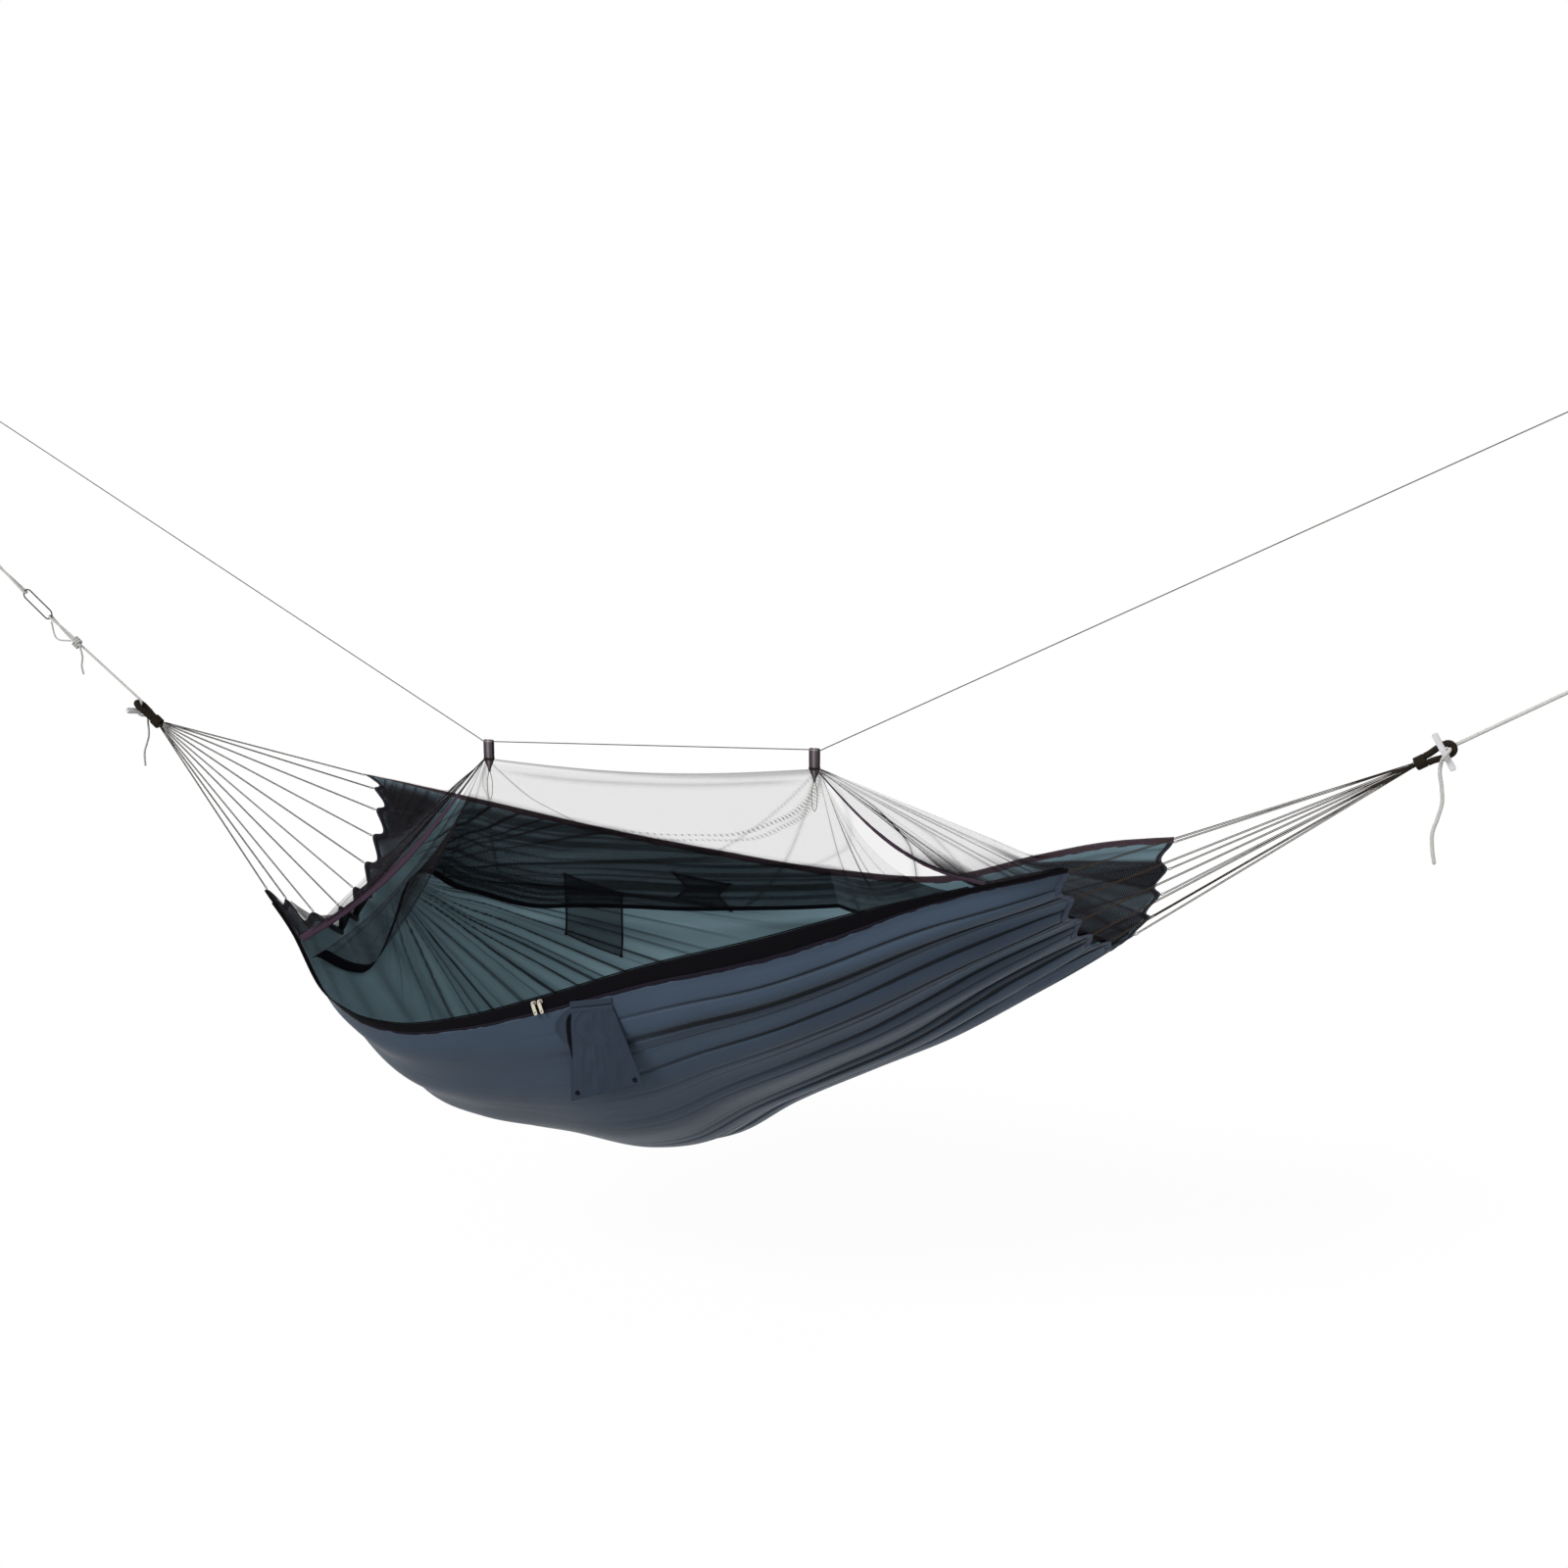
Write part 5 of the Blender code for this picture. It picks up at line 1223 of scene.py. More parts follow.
@dataclass
class Net:
    """The insect net: canopy and thrown-back door, gathered at the two tabs, and the seams on its edges."""

    shape: BedShape = SHAPE
    hang: Hang = HANG
    thread: float = 0.6 * MM
    top_drop: float = 0.038
    top_radius: float = 0.0121
    sag: float = 0.020
    door_drop: float = 0.008
    door_radius: float = 0.0142
    bend_share: float = 0.70
    crossings: Pair = (0.10, 0.84)
    seam_shares: Pair = (0.055, 0.92)
    seam_side: float = 0.75
    seam_sag: float = 0.045
    seam_diameter: float = 0.0034
    seam_width: Pair = (0.015, 0.008)
    lift: float = 0.0070
    rim_inset: float = 0.0040
    rim_lift: float = 0.0030
    sewn_lift: float = 0.0018
    door_under: float = 0.014
    door_hem_width: float = 0.022
    door_hem_lift: float = 0.060
    door_free: float = 0.85
    door_end: Trio = (0.895, -0.93, 0.026)
    door_sag: float = 0.030
    rim_pleat: float = 0.0030
    hem_pleat: float = 0.0034
    door_pleat: float = 0.005
    canopy_ripple: float = 4.0 * MM
    door_ripple: float = 3.0 * MM
    stations: tuple[float, ...] = (
        0.0, 0.03, 0.065, 0.105, 0.15, 0.21, 0.28, 0.36, 0.45, 0.54, 0.63, 0.72, 0.81, 0.89, 0.95, 1.0)
    door_hem_shares: tuple[tuple[float, float, float, float], ...] = (
        (0.0, 0.066, -0.92, 0.42), (0.07, 0.052, -0.70, 0.42), (0.14, 0.045, -0.40, 0.42),
        (0.22, 0.040, 0.0, 0.40), (0.29, 0.045, 0.29, 0.47), (0.34, 0.065, 0.42, 0.53),
        (0.38, 0.090, 0.45, 0.67), (0.43, 0.125, 0.52, 0.83), (0.54, 0.255, 0.72, 1.0),
        (0.67, 0.410, 0.83, 1.0), (0.76, 0.515, 0.87, 1.0), (0.85, 0.610, 0.88, 1.0))
    swing_start: Trio = (1.65, 0.0, -0.4543)
    swing_end: Trio = (1.6523, 0.0, -0.5202)
    rim_pleats: tuple[tuple[int, float, float], ...] = (
        (0, 0.15, 0.7), (0, 0.267, 1.3), (1, 0.285, 1.5), (1, 0.344, 1.2), (1, 0.56, 0.5), (1, 0.70, 1.4),
        (1, 0.76, 0.7))
    door_pleats: tuple[Line, ...] = (
        (0.30, 0.36, 0.005, 0.8, 1.2), (0.30, 0.46, 0.005, 0.5, 0.9), (0.85, 0.52, 0.004, 0.8, 0.9),
        (0.85, 0.74, 0.005, 0.7, 1.2))
    pile_slopes: tuple[tuple[float, ...], tuple[float, ...]] = ((1.30, 2.00, 2.27), (0.302, 0.249, 0.192))

    def rim_point(self, run: Numbers, side: int, lift: Numbers) -> Array:
        """Where the net is sewn to a rim: a little in from the edge, on the inner side."""
        run = np.asarray(run, float)
        return self.shape.bed_point(run, self.shape.edge_lap(run, side, self.rim_inset), lift + 0 * run)

    def top(self, way: Array, share: Numbers, drop: float, radius: float) -> Array:
        """Top of the net below the line from tab to tab, moved out by a radius towards where it hangs to."""
        share = np.asarray(share, float)[..., None]
        line = mix(*self.hang.tabs, share)
        flat = way * vec(1, 1, 0)
        return line - UP * (self.top_drop + drop + self.sag * np.sin(pi * share)) + unit(flat) * radius

    def seam_point(self, top: Array, foot: Array, at: Array) -> Array:
        """Point on a slack free edge: the straight line, less a sag of a sine."""
        return mix(top, foot, at) - UP * self.seam_sag * np.sin(pi * at)

    def bent(self, top: Array, bend: Array, foot: Array) -> Array:
        """Columns of points from the top over a bend to the foot: five steps above it and three below."""
        upper = mix(top[:, None], bend[:, None], (np.arange(5) / 5)[:, None])
        lower = mix(bend[:, None], foot[:, None], (np.arange(4) / 3)[:, None])
        return np.concatenate([upper, lower], 1)

    def free_edge(self, end: int) -> Array:
        """Line of the canopy's free edge at one end, from the tab down to the front rim."""
        tab = self.hang.tabs[end]
        front = self.rim_point(self.seam_shares[end], -1, self.rim_lift)
        top = self.top(front - tab, float(end), 0.0, self.top_radius)
        return self.seam_point(top, front, even(9)[:, None])

    def end_part(self, end: int) -> Array:
        """Columns of net over one end: from the free edge along the hem to the back rim."""
        shape, tab = self.shape, self.hang.tabs[end]
        seam, crossing = self.seam_shares[end], self.crossings[end]
        front, back = self.rim_point(seam, -1, self.rim_lift), self.rim_point(crossing, 1, self.lift)
        corner = end + (1 - 2 * end) * shape.hem_width / 2 / shape.run_length
        share = np.arange(1, 2 * shape.gathers) / (2 * shape.gathers)
        hem = shape.cloth_at(shape.hem_run(end, shape.hem_width / 2, share), share, self.lift)
        near = [self.rim_point((seam + corner) / 2, -1, self.rim_lift), self.rim_point(corner, -1, self.lift)]
        feet = np.concatenate([near, hem])
        place = np.concatenate([[0.04, 0.08], 0.08 + 0.92 * share])[:, None]
        top = self.top(feet - tab, float(end), 0.0, self.top_radius)
        edge = self.free_edge(end)
        beside = self.seam_point(edge[0], front, 1 - self.seam_side * place)
        over = mix(front, back, place) - UP * self.sag * np.sin(pi * place)
        bend = mix(mix(top, feet, self.bend_share), over, np.clip((place - 0.45) / 0.40, 0, 1))
        bend = mix(bend, beside, np.clip((0.62 - place) / 0.30, 0, 1))
        return np.concatenate([edge[None], self.bent(top, bend, feet)])

    def canopy_columns(self) -> Array:
        """All columns of the canopy, from its free edge at the head round the back to that at the foot."""
        shape, (low, high) = self.shape, self.crossings
        inset = (shape.hem_width + shape.hem_gap) / shape.run_length
        run = inset + (1 - 2 * inset) * np.array(self.stations)
        share = np.clip((run - low) / (high - low), 0, 1)
        held = self.rim_point(np.clip(run, low, high), 1, self.lift)
        line = mix(*self.hang.tabs, share[:, None])
        top = self.top(held - line, share, 0.0, self.top_radius)
        between = (run > low) & (run < high)
        foot = self.rim_point(run, 1, np.where(between, self.sewn_lift, self.rim_lift))
        bend = np.where(between[:, None], mix(top, foot, self.bend_share), held)
        return np.concatenate([self.end_part(0), self.bent(top, bend, foot), self.end_part(1)[::-1]])

    def door_hem_line(self, at: Array) -> Array:
        """Lower edge of the thrown-back door, by its share of the way from head to foot."""
        table = np.array(self.door_hem_shares)
        held = np.minimum(at, self.door_free)
        run, lap, lift = (hermite(table[:, 0], table[:, k], held) for k in (1, 2, 3))
        point = self.shape.bed_point(run, lap, lift * self.door_hem_lift)
        free = np.clip((at - self.door_free) / (1 - self.door_free), 0, 1)[..., None]
        corner = self.shape.bed_point(*self.door_end)
        return mix(point, corner, free) - UP * self.door_sag * np.sin(pi * free)

    def door_point(self, at: Array, down: Array) -> Array:
        """Point of the door: the straight line from its top to its lower edge, with its sag and ripple."""
        low = self.door_hem_line(at)
        share = np.clip((at - 0.30) / 0.55, 0, 1)
        line = mix(*self.hang.tabs, share[..., None])
        top = self.top(low - line, share, self.door_drop, self.door_radius)
        bow = np.sin(pi * np.clip(at, 0, 1))
        slack = self.seam_sag * (1 - 0.8 * bow ** 0.5) + self.door_under
        ripple = self.door_under * np.cos(6 * pi * at) * bow
        sag = (slack * np.sin(pi * down))[..., None]
        return mix(top, low, down[..., None]) - UP * sag - SIDE * (ripple * down)[..., None]

    def pleats(self, at: Array, down: Array, lines: list[Line]) -> tuple[Array, Array, Array]:
        """Thin pleats that run down the sheet: it doubles back on itself across each one.

        With u the distance from a pleat's line in half widths, the place read on the sheet moves by -a u
        e^(-u^2), which turns back where a is above the half width, and the height by the same shape.

        Args:
            at: place across the sheet, 0 to 1.
            down: share of the way from the top to the foot.
            lines: for each pleat its place at the top and at the foot, its half width, its strength, and the
                share of the way down at which it has died out.

        Returns:
            The places to read the sheet at, the heights, and how much the net crowds.
        """
        place, height, crowd = at + 0 * down, 0 * at * down, 0 * at * down
        for top, foot, size, strength, fall in lines:
            u = (at - mix(top, foot, down)) / size
            shape = u * np.exp(-u * u)
            fade = 1 - ease(0.75 * fall, fall, down)
            place = place - size * strength * shape * fade
            height = height - shape * fade * strength * 1.8 * MM * ease(0, 0.3, down)
            crowd = crowd + 0.34 * strength * np.exp(-2.0 * u * u) * fade
        return np.clip(place, 0, 1), height, crowd

    def hem_lines(self, start: float, stop: float, count: int, size: float, seed: int) -> list[Line]:
        """Random short pleats that run straight down the sheet between two places across it."""
        rng = np.random.default_rng(seed)
        spots = start + (stop - start) * (np.arange(count) + rng.uniform(0.2, 0.8, count)) / count
        return [(spot, spot, size * wide, strength, fall) for spot, wide, strength, fall in zip(
            spots, rng.uniform(0.7, 1.4, count), rng.uniform(0.5, 1.6, count), rng.uniform(0.5, 1.3, count))]

    def piled(self, points: Array) -> Array:
        """How far the thrown-back net lies piled against the far wall: 1 below its rim, and 0 above it.

        The line between them rises from the rim to the near side, by a slope that falls along the bed.
        """
        run = even(200)
        rim = self.shape.skin(run, np.ones_like(run))
        x = points[..., 0]
        rise = points[..., 2] - np.interp(x, rim[:, 0], rim[:, 2])
        inset = np.interp(x, rim[:, 0], rim[:, 1]) - points[..., 1]
        slope = np.interp(x, *self.pile_slopes)
        return 1 - ease(-0.010, 0.012, rise - slope * inset)

    def blended(self, piece: Piece, finish: Finish, slot: str, node: str) -> Piece:
        """Dress a piece whose top is at the tabs and whose foot lies on the bed, leaving it on no body, and
        bake its place into its mesh.
        """
        dress(piece, finish, None, slot, node)
        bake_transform(piece)
        return piece

    def raised(self, points: Array, height: Array) -> Array:
        """Move points along the sheet's own normals."""
        normals = unit(np.cross(np.gradient(points, axis=0), np.gradient(points, axis=1)))
        return points + normals * height[..., None]

    def make_canopy(self) -> Piece:
        """Canopy: a smooth sheet through its columns, with thin pleats that fan out from both tabs.

        Its columns are spread by their mean distance, so that the mesh is even across the whole sheet.
        """
        rows, columns = 52, 860
        grid = refine(self.canopy_columns(), rows)
        widths = np.linalg.norm(np.diff(grid, axis=0), axis=-1).mean(1)
        spots = np.concatenate([[0.0], np.cumsum(widths)]) / widths.sum()
        at, down = np.meshgrid(even(columns), even(rows), indexing="ij")
        flat = hermite(spots, grid, at[:, 0])
        first = self.shape.gathers * 2 + 2
        last = first + len(self.stations)
        back = spots[first:last]
        over = [float(np.interp(run, self.stations, back)) for run in self.crossings]
        lines = [(over[tab], float(np.interp(run, self.stations, back)), self.rim_pleat, force, 1.5)
                 for tab, run, force in self.rim_pleats]
        lines += self.hem_lines(spots[1], spots[first - 1], 10, self.hem_pleat, 41)
        lines += self.hem_lines(spots[last], spots[-2], 10, self.hem_pleat, 42)
        place, height, crowd = self.pleats(at, down, lines)
        points = np.stack([hermite(spots, grid[:, row], place[:, row]) for row in range(rows)], 1)
        loose = np.sin(pi * down) ** 0.7
        height = height + self.canopy_ripple * loose * drift(at * 12, down * 1.5, 43, 3.0)
        points = self.raised(flat, height) + (points - flat)
        corner = mix(spots[last], spots[last + 1], 0.5)
        ends = 1 - ease(spots[first - 2], spots[first], at) + ease(spots[last], corner, at)
        streaks = 0.35 + 0.65 * ease(-0.5, 0.2, drift(at * 60, down * 0.6, 47, 3.0))
        # Both ends crowd densely as gathered net, and this also darkens them as painted shade for the shaded
        # inside of the head and foot
        crowd = crowd + 1.2 * ends * streaks * ease(0.45, 0.72, down)
        crowd = crowd + 0.5 * (1 - ease(0, 0.06, down))
        canopy = surface("net_canopy_mesh", points, grid_uv(flat))
        tag(canopy, "crowd", [np.clip(crowd, 0, 1)])
        return self.blended(thicken(canopy, self.thread), NET, "net", "net_canopy")

    def make_door(self) -> list[Piece]:
        """Door, with the tape of its half of the zip along the lower edge."""
        rows, columns = 70, 640
        at, down = np.meshgrid(even(columns), even(rows), indexing="ij")
        flat = self.door_point(at, down)
        lines = list(self.door_pleats) + self.hem_lines(0.02, 0.28, 7, self.door_pleat, 57)
        lines += self.hem_lines(0.87, 0.99, 4, self.door_pleat, 58)
        place, height, crowd = self.pleats(at, down, lines)
        moved = self.door_point(place, down)
        loose = np.sin(pi * down) ** 0.7
        height = height + self.door_ripple * loose * drift(at * 9, down * 1.5, 59, 3.0)
        points = self.raised(flat, height) + (moved - flat)
        fold = np.exp(-((down - 0.045) / 0.012) ** 2)
        fold = fold * ease(0.30, 0.42, at) * ease(0.12, 0.20, 0.97 - at)
        door = surface("net_door_mesh", points, grid_uv(flat))
        creased = ease(-0.1, 0.5, drift(at * 1.4, down * 30, 71, 3.0))
        piled = self.piled(points) * mix(0.16, 1.0, ease(0.20, 0.31, at)) * mix(0.72, 1.3, creased)
        # The door's crowd thickens it where it piles, and darkens its colour there as painted shade
        tag(door, "crowd", [np.clip(crowd + 0.22 * fold + piled, 0, 1)])
        thicken(door, self.thread)
        step = unit(flat[:, -1] - flat[:, -3])
        way = unit(np.gradient(flat[:, -1], axis=0))
        across = np.linspace(-self.thread, self.door_hem_width, 9)[None, :, None]
        middle = flat[:, -1][:, None] + step[:, None] * across
        normals = np.broadcast_to(unit(np.cross(way, step))[:, None], middle.shape)
        tape = band("net_door_zip_tape", middle, normals, 1.2 * MM, self.door_hem_width)
        return [self.blended(door, NET, "net", "net_door"),
                self.blended(tape, DOOR_TAPE, "zip_tape", "net_door_hem")]

    def make_seam(self, end: int) -> Piece:
        """Zip tape along the canopy's free edge: rolled narrow at the tab, and flat towards the rim."""
        name = ("head_net_seam", "foot_net_seam")[end]
        tab = self.hang.tabs[end]
        edge = self.free_edge(end)
        away = unit(np.cross(edge[-1] - tab, UP)) * (2 * end - 1)
        edge[-1] = mix(edge[-1], edge[-2], 0.08)
        line = route(edge + away * (self.seam_diameter / 2 + self.thread / 2 + self.shape.gap), 3.0 * MM)
        place = along(line) / along(line)[-1]
        ahead = unit(np.gradient(line, axis=0))
        across = unit(np.cross(ahead, SIDE))
        wide = mix(self.seam_diameter, self.seam_width[end], ease(0.05, 0.55, place))
        wide = wide * (1 + 0.10 * drift(place * 2, 0 * place, 61 + end, 40.0))
        step = np.linspace(-0.5, 0.5, 9)
        middle = line[:, None] + across[:, None] * (wide[:, None] * step)[..., None]
        normals = np.broadcast_to(unit(np.cross(across, ahead))[:, None], middle.shape)
        seam = band(name + "_tape", middle, normals, 1.8 * MM, 14 * MM)
        return self.blended(seam, SEAM_TAPE, "binding", name)

    def make(self) -> None:
        """Make the net: its canopy, its door with the door's zip tape, and its two seams."""
        canopy = self.make_canopy()
        door, tape = self.make_door()
        seams = [self.make_seam(0), self.make_seam(1)]


def strand(name: str, path: Array, radius: Numbers, sides: int, finish: Finish, body: Body = Body.BED,
           slot: str = "white_rope", form: str = "braid", closed: bool = False) -> Piece:
    """Rope or cord that stands for the node of its name: a tube with its finish.

    Args:
        name: the node it replaces.
        path: its centre line.
        radius: one radius, or one for each point.
        sides: points round it.
        finish: its finish.
        body: the body it rides on.
        slot: the material slot, not used.
        form: how it is made, for its own name.
        closed: whether it is a ring.

    Returns:
        The rope or cord.
    """
    return dress(tube(f"{name}_{form}", path, radius, sides, closed), finish, body, slot, name)


@dataclass
class EndFitting:
    """What joins one end of the bed to its main rope: whipping, eye, toggle, hitch, loose end and cords.

    Along the rope's pull come the cords, the whipping from mouth to neck, the eye, its bend and the toggle.
    """

    end: End
    eye: Array
    pull: Array
    toggle_axis: Array
    rope: float
    backset: float
    shape: BedShape = SHAPE
    gap: float = 0.3 * MM
    clear: float = 0.8 * MM
    eye_tube: float = 0.0125
    eye_length: float = 0.058
    whipping_length: float = 0.021
    whipping_radius: float = 0.0125
    toggle_size: Trio = (0.0105, 0.0085, 0.074)
    toggle_wall: float = 2.0 * MM
    toggle_groove: float = 2.2 * MM
    toggle_dome: float = 0.93
    hitch_drop: float = 0.0110
    cord: float = 1.6 * MM
    pair_gap: float = 2.2 * MM

    def __post_init__(self) -> None:
        """Work out where the toggle lies and how the rope goes round it."""
        front = unit(np.cross(self.pull, self.toggle_axis))
        if front[1] > 0.5 or (abs(front[1]) < 0.5 and front[2] > 0):
            front = -front
        self.front = front
        self.flat = unit(self.toggle_axis - self.pull * self.toggle_axis.dot(self.pull))
        self.bend = self.eye - self.pull * self.eye_tube / 2
        self.neck = self.eye - self.pull * self.eye_length
        self.mouth = self.neck - self.pull * self.whipping_length
        wide, deep, _ = self.toggle_size
        bend_r = (self.eye_tube + self.rope) / 2 + self.clear
        hitch_r = math.hypot(wide, deep) / 2 + self.clear + self.rope / 2
        sideways = (self.eye_tube + deep) / 2 + 2 * self.clear
        ahead = math.sqrt((bend_r + hitch_r) ** 2 - sideways ** 2)
        self.toggle = self.bend - self.pull * ahead + front * sideways
        angle = math.degrees(math.atan2(sideways, -ahead))
        level = unit(self.pull - self.toggle_axis * self.pull.dot(self.toggle_axis))
        wrap = arc(self.toggle, level, -front, hitch_r, 180 - angle, -140, 15)
        down = self.toggle_axis * (1 if self.toggle_axis[2] < 0 else -1)
        wrap = wrap + down * (self.hitch_drop * even(15) ** 2)[:, None]
        self.hitch = np.concatenate([arc(self.bend, self.pull, -front, bend_r, 90, 360 - angle, 7), wrap[1:]])

    @property
    def label(self) -> str:
        """Name of this end, as the nodes' names begin."""
        return self.end.value

    def make_tail(self, name: str, line: Array, length: float, diameter: float, lean: Array) -> None:
        """Loose rope end: it leaves along the rope before it, turns down and hangs, with a melted tip.

        Args:
            name: the node it replaces.
            line: points of the rope before it, which it goes on from.
            length: of the hanging stretch.
            diameter: of the rope.
            lean: how far it hangs out of plumb.
        """
        start, leave = line[-1], unit(line[-1] - line[-2])
        down = unit(lean - UP)
        turning = unit(mix(leave, down, (np.arange(1, 6) / 5)[:, None])) * diameter * 0.55
        points = [start + leave * self.gap, start + leave * diameter * 0.4]
        points += list(points[-1] + np.cumsum(turning, 0))
        share = np.arange(1, 7) / 6
        sway = profile(((0.0, 0.0), (0.35, 0.05), (0.70, -0.02), (1.0, 0.03)), share)[:, None]
        points += list(points[-1] + (down * share[:, None] + vec(1, 0, 0) * sway) * length)
        path = route(points, diameter / 4)
        reach = along(path)
        left = np.clip((reach[-1] - reach) / (diameter * 0.5), 0, 1)
        radius = diameter / 2 * np.sqrt(np.clip(1 - (1 - left) ** 2, 0.04, 1))
        tail = strand(name, path, radius, 16, WHITE_ROPE)

    def make_eye(self) -> None:
        """Eye and whipping: cord wound tight round a bight and round its neck."""
        half_wide = (self.rope + self.eye_tube) / 2 + self.clear
        narrow = self.flat * (self.eye_tube / 2 + self.gap)
        legs = [[self.neck + self.pull * reach + narrow * side for reach in (self.gap, self.eye_tube / 3)]
                for side in (-1, 1)]
        top = arc(self.bend - self.pull * half_wide, self.pull, self.flat, half_wide, -90, 90, 10)
        path = route(np.concatenate([legs[0], top, legs[1][::-1]]), 0.40 * MM)
        eye = tube(self.label + "_eye_wound", path, self.eye_tube / 2, 28, ribs=(2.6 * MM, 0.8 * MM))
        dress(eye, WHIPPING, Body.BED, "whipping", self.label + "_eye")
        reach = even(90)
        line = mix(self.neck, self.mouth, reach[:, None])
        upper, lower = (np.clip(1 - way / 0.10, 0, 1) ** 2 for way in (reach, 1 - reach))
        radius = self.whipping_radius * (1 - 0.30 * upper) * (1 - 0.22 * lower)
        wound = tube(self.label + "_whipping_wound", line, radius, 40, ribs=(2.1 * MM, 0.8 * MM))
        dress(wound, WHIPPING, Body.BED, "whipping", self.label + "_whipping")

    def make_toggle(self) -> None:
        """Moulded bar with a groove along both faces: an H section with softened corners and domed ends."""
        wide, deep, long = self.toggle_size
        half_w, half_d = wide / 2, deep / 2
        inner, floor = half_w - self.toggle_wall, half_d - self.toggle_groove
        quarter = [(half_w, 0), (half_w, half_d), (inner, half_d), (inner, floor), (0, floor)]
        half = quarter + [(-x, y) for x, y in quarter[-2::-1]]
        corners = np.array(half + [(x, -y) for x, y in half[-2:0:-1]])
        corners = np.concatenate([corners, corners[:1]])
        reach = np.concatenate([[0.0], np.cumsum(np.linalg.norm(np.diff(corners, axis=0), axis=1))])
        places = np.linspace(0, reach[-1], 129)[:-1]
        outline = np.stack([np.interp(places, reach, corners[:, k]) for k in (0, 1)], 1)
        for _ in range(2):
            outline = (np.roll(outline, 1, 0) + 2 * outline + np.roll(outline, -1, 0)) / 4
        tip = np.linspace(self.toggle_dome, 1, 14)
        up = np.concatenate([-tip[::-1], np.linspace(-0.9, 0.9, 40), tip])
        domed = np.clip((np.abs(up) - self.toggle_dome) / (1 - self.toggle_dome), 0, 1)
        domed = np.sqrt(np.clip(1 - domed ** 2, 0.10, 1))
        across = unit(np.cross(self.toggle_axis, self.front))
        other = unit(np.cross(self.toggle_axis, across))
        points = (self.toggle + self.toggle_axis * (up * long / 2)[:, None, None]
                  + across * (outline[:, 0] * domed[:, None])[..., None]
                  + other * (outline[:, 1] * domed[:, None])[..., None])
        body = Body.HEAD_TOGGLE if self.end is End.HEAD else Body.FOOT_TOGGLE
        bar = surface(self.label + "_toggle_bar_moulded", points, None, (False, True), caps=True)
        dress(bar, TOGGLE, body, "toggle_plastic", self.label + "_toggle")

    def make_cords(self) -> None:
        """Suspension cords: each is one cord that runs out to two cusps of the hem and back."""
        at = 0 if self.end is End.HEAD else 1
        shape, count = self.shape, self.shape.gathers + 1
        share = np.arange(count) / shape.gathers
        cusps = shape.cloth_at(shape.hem_run(at, 0.0, share), share)
        inner = shape.cloth_at(shape.hem_run(at, shape.hem_width, share), share)
        apex = self.mouth + self.pull * self.backset
        ways = unit(cusps - apex)
        leans = (ways * unit(inner - cusps)).sum(1)
        tilt = -(ways * self.pull).sum(1)
        first = apex + ways * ((self.backset + 3 * self.gap + self.cord * 0.3) / tilt)[:, None]
        tips = cusps - ways * ((self.cord / 2 + self.gap) / np.maximum(leans, 0.5))[:, None]
        turns = tips - ways * self.cord
        spread = unit(np.cross(self.pull, SIDE)) * self.pair_gap / 2
        legs = [np.concatenate([straight(a + spread, b + spread), [tip], straight(b - spread, a - spread)])
                for a, b, tip in zip(first, turns, tips)]
        for pair in range(count // 2):
            path = route(np.concatenate(legs[2 * pair:2 * pair + 2]), 1.6 * MM)
            strand(f"{self.label}_cord_{pair + 1}", path, self.cord / 2, 6, DARK_CORD, slot="dark_cord")


def tree_loop(name: str, middle: Array, way: Array, rope: float, radius: float) -> None:
    """Loop in the rope's end that goes round its tie: a ring in the rope's own upright plane."""
    ring = arc(middle, way, np.cross(way, SIDE), radius, 0, 360, 97)[:-1]
    strand(name, ring, rope / 2, 16, WHITE_ROPE, Body.SUPPORT, closed=True)


def melted(path: Array, radius: float) -> Array:
    """Radius along a rope whose two cut ends are melted round."""
    reach = along(path)
    left = np.clip(np.minimum(reach, reach[-1] - reach) / radius, 0, 1)
    return radius * np.sqrt(np.clip(1 - (1 - left) ** 2, 0.04, 1))


@dataclass
class FootTie:
    """Foot main rope, from its loop through the eye and round the toggle."""

    hang: Hang = HANG
    rope: float = 0.0068

    def make(self) -> None:
        """Make the foot's fitting, its rope and its loop."""
        hang = self.hang
        fitting = EndFitting(End.FOOT, hang.foot_eye, hang.foot_pull, unit(np.cross(SIDE, hang.foot_pull)),
                             self.rope, 0.0165)
        hitch = fitting.hitch
        way = unit(hang.foot_anchor - hitch[0])
        start = hang.foot_anchor - way * (hang.tree_loop_radius + self.rope / 2 + fitting.gap)
        path = route(np.concatenate([straight(start, hitch[0]), hitch[1:]]), 1.5 * MM)
        strand("foot_rope", path, melted(path, self.rope / 2), 18, WHITE_ROPE)
        fitting.make_tail("foot_tail", hitch, 0.170, self.rope, vec(-0.03, 0, 0))
        tree_loop("foot_tree_loop", hang.foot_anchor, way, self.rope, hang.tree_loop_radius)
        fitting.make_eye()
        fitting.make_toggle()
        fitting.make_cords()


def straight(start: Array, stop: Array, step: float = 0.01) -> Array:
    """Points on a straight line about a step apart, so that the smooth curve through them stays straight."""
    count = max(2, int(np.linalg.norm(stop - start) / step) + 1)
    return mix(start, stop, even(count)[:, None])


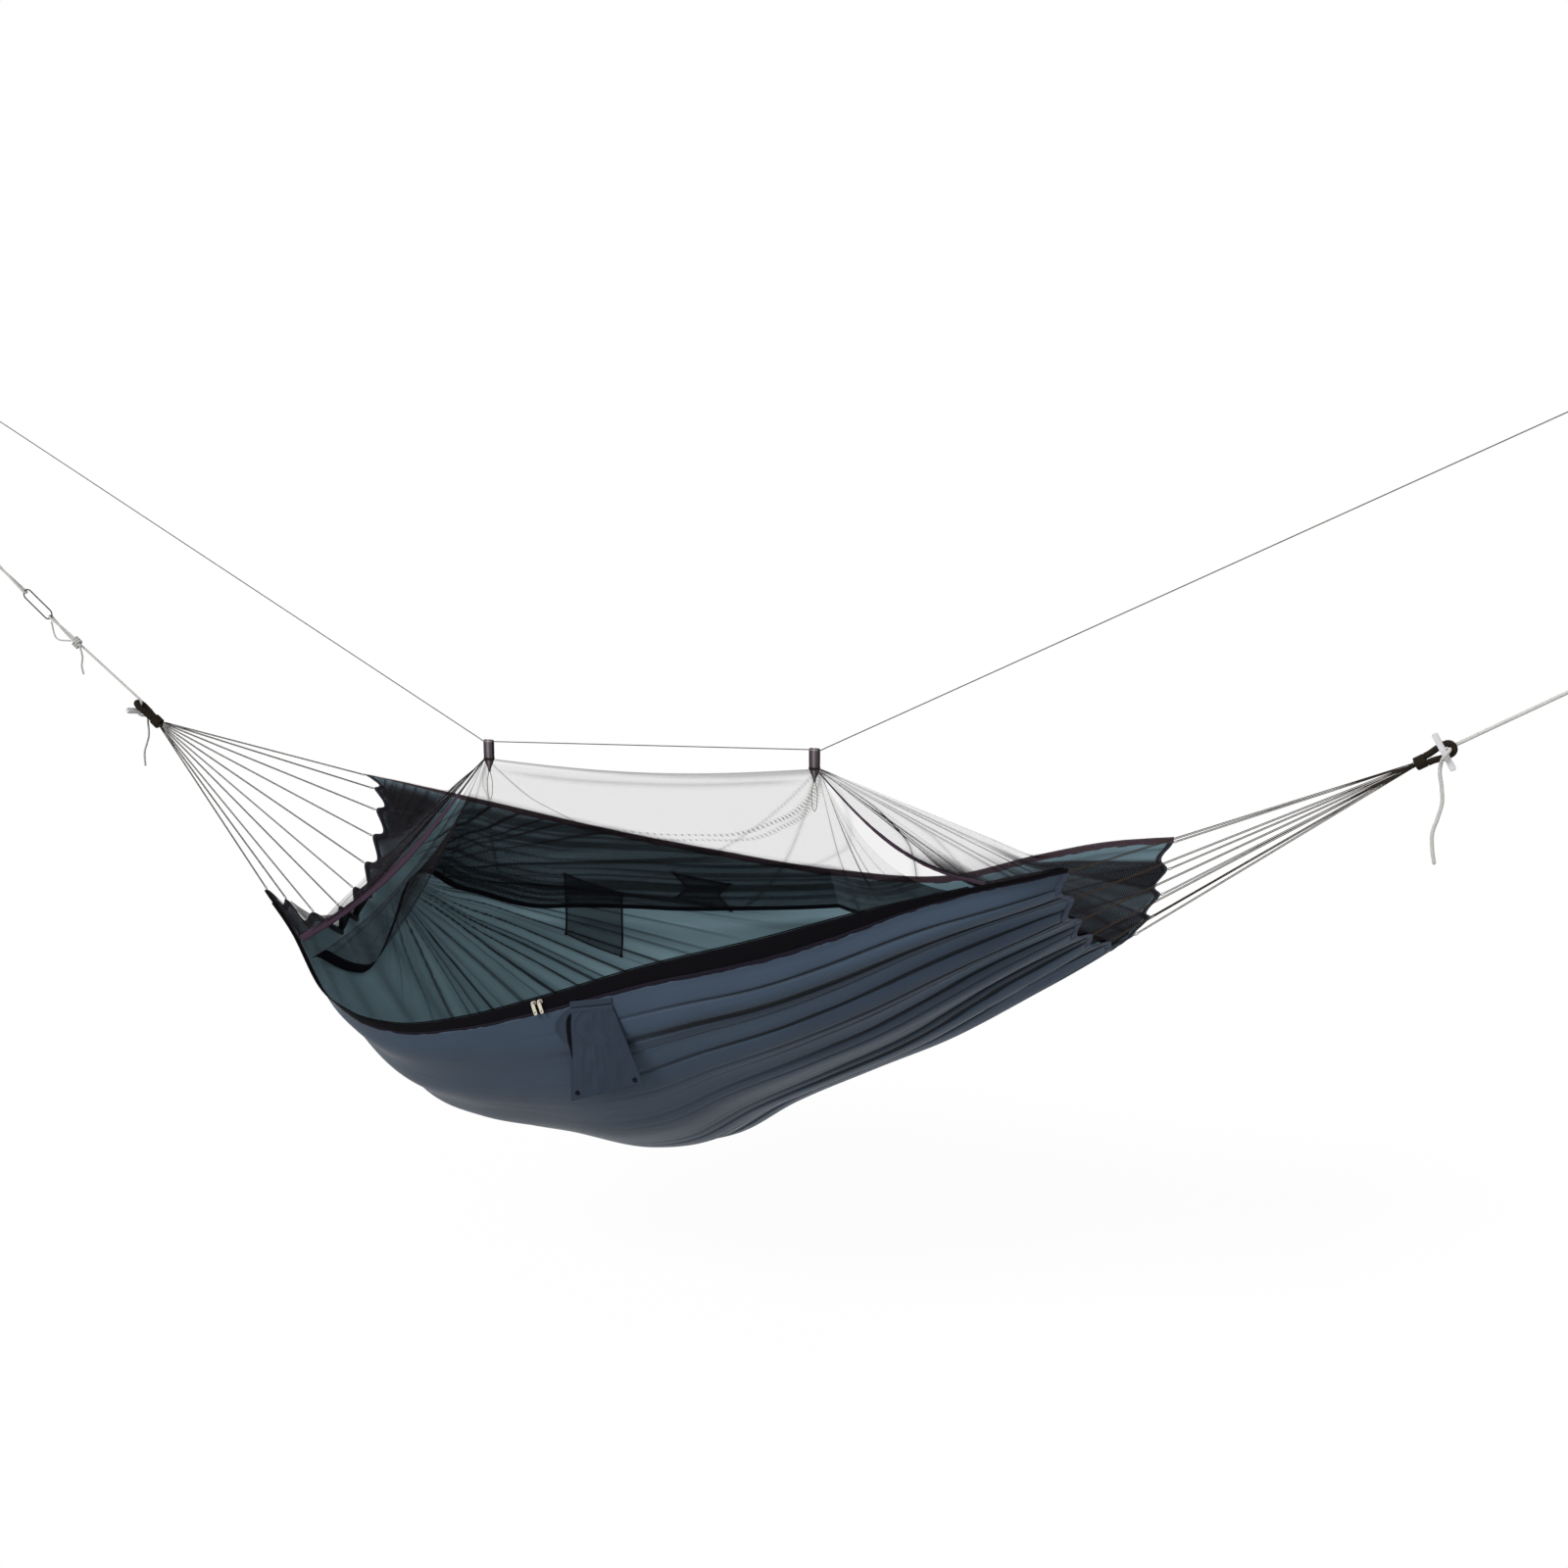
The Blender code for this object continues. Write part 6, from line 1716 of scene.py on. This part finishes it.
@dataclass
class HeadTie:
    """Head main rope with its adjuster: tree rope, dark link, knot, slack loop and loose ends."""

    hang: Hang = HANG
    rope: float = 0.0050
    gap: float = 0.3 * MM
    clear: float = 0.8 * MM
    toggle_lean: float = math.radians(15.0)
    link: float = 0.0030
    link_start: float = 0.200
    link_length: float = 0.090
    link_width: float = 0.022
    strand_half: float = 0.0044
    knot_turns: int = 3
    knot_reach: float = 0.093
    loop: float = 0.0035
    loop_bulge: float = 0.021
    knot_tail: float = 0.060

    def twisted(self, start: Array, span: Array, radius: Pair, turn: float) -> Array:
        """Strand whose offset turns by a quarter on its way: start + t span + r(t) (cos, sin) turned."""
        t = even(31)[:, None]
        angle = turn + pi / 2 * t
        offset = SIDE * np.cos(angle) + self.upright * np.sin(angle)
        return start + span * t + offset * mix(radius[0], radius[1], t)

    def make(self) -> None:
        """Make the head's fitting, its ropes and its adjuster."""
        hang, pull = self.hang, self.hang.head_pull
        self.upright = unit(np.cross(pull, SIDE))
        axis = unit(pull * math.sin(self.toggle_lean) - SIDE * math.cos(self.toggle_lean))
        fitting = EndFitting(End.HEAD, hang.head_eye, pull, axis, self.rope, 0.0140)
        hitch = fitting.hitch
        fitting.make_tail("head_tail", hitch, 0.105, self.rope, vec(-0.16, 0, 0))

        bight_r = (self.link + self.rope) / 2 + self.clear
        link_top = -pull * (self.link_start + self.link / 2)
        link_low = -pull * (self.link_start + self.link_length - self.link / 2)
        middle, radius = (link_top + link_low) / 2, self.link_width / 2
        half_long = (self.link_length - self.link) / 2 - radius
        ends = [arc(middle + pull * half_long * side, pull, self.upright, radius, -90 + turn, 90 + turn, 30)
                for side, turn in ((1, 0), (-1, 180))]
        ring = np.concatenate([ends[0], straight(ends[0][-1], ends[1][0])[1:-1], ends[1],
                               straight(ends[1][-1], ends[0][0])[1:-1]])
        strand("head_link", ring, self.link / 2, 14, LINK_CORD, slot="dark_cord", closed=True)

        tree_end = -pull * (hang.tree_loop_radius + self.rope / 2 + self.gap)
        bight = arc(link_top, pull, SIDE, bight_r, -90, -270, 17)
        near = self.twisted(link_top, tree_end - link_top, (bight_r, self.strand_half), pi)
        far = self.twisted(link_top, tree_end - link_top, (bight_r, self.strand_half), 0)
        self.rope_piece("head_tree_rope", np.concatenate([near[::-1], bight[1:-1], far]))
        tree_loop("head_tree_loop", vec(0, 0, 0), pull, self.rope, hang.tree_loop_radius)

        pitch = self.rope + 3 * self.gap
        knot_length = self.knot_turns * pitch
        to_knot = -pull * (self.knot_reach - knot_length)
        half = self.rope / 2 + self.gap
        bight = arc(link_low, pull, SIDE, bight_r, -90, 90, 17)
        main = self.twisted(link_low, to_knot, (bight_r, half), pi)
        back = self.twisted(link_low, to_knot, (bight_r, half), 0)
        past = -pull * (knot_length + pitch)
        low = main[-1] + past
        self.rope_piece("head_rope", np.concatenate([
            hitch[::-1][:-1], straight(hitch[0], low)[:-1], straight(low, main[-1])[:-1], main[::-1],
            bight[1:-1], back, straight(back[-1], back[-1] + past)[1:]]))
        self.make_knot(fitting, link_low + to_knot, half, pitch)
        fitting.make_eye()
        fitting.make_toggle()
        fitting.make_cords()

    def rope_piece(self, name: str, points: Array) -> None:
        """White rope along a route."""
        path = route(points, 1.4 * MM)
        strand(name, path, melted(path, self.rope / 2), 16, WHITE_ROPE)

    def make_knot(self, fitting: EndFitting, start: Array, half: float, pitch: float) -> None:
        """Winding that grips the two strands of the rope, its slack loop and its loose end.

        Args:
            fitting: the fitting at this end, which makes loose ends.
            start: upper end of the winding's axis.
            half: half the distance between the two strands.
            pitch: from one turn to the next.
        """
        pull = self.hang.head_pull
        wide = half + 1.06 * (self.rope + self.clear)
        deep = 1.12 * (self.rope + self.clear)
        count = self.knot_turns * 14
        turn = (pi - 2 * pi * np.arange(count + 1) / 14)[:, None]
        climb = pull * pitch * (np.arange(count + 1) / 14)[:, None]
        points = start - climb + SIDE * deep * np.cos(turn) - self.upright * wide * np.sin(turn)
        path = route(points, 1.0 * MM)
        strand("head_knot", path, melted(path, self.rope / 2), 16, WHITE_ROPE, form="wound")
        fitting.make_tail("head_knot_tail", points, self.knot_tail, self.rope * 0.86, vec(0.05, 0, 0))
        beside = self.upright * (half + self.rope / 2 + self.loop / 2 + self.gap)
        low = start + pull * ((self.rope + self.loop) / 2 + self.gap) + beside
        high = start + pull * (self.knot_reach - self.knot_turns * pitch - self.link_width / 4) + beside
        crown = (low + high) / 2 + self.upright * self.loop_bulge
        bow = hermite(np.array([0.0, 0.5, 1.0]), np.stack([low, crown, high]), even(60))
        path = route(bow, 1.0 * MM)
        strand("head_knot_loop", path, melted(path, self.loop / 2), 12, WHITE_ROPE)


@dataclass
class RidgeLine:
    """Ridge line with its end loops, and the two webbing tabs on it with the cords tied under them."""

    hang: Hang = HANG
    cord: float = 0.0022
    tab_width: float = 0.021
    tab_thickness: float = 0.010
    tab_head: float = 0.004
    band_drop: float = 0.034
    tab_length: float = 0.064
    tip_width: float = 0.0045
    webbing: float = 1.7 * MM
    tie_turns: int = 3
    tie_thread: float = 1.5 * MM
    inner_cord: float = 0.0016
    inner_length: float = 0.058
    inner_width: float = 0.012

    def make(self) -> None:
        """Make the line, its loops, the tabs and their cords."""
        hang = self.hang
        anchors = (UP * hang.ridge_head_rise, hang.foot_anchor + UP * hang.ridge_foot_rise)
        reach = hang.ridge_loop_radius + self.cord / 2 + 0.3 * MM
        half = vec(self.tab_width / 2 + 1.8 * MM, 0, 0)
        line = [hang.head_tab - half, hang.head_tab + half, hang.foot_tab - half, hang.foot_tab + half]
        ways = (unit(line[0] - anchors[0]), unit(line[-1] - anchors[1]))
        stops = [anchors[0] + ways[0] * reach, *line, anchors[1] + ways[1] * reach]
        points = np.concatenate([straight(a, b)[:-1] for a, b in zip(stops, stops[1:])] + [[stops[-1]]])
        path = route(points, 2.5 * MM)
        strand("ridge_line", path, self.cord / 2, 10, RIDGE_CORD, Body.SUPPORT, "ridge_cord")
        for name, middle, way in zip(("head_ridge_loop", "foot_ridge_loop"), anchors, ways):
            ring = arc(middle, way, np.cross(way, SIDE), hang.ridge_loop_radius, 0, 360, 73)[:-1]
            strand(name, ring, self.cord / 2, 10, RIDGE_CORD, Body.SUPPORT, "ridge_cord", closed=True)
        for end, top in ((End.HEAD, hang.head_tab), (End.FOOT, hang.foot_tab)):
            self.make_tab(end.value, top)
            self.make_inner_cord(end.value, top - UP * (self.tab_length + 0.3 * MM))

    def make_tab(self, label: str, top: Array) -> None:
        """Webbing folded over the line: two legs that meet and draw in where the net is gathered to them.

        The strap's line goes up the near leg, round the ridge line as half a circle, and down the far leg,
        and its width narrows in a smooth step below the tie.

        Args:
            label: which end.
            top: where the ridge line crosses it.
        """
        spread = self.tab_thickness / 2 - self.webbing / 2
        over = self.tab_head - self.webbing / 2
        down = np.linspace(-self.tab_length, 0.6 * MM - over, 70)
        leg_y = mix(self.webbing * 0.62, spread, ease(-self.tab_length, -self.band_drop * 0.6, down))
        angle = np.linspace(0, pi, 24)[1:-1]
        y = np.concatenate([-leg_y, -spread * np.cos(angle), leg_y[::-1]])
        z = np.concatenate([down, 0.6 * MM - over + (2 * over - 0.6 * MM) * np.sin(angle), down[::-1]])
        narrow = mix(self.tip_width / self.tab_width, 1.0, ease(-self.tab_length, -self.band_drop, z))
        across = np.linspace(-0.5, 0.5, 15)
        x = across[None, :] * self.tab_width * narrow[:, None] * 0.985
        fold = 0.9 * MM * np.cos(across[None, :] * 5 * pi) * (1 - narrow[:, None])
        line = np.stack([0 * y, y, z], 1)
        ahead = unit(np.gradient(line, axis=0))
        out = np.stack([0 * y, -ahead[:, 2], ahead[:, 1]], 1)
        points = top + line[:, None] + out[:, None] * fold[..., None] + np.stack([x, 0 * x, 0 * x], -1)
        normals = np.broadcast_to(out[:, None], points.shape)
        strap = band(label + "_tab_webbing", points, normals, self.webbing, self.tab_width)
        dress(strap, WEBBING, Body.SUPPORT, "webbing", label + "_ridge_tab")
        self.make_tie(label, top - UP * (self.band_drop + 2.2 * MM))

    def make_tie(self, label: str, middle: Array) -> None:
        """Thread wound round the tab where the net begins, drawn in flat over the webbing."""
        turn = np.linspace(0, 2 * pi * self.tie_turns, 200)[:, None]
        wide, deep = self.tab_width / 2 + 0.4 * MM, self.tab_thickness / 2 + 0.6 * MM
        x, y = wide * rounded(np.cos(turn), 0.55), deep * rounded(np.sin(turn), 0.55)
        path = middle + np.concatenate([x, y, 1.65 * MM * (self.tie_turns - turn / pi) / 2], 1)
        tie = tube(label + "_tab_tie", route(path, 0.9 * MM), self.tie_thread / 2, 8)
        dress(tie, WHIPPING, Body.SUPPORT, "whipping")

    def make_inner_cord(self, label: str, top: Array) -> None:
        """Loop of thin cord that hangs from the tab's tip."""
        side, low = vec(self.inner_width / 2, 0, 0), UP * self.inner_length
        near = vec(self.inner_cord, 0, 0)
        one, two = near + side * 0.7, side * 0.8
        points = np.array([top - near, top - one - low * 0.35, top - two - low * 0.8, top - low,
                           top + two - low * 0.8, top + one - low * 0.35, top + near])
        path = route(hermite(even(7), points, even(90)), 0.8 * MM)
        cord = strand(label + "_inner_cord", path, self.inner_cord / 2, 10, BEIGE_CORD, Body.SUPPORT,
                      "beige_cord")


def lozenge(name: str, middle: Array, axes: tuple[Array, Array, Array], size: Trio,
            power: float, bevel: float) -> Piece:
    """Flat plate with a superellipse outline and rounded edges.

    The outline is (|cos|^p, |sin|^p) with signs kept. It is carried through the plate's thickness, drawn in
    at both faces by a quarter of a circle, and both faces are closed.

    Args:
        name: the piece's name.
        middle: its centre.
        axes: directions of its length, width and thickness.
        size: full length, width and thickness.
        power: 1 for an ellipse, towards 0 for a rectangle.
        bevel: radius of the edges.

    Returns:
        The plate.
    """
    turn = np.linspace(0, 2 * pi, 64, endpoint=False)
    outline = [rounded(np.cos(turn), power), rounded(np.sin(turn), power)]
    angle = np.linspace(0, pi / 2, 6)
    inset = bevel * (1 - np.sin(angle))
    level = size[2] / 2 - bevel + bevel * np.cos(angle)
    inset, level = np.concatenate([inset, inset[::-1]]), np.concatenate([level, -level[::-1]])
    half = [size[k] / 2 - inset for k in (0, 1)]
    points = (middle + axes[0] * (half[0][:, None] * outline[0])[..., None]
              + axes[1] * (half[1][:, None] * outline[1])[..., None] + axes[2] * level[:, None, None])
    return surface(name, points, None, (False, True), caps=True)


@dataclass
class ZipPull:
    """One zip slider on the zip band, with its pull hanging from the slider's bail."""

    end: End
    run: float
    shape: BedShape = SHAPE
    slider_size: Trio = (0.0110, 0.0085, 0.0040)
    slider_drop: float = 0.0075
    seat: float = 1.1 * MM
    wire: float = 0.0016
    bail_reach: float = 0.0030
    bail_span: float = 0.0062
    pull_size: Trio = (0.0240, 0.0075, 0.0012)
    eye_radius: float = 0.0021

    def make(self) -> None:
        """Make the slider and its pull."""
        run = np.array(self.run)
        lap = self.shape.edge_lap(run, -1, self.slider_drop)
        out = -self.shape.inward(run, lap)
        ahead = unit(self.shape.along_run(run, lap))
        up = unit(np.cross(ahead, out))
        up = up if up[2] > 0 else -up
        seat = self.shape.skin(run, lap) + out * self.seat
        label = self.end.value
        long, high, deep = self.slider_size
        axes = (ahead, up, out)
        size = (long, high, deep * 0.58)
        base = lozenge("slider_base", seat + out * deep * 0.30, axes, size, 0.55, 0.8 * MM)
        size = (long * 0.8, high * 0.5, deep * 0.54)
        crown = lozenge("slider_crown", seat + out * deep * 0.72, axes, size, 0.6, 0.9 * MM)
        bar = seat + out * (deep + self.bail_reach) + up * high * 0.2
        foot = out * (self.bail_reach + self.wire)
        half = ahead * self.bail_span / 2
        bend = route([bar - half - foot, bar - half - foot * 0.3, bar - half * 0.7, bar, bar + half * 0.7,
                      bar + half - foot * 0.3, bar + half - foot], 0.25 * MM)
        bail = tube("bail", bend, self.wire / 2, 10)
        slider = join(f"{label}_zip_slider_cast", [base, crown, bail])
        body = Body.HEAD_SLIDER if self.end is End.HEAD else Body.FOOT_SLIDER
        dress(slider, SLIDER, body, "zip_metal", f"zip_slider_{label}")

        down = unit(ahead * UP.dot(ahead) - UP)
        face = unit(np.cross(ahead, down))
        length, width, thick = self.pull_size
        start = self.eye_radius * 0.6
        middle = bar + down * (start + (length - start) / 2)
        plate = lozenge("plate", middle, (down, ahead, face), (length - start, width, thick), 0.32, 0.45 * MM)
        barrel_half = ahead * (self.bail_span - self.wire - 1.2 * MM) / 2
        axis = straight(bar - barrel_half, bar + barrel_half, 0.3 * MM)
        barrel = tube("barrel", axis, self.eye_radius * 0.97, 20)
        axes = (down, ahead, face)
        size = (length * 0.42, width * 0.62, thick * 1.5)
        ridge = lozenge("ridge", middle + down * length * 0.20, axes, size, 0.4, 0.5 * MM)
        pull = join(f"{label}_zip_pull_moulded", [plate, barrel, ridge])
        body = Body.HEAD_PULL if self.end is End.HEAD else Body.FOOT_PULL
        dress(pull, PULL, body, "zip_metal", f"zip_pull_{label}")
        size = (3.0 * MM, 2.6 * MM, thick * 1.9)
        hole = lozenge(f"{label}_zip_pull_hole", middle + down * length * 0.26, axes, size, 1.0, 0.3 * MM)
        dress(hole, ZIP_COIL, body, "zip_tape")


@dataclass
class Pouch:
    """Stow pouch: a soft flat bag that hangs by its top edge, with a piped rim and two eyelets below."""

    shape: BedShape = SHAPE
    top_width: float = 0.088
    foot_width: float = 0.156
    height: float = 0.180
    gusset: float = 0.040
    gape: float = 0.011
    edge: float = 2.2 * MM
    puffs: Pair = (4.2 * MM, 0.8 * MM)
    share: float = 0.442
    drop: float = 0.0125
    mount: float = 0.015
    stand_off: float = 0.5 * MM
    cloth: float = 0.8 * MM
    slopes: Pair = (0.20, 0.34)
    bulge: float = 0.42
    mouth: Pair = (0.06, 0.54)
    seam_gap: float = 2.5 * MM

    def frame(self) -> tuple[Array, Array, Array, Array]:
        """Corners of the pouch: top head, top foot, bottom head and bottom foot."""
        run = np.array(self.share)
        depth = self.shape.band_width(run) + self.drop - self.shape.binding_width / 2
        lap = self.shape.edge_lap(run, -1, depth)
        start = self.shape.skin(run, lap) - SIDE * (self.cloth / 2 + self.edge / 2 + self.stand_off)
        stop = start + unit(vec(1, 0, self.slopes[0])) * self.top_width
        low = start - UP * self.height
        return start, stop, low, low + unit(vec(1, 0, self.slopes[1])) * self.foot_width

    def point(self, u: Array, v: Array, side: float, height: Array) -> Array:
        """Point of the bag: u across, v down, and its height off the middle plane to one side."""
        start, stop, low, far = self.frame()
        left = mix(start, low, v[..., None])
        bulge = np.maximum(0, np.sin(pi * np.minimum(v / self.bulge, 1)))
        left = left - vec(1, 0, 0) * (self.gusset * 0.75 * bulge)[..., None]
        return mix(left, mix(stop, far, v[..., None]), u[..., None]) + SIDE * side * height[..., None]

    def relief(self, u: Array, v: Array, side: int) -> Array:
        """Height of the bag off its middle plane: half an edge, a dome, wrinkles and hanging folds in front.

        Args:
            u: share of the way across.
            v: share of the way down.
            side: -1 in front, 1 behind.

        Returns:
            The height.
        """
        dome = np.maximum(0, np.sin(pi * u) * np.sin(pi * v))
        puff = self.puffs[0] if side < 0 else self.puffs[1]
        folds = 2.6 * MM * drift(u * 2.6, v * 1.6, 83, 7.0) * dome ** 0.5 * (1 if side < 0 else 0.15)
        hang = 2.0 * MM * crest(pi * 5 * (u - 0.5) / (0.6 + v) + 1) * dome ** 0.5 * (side < 0)
        return self.edge / 2 + puff * dome + folds + hang

    def make_shaded_mouth(self) -> None:
        """Dark side opening of the bag, between gusset and front: a black sliver of painted shade for its
        dark inside, widest above its middle.
        """
        low, high = self.mouth
        down = mix(low, high, even(60))[:, None]
        across = even(9)[None, :]
        bulge = 0.75 * self.gusset * np.maximum(0, np.sin(pi * np.minimum(down / self.bulge, 1))) + 4.0 * MM
        wide = mix(self.top_width, self.foot_width, down) + bulge
        part = np.clip((down - low) / (high - low), 0, 1)
        gape = self.gape * np.maximum(0, np.sin(pi * part ** 0.6)) ** 0.8
        u = (bulge - gape * (1 - across)) / wide
        v = down + 0 * u
        points = self.point(u, v, -1.0, self.relief(u, v, -1) + 0.5 * MM)
        # Black sliver of painted shade that stands for the shaded inside of the bag
        mouth = band("stow_pouch_mouth_shade", points, np.broadcast_to(-SIDE, points.shape), 0.9 * MM)
        dress(mouth, ZIP_TAPE, Body.POUCH, "zip_tape")

    def make_mount(self) -> None:
        """Strip of the pouch's cloth, sewn flat under the zip band, that the bag hangs from."""
        start, stop, _, _ = self.frame()
        up, across = even(9), even(40)
        line = mix(start, stop, across[:, None]) - SIDE * 0.4 * MM
        ripple = 0.5 * MM * drift(across * 4, 0 * across, 87, 5.0)
        points = line[:, None] + UP * mix(self.seam_gap, self.mount, up)[None, :, None]
        points = points - SIDE * (ripple[:, None] * np.sin(pi * up))[..., None]
        mount = band("stow_pouch_mount", points, np.broadcast_to(-SIDE, points.shape), self.cloth, self.mount)
        dress(mount, POUCH_CLOTH, Body.BED, "bed_cloth")

    def make(self) -> None:
        """Make the strip it hangs from, the bag, its mouth, its piping and its eyelets."""
        self.make_mount()
        v, u = np.meshgrid(even(116), even(110), indexing="ij")
        layers = [self.point(u, v, side, self.relief(u, v, side)) for side in (-1, 1)]
        bag = np.concatenate([layers[0], layers[1][:, ::-1]], 1)
        wide = np.linspace(0, 0.30, 221)
        uv = np.stack(np.meshgrid(np.linspace(0, self.height, 116), wide, indexing="ij"), -1)
        shell = surface("stow_pouch_bag", bag, uv, (False, True), caps=True)
        dress(shell, POUCH_CLOTH, Body.POUCH, "bed_cloth", "stow_pouch")
        self.make_shaded_mouth()
        down, across = even(60), even(40)
        one, none = np.ones(60), np.zeros(60)
        left = self.point(none, down, 0.0, none)
        foot = self.point(across, np.ones(40), 0.0, np.zeros(40))
        right = self.point(one, down[::-1], 0.0, none)
        piping = route(np.concatenate([left, foot[1:-1], right]), 1.2 * MM)
        dress(tube("stow_pouch_piping", piping, 1.35 * MM, 10), POUCH_CLOTH, Body.POUCH, "binding")
        u, v = np.meshgrid(even(60), np.linspace(0, 0.075, 9), indexing="ij")
        top = self.point(u, v, 0.0, 0 * u)
        trim = band("stow_pouch_top_tape", top, np.broadcast_to(-SIDE, top.shape), self.edge * 1.7)
        dress(trim, POUCH_CLOTH, Body.POUCH, "binding")
        for name, u_at in (("head", 0.09), ("foot", 0.92)):
            middle = self.point(np.array(u_at), np.array(0.93), -1.0, np.array(self.edge / 2 + 1.0 * MM))
            ring = arc(middle, vec(1, 0, 0), UP, 3.2 * MM, 0, 360, 41)[:-1]
            eyelet = tube(f"stow_pouch_eyelet_{name}", ring, 1.3 * MM, 12, closed=True)
            dress(eyelet, ZIP_COIL, Body.POUCH, "zip_tape")


@dataclass
class Studio:
    """Camera at the photograph's angle, pale floor and soft plain light."""

    lens: float = 48.98
    floor_height: float = -1.5
    floor_radius: float = 40.0
    world_light: float = 0.40

    def make(self) -> None:
        """Set up the camera, the floor, the lamps and the world."""
        camera = bpy.data.cameras.new("camera")
        camera.lens = self.lens
        camera.sensor_width = 36.0
        camera.clip_end = 200.0
        held = put("camera", camera)
        held.location = STAND
        held.rotation_euler = Vector(AIM - STAND).to_track_quat("-Z", "Y").to_euler()
        bpy.context.scene.camera = held
        bpy.context.scene.view_settings.view_transform = "Standard"
        turn = np.linspace(0, 2 * pi, 96, endpoint=False)
        ring = np.stack([np.cos(turn), np.sin(turn), 0 * turn], 1) * self.floor_radius
        data = bpy.data.meshes.new("floor")
        data.from_pydata(ring + vec(1.75, 0, self.floor_height), [], [list(range(96))])
        floor = put("floor", data)
        floor.data.materials.append(FLOOR.make())
        self.lamp("key", (0.60, 0.85, -0.9), 1.90, 24.0)
        self.lamp("fill", (-0.5, 0.9, -0.6), 0.55, 60.0)
        self.sky()

    def lamp(self, name: str, way: Trio, strength: float, spread: float) -> None:
        """Add a soft sun that shines along a direction."""
        lamp = bpy.data.lights.new(name, "SUN")
        lamp.energy = strength
        lamp.angle = math.radians(spread)
        put(name, lamp).rotation_euler = Vector(way).to_track_quat("-Z", "Y").to_euler()

    def sky(self) -> None:
        """Even pale world: white where it is seen or mirrored, and dimmer as a light."""
        world = bpy.data.worlds.new("studio")
        world.use_nodes = True
        bpy.context.scene.world = world
        on = Pattern(world.node_tree, world.node_tree.nodes["Background"])
        rays = on.add("LightPath").node.outputs
        seen = on.add("Math", (rays["Is Camera Ray"], rays["Is Glossy Ray"]), operation="MAXIMUM")
        seen = on.add("Math", (seen, rays["Is Transmission Ray"]), operation="MAXIMUM")
        on.shader.inputs["Color"].default_value = linear("#ffffff")
        on.join(on.add("MapRange", {"Value": seen, "To Min": self.world_light, "To Max": 1.0}), "Strength")


def main() -> None:
    """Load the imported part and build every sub-assembly round it."""
    logging.basicConfig(level=logging.INFO, format="%(name)s: %(message)s")
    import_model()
    Studio().make()
    FootTie().make()
    HeadTie().make()
    RidgeLine().make()
    Bed().make()
    Net().make()
    ZipPull(End.HEAD, 0.3965).make()
    ZipPull(End.FOOT, 0.4045).make()
    Pouch().make()
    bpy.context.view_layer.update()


if __name__ == "__main__":
    main()
